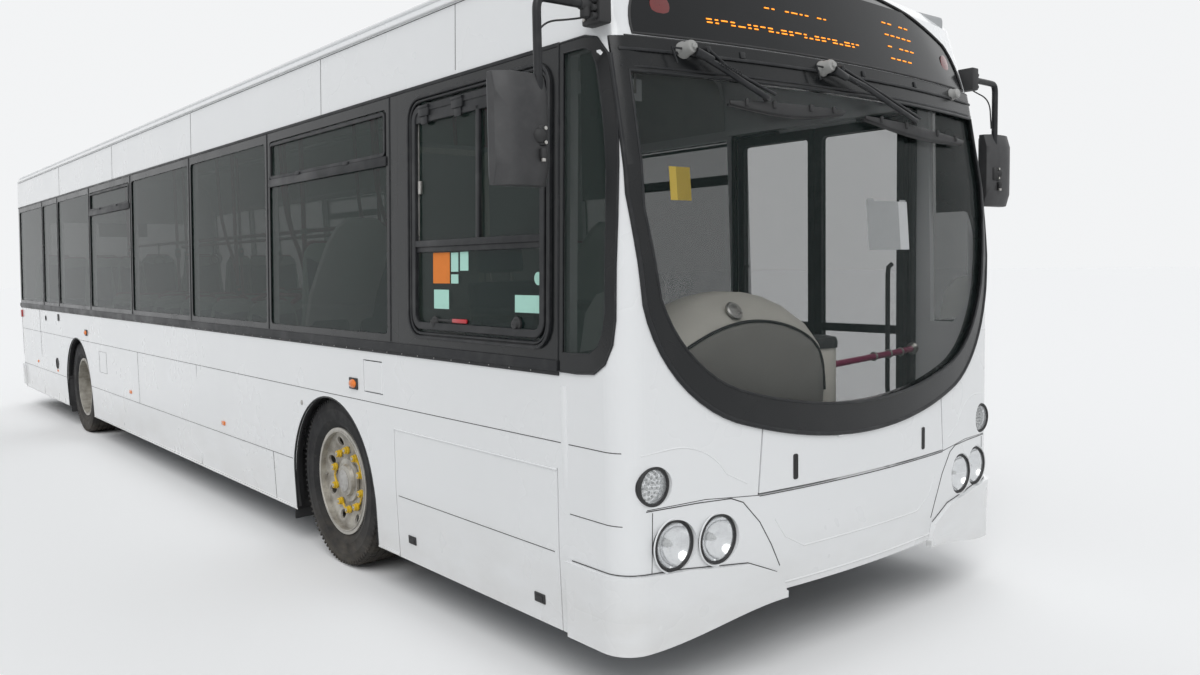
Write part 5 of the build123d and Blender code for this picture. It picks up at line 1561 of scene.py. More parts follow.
class BUS_OT_mirrors(Operator):
    """Outside mirrors with their arms, clamps, heater cables and bolts"""

    bl_idname = "bus.mirrors"
    bl_label = "Mirrors"

    def execute(self, context):
        shell = mirror_head()
        shift(shell, (MIRROR_X, MIRROR_Y, MIRROR_Z))
        rim = add_frame_ring(-0.108, 0.108, -0.188, 0.188, 0.013, 0.034, 0.0455, 0.030, 0.002)
        face_back = Matrix.Diagonal((1.0, 1.0, -1.0, 1.0))
        stand = Matrix.Translation((MIRROR_X, MIRROR_Y, MIRROR_Z)) @ QUARTER_X @ face_back
        rim.data.transform(stand)
        outwards(rim)
        glass = add_frame_between(round_rect(-0.096, 0.096, -0.176, 0.176, 0.022),
                                  round_rect(-0.0005, 0.0005, -0.0005, 0.0005, 0.0002), 0.0, 0.0425, 0.0)
        glass.data.transform(stand)
        outwards(glass)
        points = [(HALF_WIDTH - 0.055, ARM_Y, ARM_Z), (ARM_X - 0.05, ARM_Y, ARM_Z),
                  (ARM_X - 0.014, ARM_Y, ARM_Z - 0.004), (ARM_X, ARM_Y, ARM_Z - 0.028),
                  (ARM_X, ARM_Y, ARM_Z - 0.08), (ARM_X, ARM_Y, 1.985)]
        tubes = [add_bead(points, 0.0155, sides=5, smoothly=True)]
        black = []
        black.append(add_rod((ARM_X, ARM_Y - 0.002, 2.055), (ARM_X, ARM_Y - 0.002, 2.125), 0.026, edge=0.006))
        black.append(add_rod((ARM_X, ARM_Y - 0.006, 2.09), (ARM_X + 0.055, ARM_Y + 0.006, 2.09), 0.021,
                             0.017, edge=0.003))
        ball = add_turned([(0.006, -0.030), (0.020, -0.024), (0.028, -0.010), (0.030, 0.004), (0.024, 0.018),
                           (0.010, 0.026), (0.001, 0.027)], 28)
        shift(ball, (ARM_X + 0.012, ARM_Y - 0.010, 2.09))
        black.append(ball)
        black.append(add_rod((ARM_X, ARM_Y, 2.000), (ARM_X, ARM_Y, 2.030), 0.021, edge=0.004))
        black.append(add_rod((ARM_X + 0.006, ARM_Y - 0.030, 2.045), (ARM_X + 0.006, ARM_Y - 0.030, 2.012),
                             0.012, edge=0.002))
        root_x = HALF_WIDTH - 0.030
        plate = add_block((root_x - 0.026, ARM_Y - 0.045, ARM_Z - 0.062),
                          (root_x + 0.030, ARM_Y + 0.060, ARM_Z + 0.050), 0.008)
        black.append(plate)
        for height in (-0.040, -0.012, 0.018):
            black.append(add_rod((root_x + 0.03, ARM_Y - 0.024, ARM_Z + height),
                                 (root_x + 0.05, ARM_Y - 0.024, ARM_Z + height), 0.012, edge=0.002, sides=16))
        black.append(add_rod((root_x + 0.035, ARM_Y, ARM_Z), (root_x + 0.085, ARM_Y, ARM_Z), 0.024,
                             0.019, edge=0.004))
        black.append(add_rod((root_x + 0.058, ARM_Y, ARM_Z - 0.045), (root_x + 0.058, ARM_Y, ARM_Z + 0.040),
                             0.020, edge=0.005))
        cable = add_bead([(root_x + 0.04, ARM_Y + 0.024, ARM_Z - 0.035),
                          (root_x + 0.09, ARM_Y + 0.022, ARM_Z - 0.050),
                          (ARM_X - 0.022, ARM_Y + 0.018, ARM_Z - 0.08),
                          (ARM_X - 0.002, ARM_Y + 0.020, ARM_Z - 0.20),
                          (ARM_X - 0.001, ARM_Y + 0.019, 2.330)], 0.0035, sides=2, smoothly=True)
        black.append(cable)
        steel = []
        for height in (2.066, 2.114):
            steel.append(add_rod((ARM_X - 0.004, ARM_Y - 0.034, height),
                                 (ARM_X - 0.004, ARM_Y - 0.024, height), 0.007, sides=6))
        steel.append(add_rod((ARM_X + 0.006, ARM_Y - 0.030, 2.014), (ARM_X + 0.006, ARM_Y - 0.030, 2.000),
                             0.009, sides=16, edge=0.002))
        for height in (-0.040, 0.032):
            steel.append(add_rod((root_x + 0.029, ARM_Y + 0.040, ARM_Z + height),
                                 (root_x + 0.036, ARM_Y + 0.040, ARM_Z + height), 0.008, sides=6))
        fit_out("mirror_shells", both_sides([shell]), "grained_black", replaces=["mirrors"])
        fit_out("mirror_rims", both_sides([rim]), "rim_edge")
        fit_out("mirror_glass", both_sides([glass]), "mirror_glass")
        fit_out("mirror_arms", both_sides(tubes), "trim_black", shade=50.0)
        fit_out("mirror_clamps", both_sides(black), "soft_black")
        fit_out("mirror_bolts", both_sides(steel), "worn_steel")
        return {"FINISHED"}


# Each wiper: its spindle across the bus, the end of its arm, and the two ends of its blade
WIPERS = [
    (-0.900, -0.560, 2.274, -0.730, 2.248, -0.096, 2.256),
    (-0.180, 0.410, 2.258, 0.045, 2.246, 0.930, 2.206),
]
SPINDLE_Z = 2.430


def over_screen(x, height, out):
    """A point in front of the screen or the band over it."""
    return on_front(x, height, 0.008 + out)


class BUS_OT_wipers(Operator):
    """Two wipers with paired arms, parked along the top of the screen"""

    bl_idname = "bus.wipers"
    bl_label = "Wipers"

    def execute(self, context):
        arms = []
        knobs = []
        blades = []
        for pivot_x, end_x, end_z, blade_x0, blade_z0, blade_x1, blade_z1 in WIPERS:
            knob = add_turned([(0.032, 0.0), (0.032, 0.012), (0.027, 0.020), (0.026, 0.050), (0.022, 0.060),
                               (0.010, 0.064), (0.001, 0.065)], 32)
            knobs.append(turned_to(knob, over_screen(pivot_x, SPINDLE_Z, -0.004), (0.0, -1.0, 0.12)))
            nut = add_turned([(0.013, 0.060), (0.013, 0.070), (0.010, 0.073), (0.001, 0.073)], 6)
            knobs.append(turned_to(nut, over_screen(pivot_x, SPINDLE_Z, -0.004), (0.0, -1.0, 0.12)))
            main = [over_screen(pivot_x + 0.012, SPINDLE_Z - 0.012, 0.052),
                    over_screen(pivot_x + (end_x - pivot_x) * 0.35, SPINDLE_Z - 0.060, 0.050),
                    over_screen(end_x, end_z, 0.038)]
            arms.append(add_bead(main, 0.0115, sides=3))
            second = [over_screen(pivot_x + 0.075, SPINDLE_Z + 0.004, 0.046),
                      over_screen(pivot_x + (end_x - pivot_x) * 0.50, SPINDLE_Z - 0.066, 0.046),
                      over_screen(end_x + 0.045, end_z + 0.016, 0.038)]
            arms.append(add_bead(second, 0.0062, sides=3))
            arms.append(add_rod(over_screen(pivot_x + 0.075, SPINDLE_Z + 0.004, 0.0),
                                over_screen(pivot_x + 0.075, SPINDLE_Z + 0.004, 0.052), 0.012, edge=0.002))
            arms.append(add_rod(over_screen(pivot_x + 0.012, SPINDLE_Z - 0.012, 0.052),
                                over_screen(pivot_x + 0.085, SPINDLE_Z - 0.036, 0.052), 0.0185, 0.014,
                                edge=0.003))
            arms.append(add_bead([over_screen(pivot_x - 0.030, SPINDLE_Z, 0.030),
                                  over_screen(pivot_x - 0.075, SPINDLE_Z, 0.034),
                                  over_screen(pivot_x - 0.060, SPINDLE_Z - 0.055, 0.034)], 0.0045, sides=2))
            coil = []
            for step in range(41):
                share = step / 40
                turn = 2 * math.pi * 9 * share
                base = over_screen(pivot_x + 0.10 + 0.10 * share, SPINDLE_Z - 0.050 - 0.030 * share, 0.066)
                coil.append(base + Vector((0.0, 0.006 * math.cos(turn), 0.006 * math.sin(turn))))
            arms.append(add_bead(coil, 0.0017, sides=1))
            rubber = []
            holder = []
            for step in range(9):
                share = step / 8
                x = blade_x0 + (blade_x1 - blade_x0) * share
                z = blade_z0 + (blade_z1 - blade_z0) * share - 0.012 * math.sin(math.pi * share)
                half = 0.009 + 0.019 * math.sin(math.pi * share)
                rubber.append(over_screen(x, z - half, 0.006))
                holder.append([over_screen(x, z - half, 0.010), over_screen(x, z + half, 0.014),
                               over_screen(x, z + half * 0.7, 0.024), over_screen(x, z - half * 0.7, 0.022)])
            blades.append(add_bead(rubber, 0.0060, sides=2))
            holder = add_loft(holder)
            round_edges(holder, 0.003, 1)
            blades.append(holder)
            for share in (0.12, 0.34, 0.66, 0.88):
                x = blade_x0 + (blade_x1 - blade_x0) * share
                z = blade_z0 + (blade_z1 - blade_z0) * share
                blades.append(add_rod(over_screen(x, z - 0.012, 0.024), over_screen(x, z + 0.016, 0.027),
                                      0.008, sides=12, edge=0.002))
            blades.append(add_rod(over_screen(end_x, end_z, 0.024), over_screen(end_x, end_z, 0.046), 0.013,
                                  sides=16, edge=0.002))
        third = add_turned([(0.028, 0.0), (0.028, 0.012), (0.024, 0.018), (0.023, 0.038), (0.018, 0.044),
                            (0.001, 0.046)], 32)
        knobs.append(turned_to(third, over_screen(0.906, 2.436, -0.004), (0.12, -1.0, 0.12)))
        fit_out("wiper_arms", arms, "trim_black", replaces=["wipers"], shade=45.0)
        fit_out("wiper_blades", blades, "soft_black", shade=45.0)
        fit_out("wiper_spindles", knobs, "knob_grey")
        return {"FINISHED"}


# Front


def front_block(x0, x1, z0, z1, low, high, edge=0.002, segments=2, parts=1):
    """A block that lies on the front of the body, from low to high out of it, cut across into even parts."""
    block = add_block((x0, z0, low), (x1, z1, high))
    if parts > 1:
        pick(block)
        bpy.ops.object.mode_set(mode="EDIT")
        for index in range(1, parts):
            bpy.ops.mesh.select_all(action="SELECT")
            cut_x = x0 + (x1 - x0) * index / parts
            bpy.ops.mesh.bisect(plane_co=(cut_x, 0.0, 0.0), plane_no=(1.0, 0.0, 0.0))
        bpy.ops.object.mode_set(mode="OBJECT")
    to_front(block)
    if edge:
        round_edges(block, edge, segments, 50.0)
    return block


def front_bead(points, radius, out=0.0, closed=False, step_long=0.08):
    """A bead on the front of the body through (x, height) points."""
    places = []
    ends = list(zip(points, points[1:] + points[:1])) if closed else list(zip(points, points[1:]))
    for (x0, z0), (x1, z1) in ends:
        steps = max(1, int(math.hypot(x1 - x0, z1 - z0) / step_long))
        for step in range(steps):
            share = step / steps
            places.append(on_front(x0 + share * (x1 - x0), z0 + share * (z1 - z0), out))
    if not closed:
        places.append(on_front(*points[-1], out))
    return add_bead(places, radius, closed)


def arc_through(start, middle, end, steps=16):
    """Points on the arc through three points in the front view."""
    (ax, ay), (bx, by), (cx, cy) = start, middle, end
    double_area = 2 * (ax * (by - cy) + bx * (cy - ay) + cx * (ay - by))
    aa = ax * ax + ay * ay
    bb = bx * bx + by * by
    cc = cx * cx + cy * cy
    centre_x = (aa * (by - cy) + bb * (cy - ay) + cc * (ay - by)) / double_area
    centre_y = (aa * (cx - bx) + bb * (ax - cx) + cc * (bx - ax)) / double_area
    radius = math.hypot(ax - centre_x, ay - centre_y)
    first = math.atan2(ay - centre_y, ax - centre_x)
    between = math.atan2(by - centre_y, bx - centre_x)
    last = math.atan2(cy - centre_y, cx - centre_x)
    while between < first:
        between += 2 * math.pi
    while last < first:
        last += 2 * math.pi
    if last < between:
        last -= 2 * math.pi
    turns = [first + (last - first) * step / steps for step in range(steps + 1)]
    return [(centre_x + radius * math.cos(turn), centre_y + radius * math.sin(turn)) for turn in turns]


# Front lamps: distance from the middle, height, lens radius
HEADLAMPS = [(1.035, 0.610, 0.090), (0.838, 0.604, 0.090)]
INDICATOR = (1.118, 0.840, 0.068)


def lamp_face_y(x):
    """Where the flat front of a lamp pocket lies."""
    return NOSE_Y + x * x / (2 * NOSE_PLAN_R)


def to_lamp(piece, x, z, back):
    """Turn a piece made about Z to look out of the front at a lamp."""
    return turned_to(piece, (x, lamp_face_y(x) + back, z), (0.0, -1.0, 0.0))


class BUS_OT_headlamps(Operator):
    """Headlamps and indicators with bezels, bowls, bulbs and lenses"""

    bl_idname = "bus.headlamps"
    bl_label = "Front lamps"

    def execute(self, context):
        lenses = []
        bowls = []
        bezels = []
        bulbs = []
        smoke = []
        rims = []
        for x, z, radius in HEADLAMPS:
            bowl = add_turned([(radius - 0.002, 0.040), (radius - 0.010, 0.028), (radius * 0.72, 0.010),
                               (radius * 0.45, -0.001), (radius * 0.24, -0.006), (0.012, -0.0065),
                               (0.001, -0.0065)], 56)
            bowls.append(to_lamp(bowl, x, z, 0.048))
            lens = add_turned([(radius - 0.001, 0.0), (radius - 0.003, 0.005), (radius * 0.88, 0.012),
                               (radius * 0.66, 0.0175), (radius * 0.40, 0.0205), (0.018, 0.0220),
                               (0.001, 0.0221)], 56)
            lenses.append(to_lamp(lens, x, z, 0.014))
            bulb = add_turned([(0.016, 0.0), (0.016, 0.010), (0.010, 0.014), (0.0085, 0.030), (0.004, 0.034),
                               (0.001, 0.0345)], 24)
            bulbs.append(to_lamp(bulb, x, z, 0.052))
            bezel = add_turned([(radius + 0.0058, -0.006), (radius + 0.0058, 0.010),
                                (radius + 0.0035, 0.0125),
                                (radius - 0.001, 0.0115), (radius - 0.006, 0.004), (radius - 0.004, -0.006)],
                               64)
            bezels.append(to_lamp(bezel, x, z, 0.012))
            rims.append(to_lamp(add_torus((0.0, 0.0, 0.0), (0.0, 0.0, 0.0), radius + 0.012, 0.0032, 64, 8),
                                x, z, 0.003))
        x, z, radius = INDICATOR
        bowl = add_turned([(radius - 0.002, 0.030), (radius * 0.9, 0.010), (radius * 0.6, 0.002),
                           (0.001, 0.0)], 48)
        bowls.append(to_lamp(bowl, x, z, 0.046))
        lens = add_turned([(radius - 0.001, 0.0), (radius - 0.004, 0.007), (radius * 0.80, 0.012),
                           (radius * 0.5, 0.0155), (0.001, 0.017)], 48)
        smoke.append(to_lamp(lens, x, z, 0.014))
        for ring in range(3):
            count = 6 + 6 * ring
            for index in range(count):
                angle = 2 * math.pi * index / count
                dot_r = 0.016 + 0.018 * ring
                dot = add_turned([(0.0055, 0.0), (0.0055, 0.004), (0.003, 0.007), (0.0005, 0.0075)], 10)
                shift(dot, (dot_r * math.cos(angle), dot_r * math.sin(angle), 0.004))
                bulbs.append(to_lamp(dot, x, z, 0.040))
        bezel = add_turned([(radius + 0.0058, -0.006), (radius + 0.0058, 0.010), (radius + 0.0030, 0.012),
                            (radius - 0.004, 0.010), (radius - 0.004, -0.006)], 56)
        bezels.append(to_lamp(bezel, x, z, 0.012))
        fit_out("lamp_lenses", both_sides(lenses), "clear_lens", replaces=["headlamps"])
        fit_out("indicator_lenses", both_sides(smoke), "clear_lens")
        fit_out("lamp_bowls", both_sides(bowls), "reflector")
        fit_out("lamp_bulbs", both_sides(bulbs), "smoke_lens")
        fit_out("lamp_bezels", both_sides(bezels), "soft_black")
        fit_out("lamp_mouldings", both_sides(rims), "coach_white")
        return {"FINISHED"}


# Outline of the lamp panel in the front view: distance from the middle, height
POD_EDGE = [(1.154, 0.752), (0.930, 0.756), (0.780, 0.752), (0.722, 0.729), (0.640, 0.640), (0.580, 0.540),
            (0.533, 0.447)]
# Upper edge of a bumper corner piece: distance from the middle, height
BUMPER_TOP_EDGE = [(0.548, 0.424), (0.620, 0.455), (0.700, 0.488), (0.850, 0.503), (1.000, 0.517),
                   (1.128, 0.520), (1.150, 0.5205), (1.172, 0.521)]
# Lip under a bumper corner piece: inner end, upper edge, lower edge at both ends, how proud it is of the
# body, and the length over which its lower edge drops
LIP_START_X = 0.507
LIP_TOP_Z = 0.345
LIP_LOW_INNER_Z = 0.317
LIP_LOW_OUTER_Z = 0.2225
LIP_PROUD = 0.0246
LIP_EASE = 0.72


def corner_lip(sign):
    """The smooth lower edge of a bumper corner piece, from its inner end round the corner to the side."""
    start_clean()
    bpy.ops.mesh.primitive_grid_add(x_subdivisions=48, y_subdivisions=1, size=1.0, location=(0.5, 0.5, 0.0))
    bpy.ops.object.transform_apply(location=True)
    bpy.ops.object.mode_set(mode="EDIT")
    bpy.ops.mesh.select_all(action="SELECT")
    bpy.ops.mesh.extrude_region_move(TRANSFORM_OT_translate={"value": (0.0, 0.0, 1.0)})
    bpy.ops.object.mode_set(mode="OBJECT")
    half = side_x(LIP_TOP_Z)
    front_long = half - NOSE_CORNER_R - LIP_START_X
    reach = math.sqrt((NOSE_PLAN_R - NOSE_CORNER_R) ** 2 - (half - NOSE_CORNER_R) ** 2)
    corner_y = NOSE_Y + row_value(LIP_TOP_Z, 2) + NOSE_PLAN_R - reach
    lean = math.atan2(half - NOSE_CORNER_R, reach)
    arc_long = NOSE_CORNER_R * (math.pi / 2 - lean)
    side_long = -5.496 - corner_y
    full = front_long + arc_long + side_long

    def place(co):
        along = co.x * full
        share = min(along / LIP_EASE, 1.0)
        low = LIP_LOW_INNER_Z - (LIP_LOW_INNER_Z - LIP_LOW_OUTER_Z) * share * share * (3.0 - 2.0 * share)
        height = low + co.y * (LIP_TOP_Z - low)
        out = -0.004 + co.z * (LIP_PROUD + 0.004)
        if along <= front_long:
            return on_front(sign * (LIP_START_X + along), height, out)
        if along <= front_long + arc_long:
            angle = lean + (along - front_long) / NOSE_CORNER_R
            ring = NOSE_CORNER_R + out
            return Vector((sign * (half - NOSE_CORNER_R + ring * math.sin(angle)),
                           corner_y - ring * math.cos(angle), height))
        return Vector((sign * (half + out), corner_y + along - front_long - arc_long, height))

    return bend_to(bpy.context.object, place)


# Where the two latches of the front flap lie, from the middle
FLAP_LATCH_X = 0.448


class BUS_OT_front_joints(Operator):
    """Joints, creases and latches of the front panels"""

    bl_idname = "bus.front_joints"
    bl_label = "Front joints"

    def execute(self, context):
        joints = []
        radius = sizes().seam_r * 1.2
        for sign in (1, -1):
            joints.append(front_bead([(sign * x, z) for x, z in POD_EDGE], radius))
            under_pod = [(sign * 0.640, 0.745), (sign * 0.900, 0.765), (sign * 1.150, 0.757)]
            joints.append(front_bead(under_pod, radius * 0.7))
        joints.append(front_bead([(-0.640, 0.742), (0.640, 0.742)], radius))
        for sign in (1, -1):
            edge = [on_front(sign * x, z, 0.0012) for x, z in BUMPER_TOP_EDGE]
            edge += [on_side(sign, -5.812 + 0.020 * step, 0.521, 0.0012) for step in range(16)]
            joints.append(add_bead(edge, radius * 0.8))
            joints.append(front_bead([(sign * 1.128, 0.745), (sign * 1.133, 0.520)], radius * 0.8))
        fit_out("front_joint_lines", joints, "soft_black")
        lips = [corner_lip(sign) for sign in (1, -1)]
        fit_out("bumper_corner_lips", lips, "coach_white")
        creases = []
        for sign in (1, -1):
            arc = arc_through((0.800, 0.850), (0.905, 0.945), (1.060, 0.970), 10)
            arc = [(0.700, 0.800)] + arc + [(1.170, 0.958)]
            creases.append(front_bead([(sign * x, z) for x, z in arc], 0.0045, -0.0026))
        creases.append(front_bead([(-0.400, 0.505), (0.400, 0.505)], 0.0050, -0.0028))
        creases.append(front_bead([(-0.540, 0.372), (0.540, 0.372)], 0.0050, -0.0020))
        for sign in (1, -1):
            creases.append(front_bead([(sign * 0.400, 0.505), (sign * 0.505, 0.560), (sign * 0.560, 0.640)],
                                      0.0045, -0.0026))
        fit_out("front_creases", creases, "coach_white", shade=60.0)
        latches = []
        slots = []
        for x in (FLAP_LATCH_X, -FLAP_LATCH_X):
            latches.append(to_front(add_frame_between(round_rect(x - 0.0125, x + 0.0125, 0.782, 0.884, 0.008),
                                                      round_rect(x - 0.0075, x + 0.0075, 0.788, 0.878, 0.005),
                                                      -0.002, 0.0035, 0.001)))
            slots.append(front_block(x - 0.0085, x + 0.0085, 0.787, 0.879, -0.001, 0.0012, 0.0))
            slots.append(front_block(x - 0.004, x + 0.004, 0.800, 0.866, 0.0, 0.0030, 0.001))
        fit_out("front_flap_latches", latches + slots, "soft_black", "front_lid")
        return {"FINISHED"}


class BUS_OT_screen_trim(Operator):
    """Seals of the windscreen and the ridge and joints of the black band over it"""

    bl_idname = "bus.screen_trim"
    bl_label = "Windscreen trim"

    def execute(self, context):
        moulding = [(1.184, 2.400), (1.187, 1.900), (1.148, 1.500), (0.987, 1.200), (0.756, 1.050)]
        sight = [(1.135, 2.340), (1.138, 1.850), (1.085, 1.520), (0.930, 1.280), (0.696, 1.150)]
        lines = []
        for (top, side_mid, low, corner, start), middle_z, out, bead_r in ((moulding, 0.932, 0.004, 0.010),
                                                                         (sight, 1.056, 0.0065, 0.006)):
            lower = arc_through((-start[0], start[1]), (0.0, middle_z), start, 28)
            near = arc_through(start, corner, low, 10)
            loop = lower[:-1] + near + [side_mid, top]
            whole = [(-x, z) for x, z in reversed(near[1:] + [side_mid, top])] + loop
            closed = middle_z > 1.0
            lines.append(front_bead(whole, bead_r, out, closed))
        fit_out("screen_seals", lines, "trim_black", shade=60.0)
        band = [front_block(-1.165, 1.165, 2.412, 2.424, 0.006, 0.017, 0.003, 2, 28),
                front_block(-1.165, 1.165, 2.352, 2.360, 0.006, 0.012, 0.002, 1, 28)]
        for x in (-0.62, 0.10, 0.52):
            band.append(front_block(x - 0.012, x + 0.012, 2.426, 2.452, 0.006, 0.014, 0.003))
        fit_out("screen_band_ridges", band, "trim_black")
        rubber = [front_bead([(x / 10.0 * 1.135, 2.466) for x in range(-10, 11)], 0.006, 0.002)]
        fit_out("screen_top_seal", rubber, "soft_black")
        return {"FINISHED"}


# Half of the display's outline in the front view: its foot, a point on its round end, its shoulder, its top
DISPLAY_FOOT = (1.098, 2.480)
DISPLAY_END = (1.060, 2.630)
DISPLAY_SHOULDER = (0.990, 2.700)
DISPLAY_TOP_Z = 2.872


class BUS_OT_destination(Operator):
    """Seal, lit dots and dull end lamps of the destination display"""

    bl_idname = "bus.destination"
    bl_label = "Destination display"

    def execute(self, context):
        far_shoulder = (-DISPLAY_SHOULDER[0], DISPLAY_SHOULDER[1])
        top = arc_through(DISPLAY_SHOULDER, (0.0, DISPLAY_TOP_Z), far_shoulder, 30)
        near = arc_through(DISPLAY_FOOT, DISPLAY_END, DISPLAY_SHOULDER, 8)
        loop = near[:-1] + top + [(-x, z) for x, z in reversed(near[:-1])]
        frame_bead = front_bead(loop, 0.0055, 0.001, True)
        fit_out("display_seal", [frame_bead], "soft_black", shade=60.0)
        dots = []
        pattern = (3, 1, 4, 2, 5, 1, 2, 3)
        for x0, x1, z, lines in ((-0.750, 0.130, 2.556, 2), (-0.430, -0.070, 2.655, 1)):
            x = x0
            index = 0
            while x < x1:
                wide = 0.010 + 0.005 * pattern[index % len(pattern)]
                for line in range(lines):
                    if (index + line * 3) % 5 != 2:
                        dots.append(front_block(x, x + wide, z + 0.013 * line, z + 0.013 * line + 0.005,
                                                -0.0015, 0.0008, 0.0))
                x += wide + 0.016
                index += 1
        for row in range(4):
            for column in range(5):
                if (row * 3 + column) % 7 != 4:
                    x = 0.380 + 0.050 * column
                    z = 2.545 + 0.056 * row
                    dots.append(front_block(x, x + 0.030, z, z + 0.005, -0.0015, 0.0008, 0.0))
        fit_out("display_lit_dots", dots, "amber_dots", shade=0.0)
        discs = []
        for x in (-0.952, 0.952):
            disc = add_turned([(0.043, 0.0), (0.043, 0.0015), (0.034, 0.0025), (0.001, 0.0028)], 32)
            discs.append(turned_to(disc, on_front(x, 2.600, -0.002), (0.18 if x > 0 else -0.18, -1.0, 0.22)))
        fit_out("display_end_lamps", discs, "dull_red")
        return {"FINISHED"}


class BUS_OT_notices(Operator):
    """Plain cards behind the windscreen"""

    bl_idname = "bus.notices"
    bl_label = "Blank notices"

    def execute(self, context):
        white = add_block((0.055, -5.800, 1.690), (0.350, -5.7988, 1.900))
        yellow = add_block((-1.010, -5.800, 1.878), (-0.905, -5.7988, 2.000))
        tape = [add_block((0.055, -5.8012, 1.886), (0.100, -5.7999, 1.908)),
                add_block((0.305, -5.8012, 1.886), (0.350, -5.7999, 1.908))]
        placed = []
        for piece in (white, yellow, *tape):
            middle = sum((vertex.co for vertex in piece.data.vertices), Vector()) / 8
            back = front_y(middle.x, middle.z) + 0.0225 - middle.y
            for vertex in piece.data.vertices:
                lean = front_y(middle.x, vertex.co.z) - front_y(middle.x, middle.z)
                vertex.co.y += back + lean
            placed.append(piece)
        fit_out("blank_white_notice", [placed[0], *placed[2:]], "notice_white")
        fit_out("blank_yellow_notice", [placed[1]], "notice_yellow")
        return {"FINISHED"}


# Seats


def rounded_ring(x, y, height, wide, deep, corner, steps):
    """A level line round a middle, of a half width and half depth, its corners rounded by a share of them."""
    return [(x + u * wide, y + v * deep, height) for u, v in round_rect(-1, 1, -1, 1, corner, steps)]


def add_loft(loops):
    """A skin over closed lines of as many points, one after another, with its ends closed."""
    strips = []
    for first, second in zip(loops, loops[1:]):
        pair = []
        for loop in (first, second):
            piece = add_loop([(point[0], point[1]) for point in loop], 0.0)
            for vertex, point in zip(piece.data.vertices, loop):
                vertex.co = point
            piece.data.update()
            pair.append(piece)
        strip = joined(pair)
        bpy.ops.object.mode_set(mode="EDIT")
        bpy.ops.mesh.select_all(action="SELECT")
        bpy.ops.mesh.bridge_edge_loops()
        bpy.ops.object.mode_set(mode="OBJECT")
        strips.append(strip)
    for loop in (loops[0], loops[-1]):
        start_clean()
        bpy.ops.mesh.primitive_circle_add(vertices=len(loop), radius=1.0, fill_type="NGON")
        cap = bpy.context.object
        for vertex, point in zip(cap.data.vertices, loop):
            vertex.co = point
        cap.data.update()
        strips.append(cap)
    return outwards(joined(strips))


# The saloon's levels, and where most seats end at the aisle
AISLE_X = 0.295
BOX_TOP_Z = 1.000
FLOOR_Z = 0.325
PLATFORM_Z = 0.705
BENCH_Z = 1.060
# Seats in rows: side, middle of the row along the bus, level of the floor under it, aisle side
SEAT_ROWS = [
    (-1, -3.000, BOX_TOP_Z, 0.515), (-1, -2.000, FLOOR_Z, AISLE_X), (-1, -1.250, FLOOR_Z, AISLE_X),
    (-1, -0.500, FLOOR_Z, AISLE_X), (-1, 0.250, FLOOR_Z, AISLE_X), (-1, 1.000, FLOOR_Z, AISLE_X),
    (-1, 1.680, FLOOR_Z, AISLE_X), (1, -3.000, BOX_TOP_Z, 0.515), (1, -0.500, FLOOR_Z, AISLE_X),
    (1, 0.250, FLOOR_Z, AISLE_X), (1, 1.000, FLOOR_Z, AISLE_X), (1, 1.680, FLOOR_Z, AISLE_X),
    (-1, 2.600, BOX_TOP_Z, 0.535), (1, 2.600, BOX_TOP_Z, 0.535), (-1, 3.950, PLATFORM_Z, AISLE_X),
    (1, 3.950, PLATFORM_Z, AISLE_X), (-1, 5.300, BENCH_Z, 0.055), (1, 5.300, BENCH_Z, 0.055),
]
SEAT_WALL_X = 1.155
SEAT_HIGH = 0.430
LOW_SEAT_HIGH = 0.120
SEAT_LEAN = 6.0
# A pad is cut this much short of its size, because the cloth swells it
PAD_SHARE = 0.985
# Frames that the cloth runs, and how far it may move a point
PAD_FRAMES = 20
PAD_SWELL = 0.030
PAD_CLOTH = {
    "quality": 6, "mass": 0.4, "tension_stiffness": 22.0, "compression_stiffness": 22.0,
    "shear_stiffness": 9.0, "bending_stiffness": 1.2, "use_pressure": True, "uniform_pressure_force": 4.0,
}


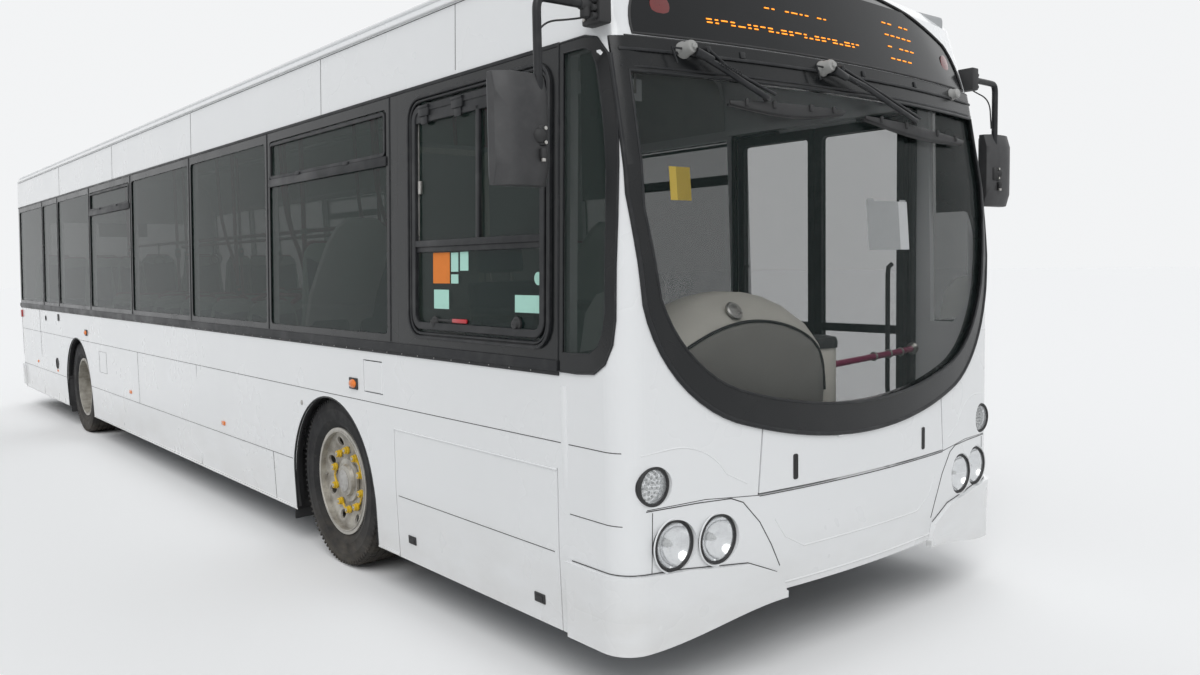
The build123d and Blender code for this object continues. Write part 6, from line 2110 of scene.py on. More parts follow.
def stuffed(width, deep, thick, crown, steps=(14, 13, 4)):
    """A stuffed cushion about its middle: a block, its faces subdivided, blown up as cloth and settled."""
    start_clean()
    bpy.ops.mesh.primitive_cube_add(size=1.0)
    pad = bpy.context.object
    pad.scale = (width * PAD_SHARE, deep * PAD_SHARE, thick)
    settle(pad)
    bpy.ops.object.mode_set(mode="EDIT")
    for axis, count, long in ((0, steps[0], width), (1, steps[1], deep), (2, steps[2], thick)):
        for step in range(1, count):
            bpy.ops.mesh.select_all(action="SELECT")
            place = [0.0, 0.0, 0.0]
            normal = [0.0, 0.0, 0.0]
            place[axis] = long * (PAD_SHARE if axis < 2 else 1.0) * (step / count - 0.5)
            normal[axis] = 1.0
            bpy.ops.mesh.bisect(plane_co=place, plane_no=normal)
    bpy.ops.object.mode_set(mode="OBJECT")
    for vertex in pad.data.vertices:
        across = abs(vertex.co.x) / (width / 2)
        along = abs(vertex.co.y) / (deep / 2)
        soft = max(0.0, across - 0.72) ** 2 + max(0.0, along - 0.74) ** 2
        vertex.co.z *= 1.0 - 3.4 * soft
    pad.data.update()
    outwards(pad)
    rest = [vertex.co.copy() for vertex in pad.data.vertices]
    cloth = pad.modifiers.new("Cloth", "CLOTH")
    for name, value in PAD_CLOTH.items():
        setattr(cloth.settings, name, value)
    cloth.settings.effector_weights.gravity = 0.0
    scene = bpy.context.scene
    for span in (cloth.point_cache, scene):
        span.frame_start = 1
        span.frame_end = PAD_FRAMES
    for number in range(1, PAD_FRAMES + 1):
        scene.frame_set(number)
    pick(pad)
    bpy.ops.object.modifier_apply(modifier=cloth.name)
    scene.frame_set(1)
    for vertex, start in zip(pad.data.vertices, rest):
        move = vertex.co - start
        if move.length > PAD_SWELL:
            vertex.co = start + move.normalized() * PAD_SWELL
    pad.data.update()
    low, high = limits_of(pad)
    for vertex in pad.data.vertices:
        vertex.co.x = (vertex.co.x - (low.x + high.x) / 2) * width / (high.x - low.x)
        vertex.co.y = (vertex.co.y - (low.y + high.y) / 2) * deep / (high.y - low.y)
        vertex.co.z = (vertex.co.z - (low.z + high.z) / 2) * (thick + crown) / (high.z - low.z)
    pad.data.update()
    return pad


def limits_of(piece):
    """Lowest and highest corner of a mesh."""
    xs, ys, zs = zip(*[vertex.co for vertex in piece.data.vertices])
    return Vector((min(xs), min(ys), min(zs))), Vector((max(xs), max(ys), max(zs)))


def seat_places():
    """Each single place: side, middle across, half width, middle of the row, cushion top."""
    places = []
    for side, row_y, level, aisle in SEAT_ROWS:
        top = level + (SEAT_HIGH if level < BOX_TOP_Z else LOW_SEAT_HIGH)
        half = (SEAT_WALL_X - aisle) / 4
        for index in (0, 1):
            places.append((side, side * (aisle + half * (1 + 2 * index)), half, row_y, top))
    return places


def lean_back(row_y, top):
    """The tilt of a seat's back about the line where it meets the cushion."""
    middle = Matrix.Translation((0.0, row_y, top))
    return middle @ Matrix.Rotation(math.radians(-SEAT_LEAN), 4, "X") @ middle.inverted()


def back_shell(half):
    """Moulded back with a waisted outline and rounded shoulders, its front face towards -Y, foot at Z 0."""
    rows = [(0.000, 0.96, 0.046), (0.120, 1.00, 0.040), (0.260, 1.00, 0.034), (0.400, 0.93, 0.030),
            (0.520, 0.86, 0.028),
            (0.610, 0.82, 0.027), (0.665, 0.74, 0.025), (0.700, 0.58, 0.022), (0.716, 0.34, 0.016)]
    loops = []
    for height, share, deep in rows:
        wide = half * share - 0.004
        loop = round_rect(-wide, wide, -0.004, deep, min(deep * 0.45, 0.012), 3)
        loops.append([(u, v + 0.010 * math.cos(math.pi * height / 0.72), height) for u, v in loop])
    return add_loft(loops)


class BUS_OT_passenger_seats(Operator):
    """Double seats: moulded shells, stuffed cushions and backs, frames and handles"""

    bl_idname = "bus.passenger_seats"
    bl_label = "Passenger seats"

    def execute(self, context):
        cushion = stuffed(0.410, 0.400, 0.052, 0.012)
        back = stuffed(0.360, 0.560, 0.036, 0.010, (12, 16, 3))
        for vertex in back.data.vertices:
            narrow = 1.0 - 0.16 * max(0.0, (vertex.co.y + 0.05) / 0.33) ** 1.4
            vertex.co.x *= narrow
        shell = back_shell(0.215)
        pan = add_block((-0.205, -0.212, -0.016), (0.205, 0.205, 0.0), 0.006)
        cushions = []
        backs = []
        shells = []
        frames = []
        handles = []
        for side, x, half, row_y, top in seat_places():
            wide = Matrix.Diagonal((half / 0.215, 1.0, 1.0, 1.0))
            pad = copy_of(cushion, turn=wide)
            shift(pad, (x, row_y - 0.008, top - 0.030))
            cushions.append(pad)
            tilt = lean_back(row_y, top)
            upright = copy_of(back, turn=wide)
            upright.data.transform(tilt @ Matrix.Translation((x, row_y + 0.160, top + 0.335))
                                   @ QUARTER_X)
            backs.append(upright)
            moulding = copy_of(shell, turn=wide)
            moulding.data.transform(tilt @ Matrix.Translation((x, row_y + 0.172, top - 0.010)))
            shells.append(moulding)
            under = copy_of(pan, turn=wide)
            shift(under, (x, row_y, top - 0.058))
            shells.append(under)
            reach = half * 0.50
            points = [(x - reach, row_y + 0.190, top + 0.655), (x - reach, row_y + 0.196, top + 0.708),
                      (x - reach + 0.020, row_y + 0.196, top + 0.716),
                      (x + reach - 0.020, row_y + 0.196, top + 0.716),
                      (x + reach, row_y + 0.196, top + 0.708), (x + reach, row_y + 0.190, top + 0.655)]
            grip = add_bead(points, 0.0105, sides=3)
            grip.data.transform(tilt)
            handles.append(grip)
        for side, row_y, level, aisle in SEAT_ROWS:
            top = level + (SEAT_HIGH if level < BOX_TOP_Z else LOW_SEAT_HIGH)
            for first, last in ((-0.165, -0.135), (0.120, 0.150)):
                frames.append(cross_block(side, aisle + 0.01, 1.150, (row_y + first, row_y + last),
                                          (top - 0.088, top - 0.062), 0.004))
            if top - level > 0.2:
                leg_x = side * (aisle + 0.20)
                leg_rows = ((0.030, 0.150, level + 0.001), (0.024, 0.055, level + 0.030),
                            (0.022, 0.045, top - 0.14), (0.030, 0.140, top - 0.086))
                frames.append(add_loft([rounded_ring(leg_x, row_y, height, wide, deep, 0.3, 2)
                                        for wide, deep, height in leg_rows]))
            else:
                frames.append(cross_block(side, aisle + 0.08, 1.10, (row_y - 0.13, row_y + 0.13),
                                          (level + 0.001, top - 0.086), 0.008))
        for pattern in (cushion, back, shell, pan):
            bpy.data.objects.remove(pattern)
        pads = fit_out("seat_cushions", cushions, "seat_wool", replaces=["seats"], shade=70.0)
        pads = fit_out("seat_back_pads", backs, "seat_wool", shade=70.0)
        fit_out("seat_shells", shells, "shell_green", shade=40.0)
        fit_out("seat_frames", frames, "panel_grey")
        fit_out("seat_handles", handles, "rail_magenta", shade=50.0)
        return {"FINISHED"}


DRIVER_X = -0.760
DRIVER_Y = -4.700


class BUS_OT_driver_seat(Operator):
    """The driver's sprung seat: stuffed cushion, back and head pad, side pads, bellows and base"""

    bl_idname = "bus.driver_seat"
    bl_label = "Driver's seat"

    def execute(self, context):
        pads = []
        cushion = stuffed(0.470, 0.500, 0.105, 0.020, (14, 14, 4))
        shift(cushion, (DRIVER_X, DRIVER_Y - 0.006, 0.832))
        pads.append(cushion)
        tilt = Matrix.Translation((DRIVER_X, DRIVER_Y + 0.300, 1.230)) @ Matrix.Rotation(math.radians(-10),
                                                                                         4, "X")
        lower = stuffed(0.330, 0.500, 0.085, 0.012, (12, 14, 4))
        lower.data.transform(tilt @ Matrix.Translation((0.0, -0.012, -0.085)) @ QUARTER_X)
        pads.append(lower)
        upper = stuffed(0.400, 0.170, 0.080, 0.012, (12, 8, 4))
        upper.data.transform(tilt @ Matrix.Translation((0.0, -0.010, 0.262)) @ QUARTER_X)
        pads.append(upper)
        for hand in (-1, 1):
            bolster = stuffed(0.070, 0.480, 0.100, 0.010, (4, 14, 4))
            bolster.data.transform(tilt @ Matrix.Translation((hand * 0.196, -0.004, -0.090))
                                   @ QUARTER_X)
            pads.append(bolster)
        head = stuffed(0.250, 0.150, 0.080, 0.008, (10, 8, 4))
        head.data.transform(Matrix.Translation((DRIVER_X, DRIVER_Y + 0.375, 1.690))
                            @ Matrix.Rotation(math.radians(82), 4, "X"))
        pads.append(head)
        shell = back_shell(0.225)
        shift(shell, (0.0, 0.022, -0.372))
        shell.data.transform(tilt)
        base = []
        for half, height in ((0.165, 0.500), (0.150, 0.535), (0.165, 0.570), (0.150, 0.605), (0.165, 0.640),
                             (0.150, 0.675), (0.165, 0.710)):
            base.append(rounded_ring(DRIVER_X, DRIVER_Y, height, half, half + 0.02, 0.15, 3))
        bellows = add_loft(base)
        plinth = add_block((DRIVER_X - 0.155, DRIVER_Y - 0.185, 0.3265),
                           (DRIVER_X + 0.155, DRIVER_Y + 0.185, 0.500), 0.012)
        tray = add_block((DRIVER_X - 0.215, DRIVER_Y - 0.235, 0.712),
                         (DRIVER_X + 0.215, DRIVER_Y + 0.245, 0.776), 0.014)
        posts = [add_rod((DRIVER_X + hand * 0.06, DRIVER_Y + 0.362, 1.56),
                         (DRIVER_X + hand * 0.06, DRIVER_Y + 0.378, 1.65),
                         0.007, sides=12) for hand in (-1, 1)]
        lever = add_bead([(DRIVER_X - 0.20, DRIVER_Y - 0.10, 0.745),
                          (DRIVER_X - 0.236, DRIVER_Y - 0.12, 0.750),
                          (DRIVER_X - 0.240, DRIVER_Y - 0.20, 0.760)], 0.007)
        knob = add_rod((DRIVER_X + 0.205, DRIVER_Y + 0.17, 0.900),
                       (DRIVER_X + 0.238, DRIVER_Y + 0.17, 0.900), 0.028, edge=0.004)
        seat = fit_out("driver_seat_pads", pads, "seat_wool", replaces=["driver_seat"],
                       shade=70.0)
        fit_out("driver_seat_shell", [shell, plinth, tray], "soft_black")
        fit_out("driver_seat_bellows", [bellows], "trim_black", shade=20.0)
        fit_out("driver_seat_controls", posts + [lever, knob], "worn_steel")
        return {"FINISHED"}


# Cab and entrance

WHEEL_PLACE = (-0.760, -5.200, 1.105)
WHEEL_TILT = -35.0
# The dashboard's pale cowl: its middle, its foot, and its outline in the front view
COWL_X = -0.540
COWL_FOOT_Z = 0.960
COWL_ROWS = [
    (-1.090, 0.960), (-1.095, 1.080), (-1.080, 1.200), (-1.030, 1.310), (-0.950, 1.385), (-0.858, 1.434),
    (-0.740, 1.484), (-0.630, 1.514), (-0.517, 1.528), (-0.400, 1.522), (-0.290, 1.502), (-0.180, 1.464),
    (-0.080, 1.408), (-0.020, 1.340), (0.010, 1.240), (0.014, 1.120), (0.000, 0.960),
]


# Sections of the cowl and of its face: place along the bus, share of its width, share of its height
COWL_SECTIONS = [
    (-5.748, 0.905, 0.780), (-5.752, 0.930, 0.800), (-5.735, 0.960, 0.850), (-5.690, 0.985, 0.930),
    (-5.640, 0.997, 0.985), (-5.610, 1.000, 1.000), (-5.560, 1.000, 1.000), (-5.500, 0.992, 0.990),
    (-5.470, 0.960, 0.960), (-5.462, 0.900, 0.900),
]
FACE_SECTIONS = [
    (-5.740, 0.915, 0.790), (-5.757, 0.905, 0.782), (-5.768, 0.870, 0.755), (-5.774, 0.780, 0.680),
    (-5.776, 0.400, 0.350),
]


def cowl_loop(y, wide, tall):
    """The cowl's outline in the front view at one place along the bus, drawn in across and in height."""
    return [(COWL_X + (x - COWL_X) * wide, y, COWL_FOOT_Z + (z - COWL_FOOT_Z) * tall) for x, z in COWL_ROWS]


class BUS_OT_dash_cowl(Operator):
    """Pale cowl over the dashboard, with its edge band, knob and the post beside it"""

    bl_idname = "bus.dash_cowl"
    bl_label = "Dashboard cowl"

    def execute(self, context):
        cowl = add_loft([cowl_loop(*section) for section in COWL_SECTIONS])
        fit_out("dash_cowl", [cowl], "cowl_pale", shade=50.0)
        face = add_loft([cowl_loop(*section) for section in FACE_SECTIONS])
        apron = add_loft([
            [(-1.100, -5.770, 0.955), (0.000, -5.770, 0.955), (0.000, -5.500, 0.955),
             (-1.100, -5.500, 0.955)],
            [(-1.100, -5.700, 0.700), (-0.100, -5.700, 0.700), (-0.100, -5.500, 0.700),
             (-1.100, -5.500, 0.700)],
            [(-1.100, -5.620, 0.330), (-0.330, -5.620, 0.330), (-0.330, -5.420, 0.330),
             (-1.100, -5.420, 0.330)],
        ])
        # The front face and the apron take the darkened copy of the pale cowl colour: painted shade, not a
        # colour of their own
        fit_out("dash_cowl_face", [face, apron], "cowl_painted_shade", shade=50.0)
        points = cowl_loop(-5.757, 0.918, 0.793)[1:-1]
        fit_out("dash_cowl_lip", [add_bead(points, 0.006, smoothly=True)], "soft_black",
                shade=60.0)
        knob = add_turned([(0.040, 0.0), (0.040, 0.008), (0.034, 0.014), (0.028, 0.014), (0.026, 0.010),
                           (0.016, 0.012), (0.001, 0.014)], 36)
        turned_to(knob, (-0.580, -5.733, 1.452), (0.0, -0.80, 0.60))
        fit_out("dash_cowl_knob", [knob], "worn_steel")
        post = add_rod((0.080, -5.640, 0.330), (0.080, -5.640, 1.260), 0.075, sides=40, edge=0.004)
        cap = add_turned([(0.082, 0.0), (0.082, 0.030), (0.074, 0.046), (0.045, 0.053), (0.001, 0.055)], 40)
        shift(cap, (0.080, -5.640, 1.258))
        fit_out("cab_corner_post", [post], "cowl_pale")
        fit_out("cab_post_cap", [cap], "soft_black")
        return {"FINISHED"}


class BUS_OT_instruments(Operator):
    """Instrument binnacle with plain dials, switch rows, parking brake and stalks"""

    bl_idname = "bus.instruments"
    bl_label = "Instruments"

    def execute(self, context):
        hood = add_loft([
            [(-1.020, -5.468, 1.130), (-0.500, -5.468, 1.130), (-0.500, -5.468, 1.330),
             (-1.020, -5.468, 1.330)],
            [(-1.000, -5.405, 1.135), (-0.520, -5.405, 1.135), (-0.540, -5.430, 1.315),
             (-0.980, -5.430, 1.315)],
        ])
        round_edges(hood, 0.008)
        panel = [hood]
        dials = []
        faces = []
        for x, radius in ((-0.93, 0.036), (-0.835, 0.050), (-0.715, 0.050), (-0.61, 0.036)):
            ring = add_torus((0.0, 0.0, 0.0), (0.0, 0.0, 0.0), radius, 0.004, 36, 8)
            dials.append(turned_to(ring, (x, -5.4155, 1.228), (0.0, 1.0, 0.16)))
            face = add_turned([(radius - 0.002, -0.002), (radius - 0.002, 0.001), (0.006, 0.0015),
                               (0.006, 0.004), (0.001, 0.0045)], 36)
            faces.append(turned_to(face, (x, -5.4160, 1.228), (0.0, 1.0, 0.16)))
            for step in range(9):
                angle = math.radians(-30 + 30 * step)
                tick = add_block((radius * 0.70, -0.0012, 0.0008), (radius * 0.88, 0.0012, 0.0022))
                tick.data.transform(Matrix.Rotation(angle, 4, "Z"))
                dials.append(turned_to(tick, (x, -5.4160, 1.228), (0.0, 1.0, 0.16)))
            hand = add_block((-0.006, -0.0014, 0.003), (radius * 0.72, 0.0014, 0.0045))
            hand.data.transform(Matrix.Rotation(math.radians(140), 4, "Z"))
            dials.append(turned_to(hand, (x, -5.4160, 1.228), (0.0, 1.0, 0.16)))
        switches = []
        for z in (1.118, 1.075):
            for index in range(9):
                x = -1.050 + 0.042 * index + (0.33 if index > 3 else 0.0)
                if x > -0.42:
                    continue
                key = add_block((x, -5.338, z - 0.014), (x + 0.030, -5.322, z + 0.014), 0.004)
                switches.append(key)
        brake = add_rod((-1.070, -5.42, 1.165), (-1.070, -5.41, 1.235), 0.012, 0.016, edge=0.004)
        switches.append(brake)
        for hand in (-1, 1):
            stalk = add_rod((WHEEL_PLACE[0] + hand * 0.03, -5.245, 1.045),
                            (WHEEL_PLACE[0] + hand * 0.155, -5.262, 1.060),
                            0.008, 0.011, sides=16, edge=0.003)
            switches.append(stalk)
        panel.append(add_loft([rounded_ring(WHEEL_PLACE[0], -5.300, 0.950, 0.060, 0.050, 0.4, 3),
                               rounded_ring(WHEEL_PLACE[0], -5.235, 1.052, 0.052, 0.045, 0.4, 3)]))
        fit_out("dash_binnacle", panel, "grained_black")
        fit_out("dash_dials", dials, "rim_edge_pale")
        fit_out("dash_dial_faces", faces, "slot_black")
        fit_out("dash_switches", switches, "soft_black")
        return {"FINISHED"}


class BUS_OT_steering_wheel(Operator):
    """Steering wheel with a grained ring, three spokes and a horn pad"""

    bl_idname = "bus.steering_wheel"
    bl_label = "Steering wheel"

    def execute(self, context):
        ring = add_torus((0.0, 0.0, 0.0), (0.0, 0.0, 0.0), 0.215, 0.0145, 96, 16)
        pieces = [ring]
        for index in range(24):
            angle = 2 * math.pi * (index + 0.5) / 24
            bump = add_torus((0.215, 0.0, 0.0), (math.radians(90), 0.0, 0.0), 0.0132, 0.0022, 16, 6)
            bump.data.transform(Matrix.Rotation(angle, 4, "Z"))
            pieces.append(bump)
        for angle in (90.0, 210.0, 330.0):
            spoke = add_loft([
                [(0.032, y, z) for y, z in round_rect(-0.026, 0.026, -0.010, 0.002, 0.004, 2)],
                [(0.120, y, z) for y, z in round_rect(-0.017, 0.017, -0.008, 0.002, 0.004, 2)],
                [(0.208, y, z) for y, z in round_rect(-0.020, 0.020, -0.006, 0.004, 0.004, 2)],
            ])
            spoke.data.transform(Matrix.Rotation(math.radians(angle), 4, "Z"))
            pieces.append(spoke)
        hub = add_turned([(0.044, -0.012), (0.050, -0.006), (0.050, 0.006), (0.044, 0.012), (0.034, 0.014),
                          (0.032, 0.011), (0.018, 0.0125), (0.001, 0.013)], 40)
        pieces.append(hub)
        place = Matrix.Translation(WHEEL_PLACE) @ Matrix.Rotation(math.radians(WHEEL_TILT), 4, "X")
        for piece in pieces:
            piece.data.transform(place)
        fit_out("steering_wheel_ring", pieces, "grained_black", replaces=["steering_wheel"],
                shade=45.0)
        return {"FINISHED"}


CAB_X = -0.360


class BUS_OT_cab_screen(Operator):
    """Frames of the screen behind the driver, cab door panels and latch, ticket machine and pedals"""

    bl_idname = "bus.cab_screen"
    bl_label = "Cab screen"

    def execute(self, context):
        frames = []
        for x0, x1, z0, z1 in ((-1.150, -0.760, 1.290, 2.230), (-0.750, -0.368, 1.290, 2.230),
                               (-1.150, -0.368, 0.360, 1.270)):
            for back, front in ((-4.1515, -4.144), (-4.186, -4.1785)):
                ring = add_frame_ring(x0, x1, z0, z1, 0.030, 0.0, front - back, 0.04, 0.002)
                ring.data.transform(Matrix.Translation((0.0, front, 0.0)) @ QUARTER_X)
                frames.append(ring)
        frames.append(add_rod((CAB_X + 0.004, -4.165, 0.330), (CAB_X + 0.004, -4.165, 2.880), 0.018,
                              sides=20))
        fit_out("cab_screen_frames", frames, "cowl_pale")
        door = []
        for z0, z1 in ((0.420, 0.900), (0.930, 1.400)):
            for x0, x1 in ((-0.3595, -0.3565), (-0.3335, -0.3305)):
                door.append(add_block((x0, -4.970, z0), (x1, -4.240, z1), 0.0012, 1))
        door.append(add_block((-0.364, -4.995, 1.440), (-0.326, -4.205, 1.466), 0.008))
        fit_out("cab_door_panels", door, "panel_grey", "cab_gate")
        latch = [add_block((-0.330, -4.985, 1.280), (-0.314, -4.940, 1.340), 0.004),
                 add_rod((-0.316, -4.962, 1.325), (-0.316, -4.962, 1.260), 0.008, sides=12, edge=0.002)]
        for height in (0.55, 0.95, 1.32):
            latch.append(add_rod((-0.345, -4.200, height - 0.03), (-0.345, -4.200, height + 0.03), 0.0165,
                                 sides=16, edge=0.003))
        fit_out("cab_door_latch", latch, "worn_steel", "cab_gate")
        machine = [add_block((-0.300, -5.440, 1.220), (-0.130, -5.290, 1.330), 0.014),
                   add_block((-0.285, -5.420, 1.322), (-0.145, -5.330, 1.372), 0.010),
                   add_rod((-0.215, -5.360, 0.700), (-0.215, -5.360, 1.225), 0.022, edge=0.003),
                   add_block((-0.320, -5.460, 1.175), (-0.110, -5.250, 1.192), 0.006)]
        for row in range(4):
            for column in range(3):
                machine.append(add_block((-0.275 + 0.024 * column, -5.326, 1.240 + 0.018 * row),
                                         (-0.258 + 0.024 * column, -5.284, 1.252 + 0.018 * row), 0.002, 1))
        fit_out("ticket_machine", machine, "soft_black")
        display = [add_block((-0.205, -5.292, 1.245), (-0.145, -5.2885, 1.310), 0.002)]
        fit_out("ticket_machine_window", display, "display_cover")
        pads = []
        for x, wide in ((-0.90, 0.055), (-0.66, 0.040)):
            tilt = (Matrix.Translation((x, -5.32, 0.37)) @ Matrix.Rotation(math.radians(-38), 4, "X")
                    @ Matrix.Translation((-x, 5.32, -0.37)))
            parts = [add_block((x - wide / 2, -5.330, 0.372), (x + wide / 2, -5.318, 0.500), 0.006)]
            for step in range(4):
                parts.append(add_block((x - wide / 2 + 0.005, -5.319, 0.395 + 0.024 * step),
                                       (x + wide / 2 - 0.005, -5.315, 0.403 + 0.024 * step), 0.001, 1))
            for part in parts:
                part.data.transform(tilt)
            pads.extend(parts)
        fit_out("driver_pedals", pads, "soft_black")
        return {"FINISHED"}


class BUS_OT_entrance_rails(Operator):
    """Rail across the front of the entrance and rails beside the doors, with their brackets"""

    bl_idname = "bus.entrance_rails"
    bl_label = "Entrance rails"

    def execute(self, context):
        rails = [
            add_bead([(0.140, -5.600, 1.160), (0.552, -5.540, 1.164), (1.040, -5.470, 1.168),
                      (1.125, -5.440, 1.170)], 0.016, sides=5, smoothly=True),
            add_bead([(0.200, -4.100, 0.326), (0.200, -4.100, 1.700), (0.240, -4.100, 2.150),
                      (0.330, -4.100, 2.890)], 0.016, sides=5),
            add_bead([(-0.300, -4.100, 0.326), (-0.300, -4.100, 1.900), (-0.300, -4.100, 2.890)], 0.016,
                     sides=5),
            add_bead([(1.150, -4.040, 0.620), (1.060, -4.040, 0.640), (1.050, -4.040, 0.700),
                      (1.050, -4.040, 1.100),
                      (1.060, -4.040, 1.160), (1.150, -4.040, 1.180)], 0.014, sides=4),
        ]
        fit_out("entrance_rails", rails, "rail_magenta", shade=60.0)
        cups = []
        for place, axis in (((0.158, -5.596, 1.160), (1, 0.14, 0)), ((1.120, -5.442, 1.170), (-1, -0.3, 0)),
                            ((0.200, -4.100, 0.326), (0, 0, 1)), ((-0.300, -4.100, 0.326), (0, 0, 1)),
                            ((0.330, -4.100, 2.885), (0, 0, -1)), ((-0.300, -4.100, 2.885), (0, 0, -1))):
            cup = add_turned([(0.032, -0.006), (0.032, 0.004), (0.022, 0.012), (0.020, 0.026),
                              (0.0162, 0.028)], 24)
            cups.append(turned_to(cup, place, axis))
        for x, y in ((0.66, -5.524), (0.82, -5.500), (0.95, -5.482)):
            cups.append(add_torus((x, y, 1.166), (0.0, math.radians(90), math.radians(8)), 0.0178, 0.006, 20,
                                  8))
        fit_out("entrance_rail_cups", cups, "worn_steel")
        return {"FINISHED"}


# Rows of upright poles: place along the bus and level of the floor
POLE_ROWS = [(-2.550, FLOOR_Z), (-0.900, FLOOR_Z), (0.650, FLOOR_Z), (2.400, PLATFORM_Z), (4.300, PLATFORM_Z)]
POLE_X = 0.330
LONG_RAIL_X = 0.2977
LONG_RAIL_Z = 1.950
CEILING_Z = 2.900


class BUS_OT_rail_fittings(Operator):
    """Cups, clamps, bell pushes and hanging straps of the grab rails, and the branched poles"""

    bl_idname = "bus.rail_fittings"
    bl_label = "Rail fittings"

    def execute(self, context):
        cups = []
        boxes = []
        buttons = []
        for side in (-1, 1):
            for pole_y, level in POLE_ROWS:
                for end_z, up in ((level, 1), (CEILING_Z, -1)):
                    cup = add_turned([(0.036, up * 0.0005), (0.036, up * 0.006), (0.024, up * 0.012),
                                      (0.021, up * 0.030), (0.0168, up * 0.032)], 24)
                    cups.append(shift(cup, (side * POLE_X, pole_y, end_z)))
                cups.append(cross_block(side, 0.276, 0.352, (pole_y - 0.020, pole_y + 0.020),
                                        (LONG_RAIL_Z - 0.021, LONG_RAIL_Z + 0.021), 0.009))
                push = add_block((side * POLE_X - 0.024, pole_y - 0.030, level + 1.085),
                                 (side * POLE_X + 0.024, pole_y + 0.022, level + 1.185), 0.010)
                boxes.append(push)
                button = add_turned([(0.0145, 0.0), (0.0145, 0.004), (0.010, 0.0065), (0.001, 0.007)], 20)
                buttons.append(turned_to(button, (side * POLE_X, pole_y - 0.030, level + 1.150),
                                         (0.0, -1.0, 0.0)))
            for hanger_y in (-1.9, -0.2, 1.3, 3.2):
                strap = add_bead([(side * LONG_RAIL_X, hanger_y, LONG_RAIL_Z - 0.012),
                                  (side * LONG_RAIL_X, hanger_y, LONG_RAIL_Z - 0.130)], 0.008, sides=2)
                loop = add_torus((side * LONG_RAIL_X, hanger_y, LONG_RAIL_Z - 0.185),
                                 (math.radians(90), 0.0, 0.0), 0.052, 0.008, 28, 8)
                collar = add_torus((side * LONG_RAIL_X, hanger_y, LONG_RAIL_Z), (math.radians(90), 0.0, 0.0),
                                   0.018, 0.006, 20, 8)
                boxes.extend([strap, loop, collar])
        branches = []
        for side in (-1, 1):
            for pole_y in (-2.550, -0.900, 0.650):
                x = side * POLE_X
                points = [(x, pole_y, 1.560), (x, pole_y + 0.030, 1.700), (x, pole_y + 0.280, 1.985),
                          (x, pole_y + 0.400, 2.250), (x, pole_y + 0.420, 2.890)]
                branches.append(add_bead(points, 0.0155, sides=4, smoothly=True))
            wall = side * 1.170
            near = side * 1.080
            branches.append(add_bead([(wall, -2.020, 1.450), (near, -2.060, 1.490), (near, -2.640, 1.490),
                                      (wall, -2.690, 1.450)], 0.014, sides=4))
        fit_out("branched_poles", branches, "rail_magenta", shade=60.0)
        fit_out("rail_cups", cups, "worn_steel")
        fit_out("bell_pushes", boxes, "soft_black")
        fit_out("bell_buttons", buttons, "handle_red")
        return {"FINISHED"}


# Side view of the tall seat backs over the front wheels: place along the bus, height, half of the width
TALL_BACK_ROWS = [
    (-2.760, 1.050, 0.205), (-2.800, 1.300, 0.210), (-2.890, 1.500, 0.210), (-3.020, 1.660, 0.205),
    (-3.110, 1.790, 0.190), (-3.160, 1.880, 0.150), (-3.178, 1.930, 0.090),
]


# Section of the cove between a wall and the ceiling: distance from the middle, height
COVING = [
    (1.150, 2.475), (1.140, 2.640), (1.080, 2.760), (0.960, 2.840), (0.870, 2.884), (0.985, 2.858),
    (1.120, 2.770), (1.155, 2.650),
]


class BUS_OT_saloon_lining(Operator):
    """Ceiling panels, light strips and wall lining of the saloon, tall seat backs and a blank notice"""

    bl_idname = "bus.saloon_lining"
    bl_label = "Saloon lining"

    def execute(self, context):
        panels = []
        lights = []
        trims = []
        for index in range(6):
            y0 = -4.60 + 1.72 * index
            panels.append(add_block((-0.86, y0, 2.884), (0.86, y0 + 1.70, 2.8985), 0.003))
            for side in (-1, 1):
                strip = add_block((side * 0.62 - 0.055, y0 + 0.06, 2.868),
                                  (side * 0.62 + 0.055, y0 + 1.64, 2.886), 0.006)
                lights.append(strip)
                trims.append(add_block((side * 0.62 - 0.066, y0 + 0.04, 2.876),
                                       (side * 0.62 + 0.066, y0 + 0.058, 2.886), 0.003))
        for side in (-1, 1):
            panels.append(add_loft([[(side * x, y, z) for x, z in COVING] for y in (-4.060, 5.780)]))
            for along, foot in (((FRONT_AXLE_Y + 0.64, 1.93), FLOOR_Z), ((3.44, 5.80), PLATFORM_Z)):
                panels.append(cross_block(side, 1.188, 1.1985, along, (foot + 0.02, 1.275), 0.002))
            trims.append(cross_block(side, 1.140, 1.196, (-4.05, 5.80), (1.268, 1.286), 0.004))
            trims.append(cross_block(side, 1.120, 1.186, (-2.66, 1.88), (FLOOR_Z + 0.04, FLOOR_Z + 0.16),
                                     0.010))
        header = add_block((-1.080, -5.640, 2.600), (1.080, -5.560, 2.860), 0.020)
        trims.append(header)
        fit_out("ceiling_and_wall_panels", panels, "lining_pale")
        fit_out("saloon_lights", lights, "smoke_lens")
        fit_out("saloon_trims", trims, "panel_grey")
        shells = []
        for side in (-1, 1):
            loops = []
            for y, z, half in TALL_BACK_ROWS:
                middle = side * 0.930
                loops.append([(middle - half, y - 0.020, z), (middle - half, y + 0.020, z + 0.012),
                              (middle + half, y + 0.020, z + 0.012), (middle + half, y - 0.020, z)])
            shell = add_loft(loops)
            round_edges(shell, 0.008, 2)
            shells.append(shell)
        # The tall seat backs take the lightened copy of the lining colour: painted light against the shaded
        # saloon
        fit_out("tall_seat_backs", shells, "lining_painted_light", shade=50.0)
        notice = add_block((-0.28, -4.245, 2.560), (0.28, -4.238, 2.680), 0.002)
        stem = [add_block((-0.24, -4.246, 2.60), (-0.22, -4.239, 2.885), 0.001),
                add_block((0.22, -4.246, 2.60), (0.24, -4.239, 2.885), 0.001)]
        fit_out("blank_ceiling_notice", [notice], "notice_white")
        fit_out("ceiling_notice_stems", stem, "worn_steel")
        return {"FINISHED"}


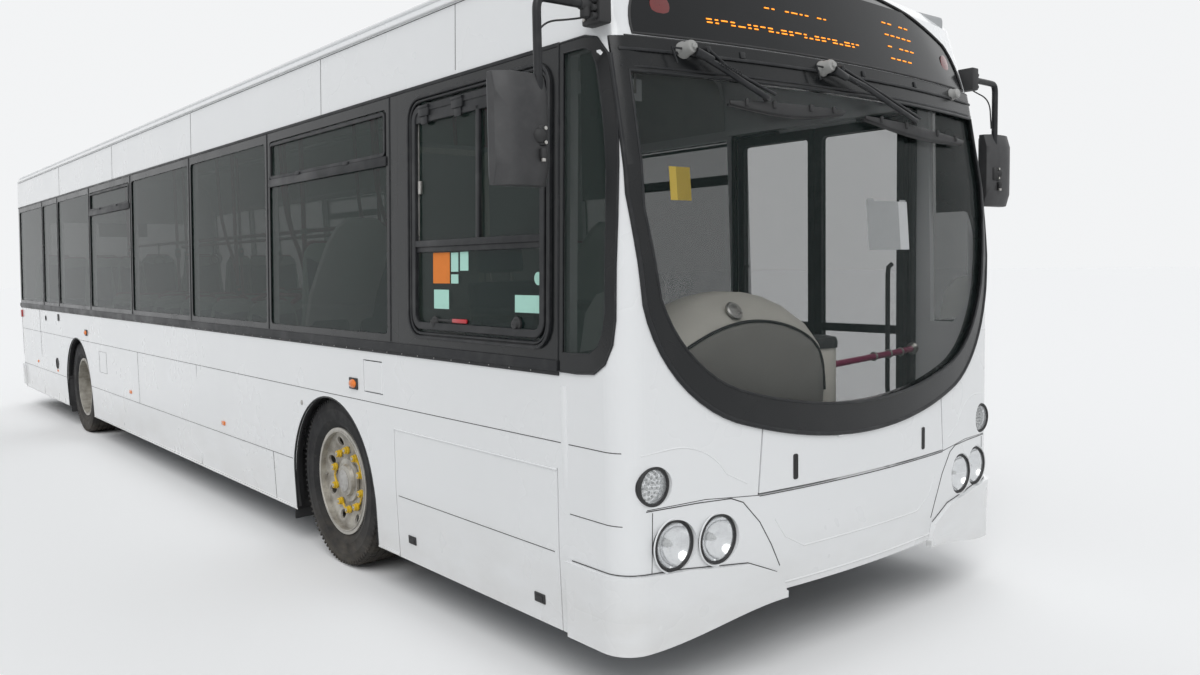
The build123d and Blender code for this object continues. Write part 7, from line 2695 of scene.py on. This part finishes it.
# Entrance leaves: name and body, and limits along the bus
LEAVES = [("front_door", -5.385, -4.794), ("rear_door", -4.786, -4.195)]
LEAF_X = 1.1382
LEAF_LOW_Z = 0.348
LEAF_TOP_Z = 2.407


class BUS_OT_entrance_doors(Operator):
    """Glazed door leaves with frames, rubber edges and handles, and the doorway's surround and step edge"""

    bl_idname = "bus.entrance_doors"
    bl_label = "Entrance doors"

    def execute(self, context):
        for name, y0, y1 in LEAVES:
            middle = (y0 + y1) / 2
            frame_parts = []
            ring = add_frame_between(round_rect(y0, y1, LEAF_LOW_Z, LEAF_TOP_Z, 0.012),
                                     round_rect(y0 + 0.046, y1 - 0.046, LEAF_LOW_Z + 0.052,
                                                LEAF_TOP_Z - 0.052, 0.030),
                                     -0.0175, 0.0175, 0.003)
            bar = add_block((y0 + 0.045, 1.242, -0.015), (y1 - 0.045, 1.288, 0.015), 0.004)
            bead = add_frame_ring(y0 + 0.040, y1 - 0.040, LEAF_LOW_Z + 0.046, LEAF_TOP_Z - 0.046, 0.010,
                                  0.0165, 0.0178, 0.03, 0.0)
            for part in (ring, bar, bead):
                part = bend_to(part, lambda co: Vector((LEAF_X + co.z, co.x, co.y)))
                frame_parts.append(part)
            for z0, z1 in ((0.331, 0.349), (2.406, 2.424)):
                frame_parts.append(add_rod((LEAF_X, middle, z0), (LEAF_X, middle, z1), 0.008, sides=20))
            fit_out(name + "_frame", frame_parts, "trim_black", name, [name + "_leaf"])
            panes = []
            for z0, z1 in ((LEAF_LOW_Z + 0.046, 1.246), (1.284, LEAF_TOP_Z - 0.046)):
                panes.append(add_block((LEAF_X - 0.004, y0 + 0.044, z0), (LEAF_X + 0.004, y1 - 0.044, z1),
                                       0.001, 1))
            fit_out(name + "_glass", panes, "door_tint", name)
            rubber = []
            edge_y = y1 if name == "front_door" else y0
            rubber.append(add_block((LEAF_X - 0.012, edge_y - 0.003, LEAF_LOW_Z + 0.01),
                                    (LEAF_X + 0.012, edge_y + 0.003, LEAF_TOP_Z - 0.01), 0.0025))
            rubber.append(add_block((LEAF_X - 0.014, y0 + 0.02, LEAF_LOW_Z - 0.003),
                                    (LEAF_X + 0.014, y1 - 0.02, LEAF_LOW_Z + 0.010), 0.002))
            fit_out(name + "_rubbers", rubber, "soft_black", name)
            grip_y = y0 + 0.075 if name == "front_door" else y1 - 0.075
            grip = add_bead([(LEAF_X - 0.016, grip_y, 0.900), (LEAF_X - 0.044, grip_y, 0.915),
                             (LEAF_X - 0.050, grip_y, 0.960), (LEAF_X - 0.050, grip_y, 1.560),
                             (LEAF_X - 0.044, grip_y, 1.605), (LEAF_X - 0.016, grip_y, 1.620)], 0.0125,
                            sides=4)
            fit_out(name + "_handle", [grip], "soft_black", name, shade=50.0)
        surround = [side_block(1, -5.452, -5.394, 0.330, 2.466, -0.001, 0.005, 0.002),
                    side_block(1, -4.186, -4.150, 0.330, 2.466, -0.001, 0.005, 0.002),
                    side_block(1, -5.396, -4.184, 2.402, 2.466, -0.001, 0.006, 0.002)]
        for edge_y, over in ((-5.397, 0.045), (-4.183, -0.045)):
            near_y, far_y = sorted((edge_y, edge_y + over))
            surround.append(add_block((1.162, near_y, 0.340), (1.167, far_y, 2.405)))
            surround.append(add_block((1.163, edge_y - 0.003, 0.340), (1.205, edge_y + 0.003, 2.405)))
        fit_out("doorway_surround", surround, "trim_black")
        step = [add_block((1.060, -5.386, 0.3252), (1.196, -4.194, 0.3290), 0.001, 1)]
        for index in range(5):
            step.append(add_block((1.070 + 0.026 * index, -5.380, 0.3285),
                                  (1.082 + 0.026 * index, -4.200, 0.3302), 0.0006, 1))
        fit_out("doorstep_edge", step, "step_yellow")
        return {"FINISHED"}


# Back, roof and underside

REAR_LAMPS = [(1.120, "amber_lens"), (0.980, "red_lens"), (0.840, "red_lens"), (0.700, "clear_lens")]
REAR_LAMP_X = 1.120
COVER_HALF = 0.800
REAR_WINDOW = (-0.900, 0.900, 1.520, 2.330)
PLATE_FACE_Y = 5.955
POD_Y = (-0.100, 2.050)
POD_HALF = 0.800
POD_TOP_Z = 3.080
POD_CHAMFER = 0.050
HATCH_YS = (-2.650, 3.850)


def at_tail(piece, out=0.0):
    """Turn a piece drawn in x and height so that it lies on the flat of the back."""
    return bend_to(piece, lambda co: Vector((co.x, TAIL_Y + out + co.z, co.y)))


def roof_z(x):
    """Height of the roof over a place across the bus."""
    rows = [(HALF_WIDTH - row[1], row[0]) for row in BODY_ROWS[7:]]
    for (wide, low), (narrow, high) in zip(rows, rows[1:]):
        if narrow <= abs(x) <= wide:
            return high + (low - high) * (abs(x) - narrow) / (wide - narrow)
    return rows[-1][1]


class BUS_OT_rear_lights(Operator):
    """Round rear lamps in bezels, reflectors and the high-level lamp"""

    bl_idname = "bus.rear_lights"
    bl_label = "Rear lights"

    def execute(self, context):
        bezels = []
        lenses = {"amber_lens": [], "red_lens": [], "clear_lens": []}
        for side in (-1, 1):
            for height, kind in REAR_LAMPS:
                place = (side * REAR_LAMP_X, TAIL_Y, height)
                ring = add_turned([(0.048, 0.004), (0.049, 0.015), (0.053, 0.018), (0.057, 0.014),
                                   (0.057, 0.0005)], 40)
                bezels.append(turned_to(ring, place, (0.0, 1.0, 0.0)))
                lens = add_turned([(0.049, 0.003), (0.049, 0.011), (0.044, 0.016), (0.034, 0.0190),
                                   (0.033, 0.0180),
                                   (0.024, 0.0205), (0.023, 0.0195), (0.012, 0.0215), (0.001, 0.0220)], 40)
                lenses[kind].append(turned_to(lens, place, (0.0, 1.0, 0.0)))
            lenses["red_lens"].append(at_tail(add_block((side * 0.95 - 0.075, 0.430, 0.0215),
                                                        (side * 0.95 + 0.075, 0.475, 0.030), 0.003)))
            bezels.append(at_tail(add_block((side * 0.95 - 0.082, 0.423, 0.0205),
                                            (side * 0.95 + 0.082, 0.482, 0.026), 0.003)))
        lenses["red_lens"].append(at_tail(add_block((-0.150, 2.405, -0.004), (0.150, 2.435, 0.010), 0.004)))
        bezels.append(at_tail(add_block((-0.160, 2.395, -0.004), (0.160, 2.445, 0.005), 0.004)))
        fit_out("rear_lamp_bezels", bezels, "soft_black", replaces=["rear_lamps"])
        fit_out("rear_lamps_amber", lenses["amber_lens"], "amber_lens")
        fit_out("rear_lamps_red", lenses["red_lens"], "red_lens")
        fit_out("rear_lamps_clear", lenses["clear_lens"], "clear_lens")
        return {"FINISHED"}


class BUS_OT_engine_louvres(Operator):
    """Louvres, latches and lift handle of the engine cover"""

    bl_idname = "bus.engine_louvres"
    bl_label = "Engine cover louvres"

    def execute(self, context):
        slats = []
        for x0, x1, z0, count in ((-0.72, 0.72, 0.600, 9), (-0.72, -0.12, 0.960, 7)):
            for index in range(count):
                z = z0 + 0.030 * index
                slat = add_block((x0, z, 0.0), (x1, z + 0.006, 0.016), 0.002, 1)
                for vertex in slat.data.vertices:
                    if vertex.co.z > 0.008:
                        vertex.co.y -= 0.012
                slats.append(at_tail(slat, 0.0005))
            top = z0 + 0.030 * count - 0.012
            slats.append(at_tail(add_frame_ring(x0 - 0.018, x1 + 0.018, z0 - 0.028, top + 0.012, 0.016, 0.0,
                                                0.010, 0.020, 0.002)))
            for x in [x0 + (x1 - x0) * share / 4 for share in (1, 2, 3)]:
                slats.append(at_tail(add_block((x - 0.006, z0 - 0.02, 0.0005), (x + 0.006, top, 0.009),
                                               0.001, 1)))
        fit_out("engine_cover_louvres", slats, "coach_white", "engine_lid")
        backs = []
        for x0, x1, z0, z1 in ((-0.72, 0.72, 0.590, 0.862), (-0.72, -0.12, 0.950, 1.160)):
            backs.append(at_tail(add_block((x0, z0, 0.0), (x1, z1, 0.0015), 0.0005, 1)))
        fit_out("engine_cover_grille_backs", backs, "slot_black", "engine_lid")
        latches = []
        for x in (-0.60, 0.60):
            latches.append(turned_to(add_turned([(0.026, 0.0), (0.026, 0.004), (0.022, 0.007), (0.010, 0.007),
                                                 (0.010, 0.003), (0.001, 0.003)], 28), (x, TAIL_Y, 0.905),
                                     (0, 1, 0)))
        latches.append(at_tail(add_frame_ring(0.16, 0.36, 0.965, 1.045, 0.012, 0.0, 0.008, 0.015, 0.002)))
        latches.append(add_bead([(0.19, TAIL_Y + 0.002, 1.005), (0.20, TAIL_Y + 0.024, 1.005),
                                 (0.32, TAIL_Y + 0.024, 1.005),
                                 (0.33, TAIL_Y + 0.002, 1.005)], 0.007, sides=3))
        fit_out("engine_cover_latches", latches, "soft_black", "engine_lid")
        return {"FINISHED"}


class BUS_OT_back_trim(Operator):
    """Rear window seal, joints, blank plate with its lamps, blank sign, exhaust tail and towing eyes"""

    bl_idname = "bus.back_trim"
    bl_label = "Back trim"

    def execute(self, context):
        x0, x1, z0, z1 = REAR_WINDOW
        seal = add_frame_between(round_rect(x0 - 0.016, x1 + 0.016, z0 - 0.016, z1 + 0.016, 0.070),
                                 round_rect(x0 + 0.030, x1 - 0.030, z0 + 0.030, z1 - 0.030, 0.055), -0.004,
                                 0.006)
        pieces = [at_tail(seal, -0.0015)]
        for z in (1.400, 2.500):
            pieces.append(add_rod((-1.165, TAIL_Y - 0.0005, z), (1.165, TAIL_Y - 0.0005, z), 0.0022, sides=8))
        for x in (-0.960, 0.960):
            pieces.append(add_rod((x, TAIL_Y - 0.0005, 0.525), (x, TAIL_Y - 0.0005, 1.400), 0.0022, sides=8))
        pieces.append(at_tail(add_frame_ring(-COVER_HALF - 0.006, COVER_HALF + 0.006, 0.538, 1.306, 0.005,
                                             -0.004, 0.0012, 0.010, 0.0)))
        for x in (-0.62, 0.62):
            pieces.append(at_tail(add_block((x - 0.05, 0.290, 0.018), (x + 0.05, 0.370, 0.0275), 0.006)))
        step = at_tail(add_block((-0.52, 0.5205, -0.010), (0.52, 0.5240, 0.022), 0.001, 1))
        pieces.append(step)
        fit_out("back_seals", pieces, "soft_black")
        plate = [bend_to(add_block((-0.260, 0.335, 0.0), (0.260, 0.445, 0.003), 0.0012),
                         lambda co: Vector((co.x, PLATE_FACE_Y + co.z, co.y)))]
        fit_out("blank_rear_plate", plate, "notice_yellow")
        lamps = []
        for x in (-0.17, 0.17):
            lamps.append(add_block((x - 0.035, PLATE_FACE_Y - 0.002, 0.450),
                                   (x + 0.035, PLATE_FACE_Y + 0.014, 0.468), 0.004))
        for x in (-0.2, 0.2):
            lamps.append(turned_to(add_turned([(0.008, 0.0), (0.007, 0.003), (0.001, 0.004)], 12),
                                   (x, PLATE_FACE_Y + 0.003, 0.390), (0, 1, 0)))
        fit_out("plate_lamps", lamps, "soft_black")
        pipe = [add_bead([(-0.62, 5.100, 0.330), (-0.80, 5.350, 0.310), (-0.86, 5.560, 0.290),
                          (-0.86, 5.900, 0.285)], 0.038,
                         sides=6, smoothly=True),
                add_torus((-0.86, 5.902, 0.285), (math.radians(90), 0, 0), 0.038, 0.004, 32, 8)]
        for x in (-0.45, 0.45):
            pipe.append(add_rod((x, 5.700, 0.285), (x, 5.880, 0.285), 0.020, sides=16))
            eye = add_torus((x, 5.905, 0.285), (0.0, math.radians(90), 0.0), 0.030, 0.011, 28, 10)
            pipe.append(eye)
        fit_out("exhaust_and_towing_eyes", pipe, "axle_iron")
        number = [at_tail(add_block((-0.30, 2.120, -0.075), (0.30, 2.300, -0.045), 0.006))]
        fit_out("blank_rear_sign", number, "slot_black")
        return {"FINISHED"}


class BUS_OT_roof_fittings(Operator):
    """Roof seams, gutters, hatches, and the grilles and screws of the roof pod"""

    bl_idname = "bus.roof_fittings"
    bl_label = "Roof fittings"

    def execute(self, context):
        seams = []
        for index in range(8):
            y = -4.700 + 1.360 * index
            if POD_Y[0] - 0.05 < y < POD_Y[1] + 0.05:
                spans = ((-1.170, -POD_HALF - 0.02), (POD_HALF + 0.02, 1.170))
            else:
                spans = ((-1.170, 1.170), )
            for a, b in spans:
                count = max(3, int((b - a) / 0.12))
                points = [(a + (b - a) * step / count, y, roof_z(a + (b - a) * step / count) + 0.0005)
                          for step in range(count + 1)]
                seams.append(add_bead(points, 0.004, sides=1))
        fit_out("roof_seams", seams, "rim_edge", shade=60.0)
        gutters = []
        for side in (-1, 1):
            points = [on_side(side, -5.350 + 0.7 * step, 2.842, 0.002) for step in range(17)]
            gutters.append(add_bead(points, 0.010, sides=3))
        hatches = []
        for y in HATCH_YS:
            for inset, low, high in ((0.0, 0.0, 0.020), (0.030, 0.020, 0.052)):
                lid = add_block((-0.37 + inset, y - 0.37 + inset, roof_z(0) + low - 0.03 * (inset == 0.0)),
                                (0.37 - inset, y + 0.37 - inset, roof_z(0) + high), 0.010, 3)
                hatches.append(lid)
            for x in (-0.20, 0.0, 0.20):
                hatches.append(add_block((x - 0.012, y - 0.28, roof_z(0) + 0.050),
                                         (x + 0.012, y + 0.28, roof_z(0) + 0.058), 0.003))
            for x in (-0.25, 0.25):
                hatches.append(add_rod((x - 0.04, y + 0.352, roof_z(0) + 0.034),
                                       (x + 0.04, y + 0.352, roof_z(0) + 0.034), 0.012, edge=0.002))
        fit_out("roof_gutters", gutters, "coach_white", shade=60.0)
        fit_out("roof_hatches", hatches, "lining_pale")
        grilles = []
        for side in (-1, 1):
            for index in range(18):
                y = POD_Y[0] + 0.260 + 0.060 * index
                low = add_block((side * (POD_HALF - 0.001) - 0.006, y, roof_z(POD_HALF) + 0.012),
                                (side * (POD_HALF - 0.001) + 0.006, y + 0.022,
                                 POD_TOP_Z - POD_CHAMFER - 0.006), 0.002, 1)
                grilles.append(low)
        for fan_y in (0.480, 1.450):
            for radius in (0.085, 0.135, 0.185, 0.235):
                grilles.append(add_torus((0.0, fan_y, POD_TOP_Z + 0.003), (0, 0, 0), radius, 0.004, 48, 6))
            for turn in range(8):
                spoke = add_rod((0.02, 0.0, 0.003), (0.250, 0.0, 0.003), 0.004, sides=8)
                spoke.data.transform(Matrix.Translation((0.0, fan_y, POD_TOP_Z))
                                     @ Matrix.Rotation(math.pi * turn / 4, 4, "Z"))
                grilles.append(spoke)
            grilles.append(add_turned([(0.265, 0.0), (0.265, 0.010), (0.252, 0.014), (0.245, 0.0005)], 56))
            shift(grilles[-1], (0.0, fan_y, POD_TOP_Z))
            grilles.append(add_turned([(0.040, 0.0), (0.040, 0.008), (0.030, 0.012), (0.001, 0.012)], 24))
            shift(grilles[-1], (0.0, fan_y, POD_TOP_Z))
        fit_out("roof_pod_grilles", grilles, "soft_black")
        screws = []
        for side in (-1, 1):
            for index in range(9):
                y = POD_Y[0] + 0.10 + 0.243 * index
                screws.append(add_turned([(0.010, -0.001), (0.009, 0.002), (0.004, 0.003), (0.001, 0.003)],
                                         10))
                shift(screws[-1], (side * (POD_HALF - POD_CHAMFER - 0.03), y, POD_TOP_Z))
        fit_out("roof_pod_screws", screws, "worn_steel")
        return {"FINISHED"}


class BUS_OT_arch_liners(Operator):
    """Black liners inside the edges of the wheel arches"""

    bl_idname = "bus.arch_liners"
    bl_label = "Arch liners"

    def execute(self, context):
        liners = []
        for side in (-1, 1):
            for axle_y, radius in ((FRONT_AXLE_Y, FRONT_ARCH_R), (REAR_AXLE_Y, REAR_ARCH_R)):
                band = add_turned([(radius - 0.0015, 1.224), (radius - 0.0015, 1.2375),
                                   (radius - 0.0003, 1.2375),
                                   (radius - 0.0003, 1.224), (radius - 0.0015, 1.224)], 96)
                turned_to(band, (0.0, axle_y, ARCH_Z), (side, 0.0, 0.0))
                pick(band)
                bpy.ops.object.mode_set(mode="EDIT")
                bpy.ops.mesh.select_all(action="SELECT")
                bpy.ops.mesh.bisect(plane_co=(0.0, 0.0, 0.245), plane_no=(0.0, 0.0, 1.0), clear_inner=True)
                bpy.ops.object.mode_set(mode="OBJECT")
                liners.append(band)
        fit_out("arch_liners", liners, "soft_black")
        return {"FINISHED"}


class BUS_OT_underside(Operator):
    """Air tanks, pipe runs and propeller shaft under the floor"""

    bl_idname = "bus.underside"
    bl_label = "Underside"

    def execute(self, context):
        tanks = []
        for y in (-1.900, -0.900, 0.100):
            tank = add_turned([(0.001, -0.330), (0.050, -0.326), (0.082, -0.300), (0.085, -0.270),
                               (0.085, 0.270), (0.082, 0.300), (0.050, 0.326), (0.001, 0.330)], 32)
            tanks.append(turned_to(tank, (-0.72, y, 0.225), (0, 1, 0)))
            for offset in (-0.18, 0.18):
                tanks.append(add_torus((-0.72, y + offset, 0.225), (math.radians(90), 0, 0), 0.087, 0.004,
                                       32, 6))
        shaft = add_rod((0.0, 3.140, 0.400), (0.0, 4.640, 0.430), 0.040)
        tanks.append(shaft)
        for y, z in ((3.200, 0.401), (4.560, 0.428)):
            tanks.append(add_torus((0.0, y, z), (math.radians(90), 0, 0), 0.042, 0.012, 24, 8))
        fit_out("air_tanks", tanks, "chassis_black")
        pipes = []
        for x in (-0.300, -0.330, -0.360, 0.300, 0.330):
            pipes.append(add_bead([(x, -2.700, 0.262), (x, -0.500, 0.262), (x, 1.900, 0.262)], 0.007,
                                  sides=1))
        fit_out("pipe_runs", pipes, "soft_black")
        return {"FINISHED"}


OPERATORS = [cls for cls in Operator.__subclasses__() if cls.__name__.startswith("BUS_OT_")]


class BUS_PT_dresser(Panel):
    """Lists the pieces of the bus"""

    bl_idname = "BUS_PT_dresser"
    bl_label = "City Bus"
    bl_space_type = "VIEW_3D"
    bl_region_type = "UI"
    bl_category = "City Bus"

    def draw(self, context):
        column = self.layout.column(align=True)
        for operator in OPERATORS:
            column.operator(operator.bl_idname)
        for name in BusColours.__annotations__:
            column.prop(context.scene.bus_colours, name)
        for name in BusSizes.__annotations__:
            column.prop(context.scene.bus_sizes, name)


def register():
    """Register the properties, operators and panel."""
    for cls in [BusColours, BusSizes, *OPERATORS, BUS_PT_dresser]:
        bpy.utils.register_class(cls)
    bpy.types.Scene.bus_colours = bpy.props.PointerProperty(type=BusColours)
    bpy.types.Scene.bus_sizes = bpy.props.PointerProperty(type=BusSizes)


def unregister():
    """Take the properties, operators and panel out again."""
    del bpy.types.Scene.bus_sizes
    del bpy.types.Scene.bus_colours
    for cls in reversed([BusColours, BusSizes, *OPERATORS, BUS_PT_dresser]):
        bpy.utils.unregister_class(cls)


def main():
    """Dress the bus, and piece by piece."""
    register()
    for operator in OPERATORS:
        getattr(bpy.ops.bus, operator.bl_idname.split(".")[1])()
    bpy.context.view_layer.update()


if __name__ == "__main__":
    main()
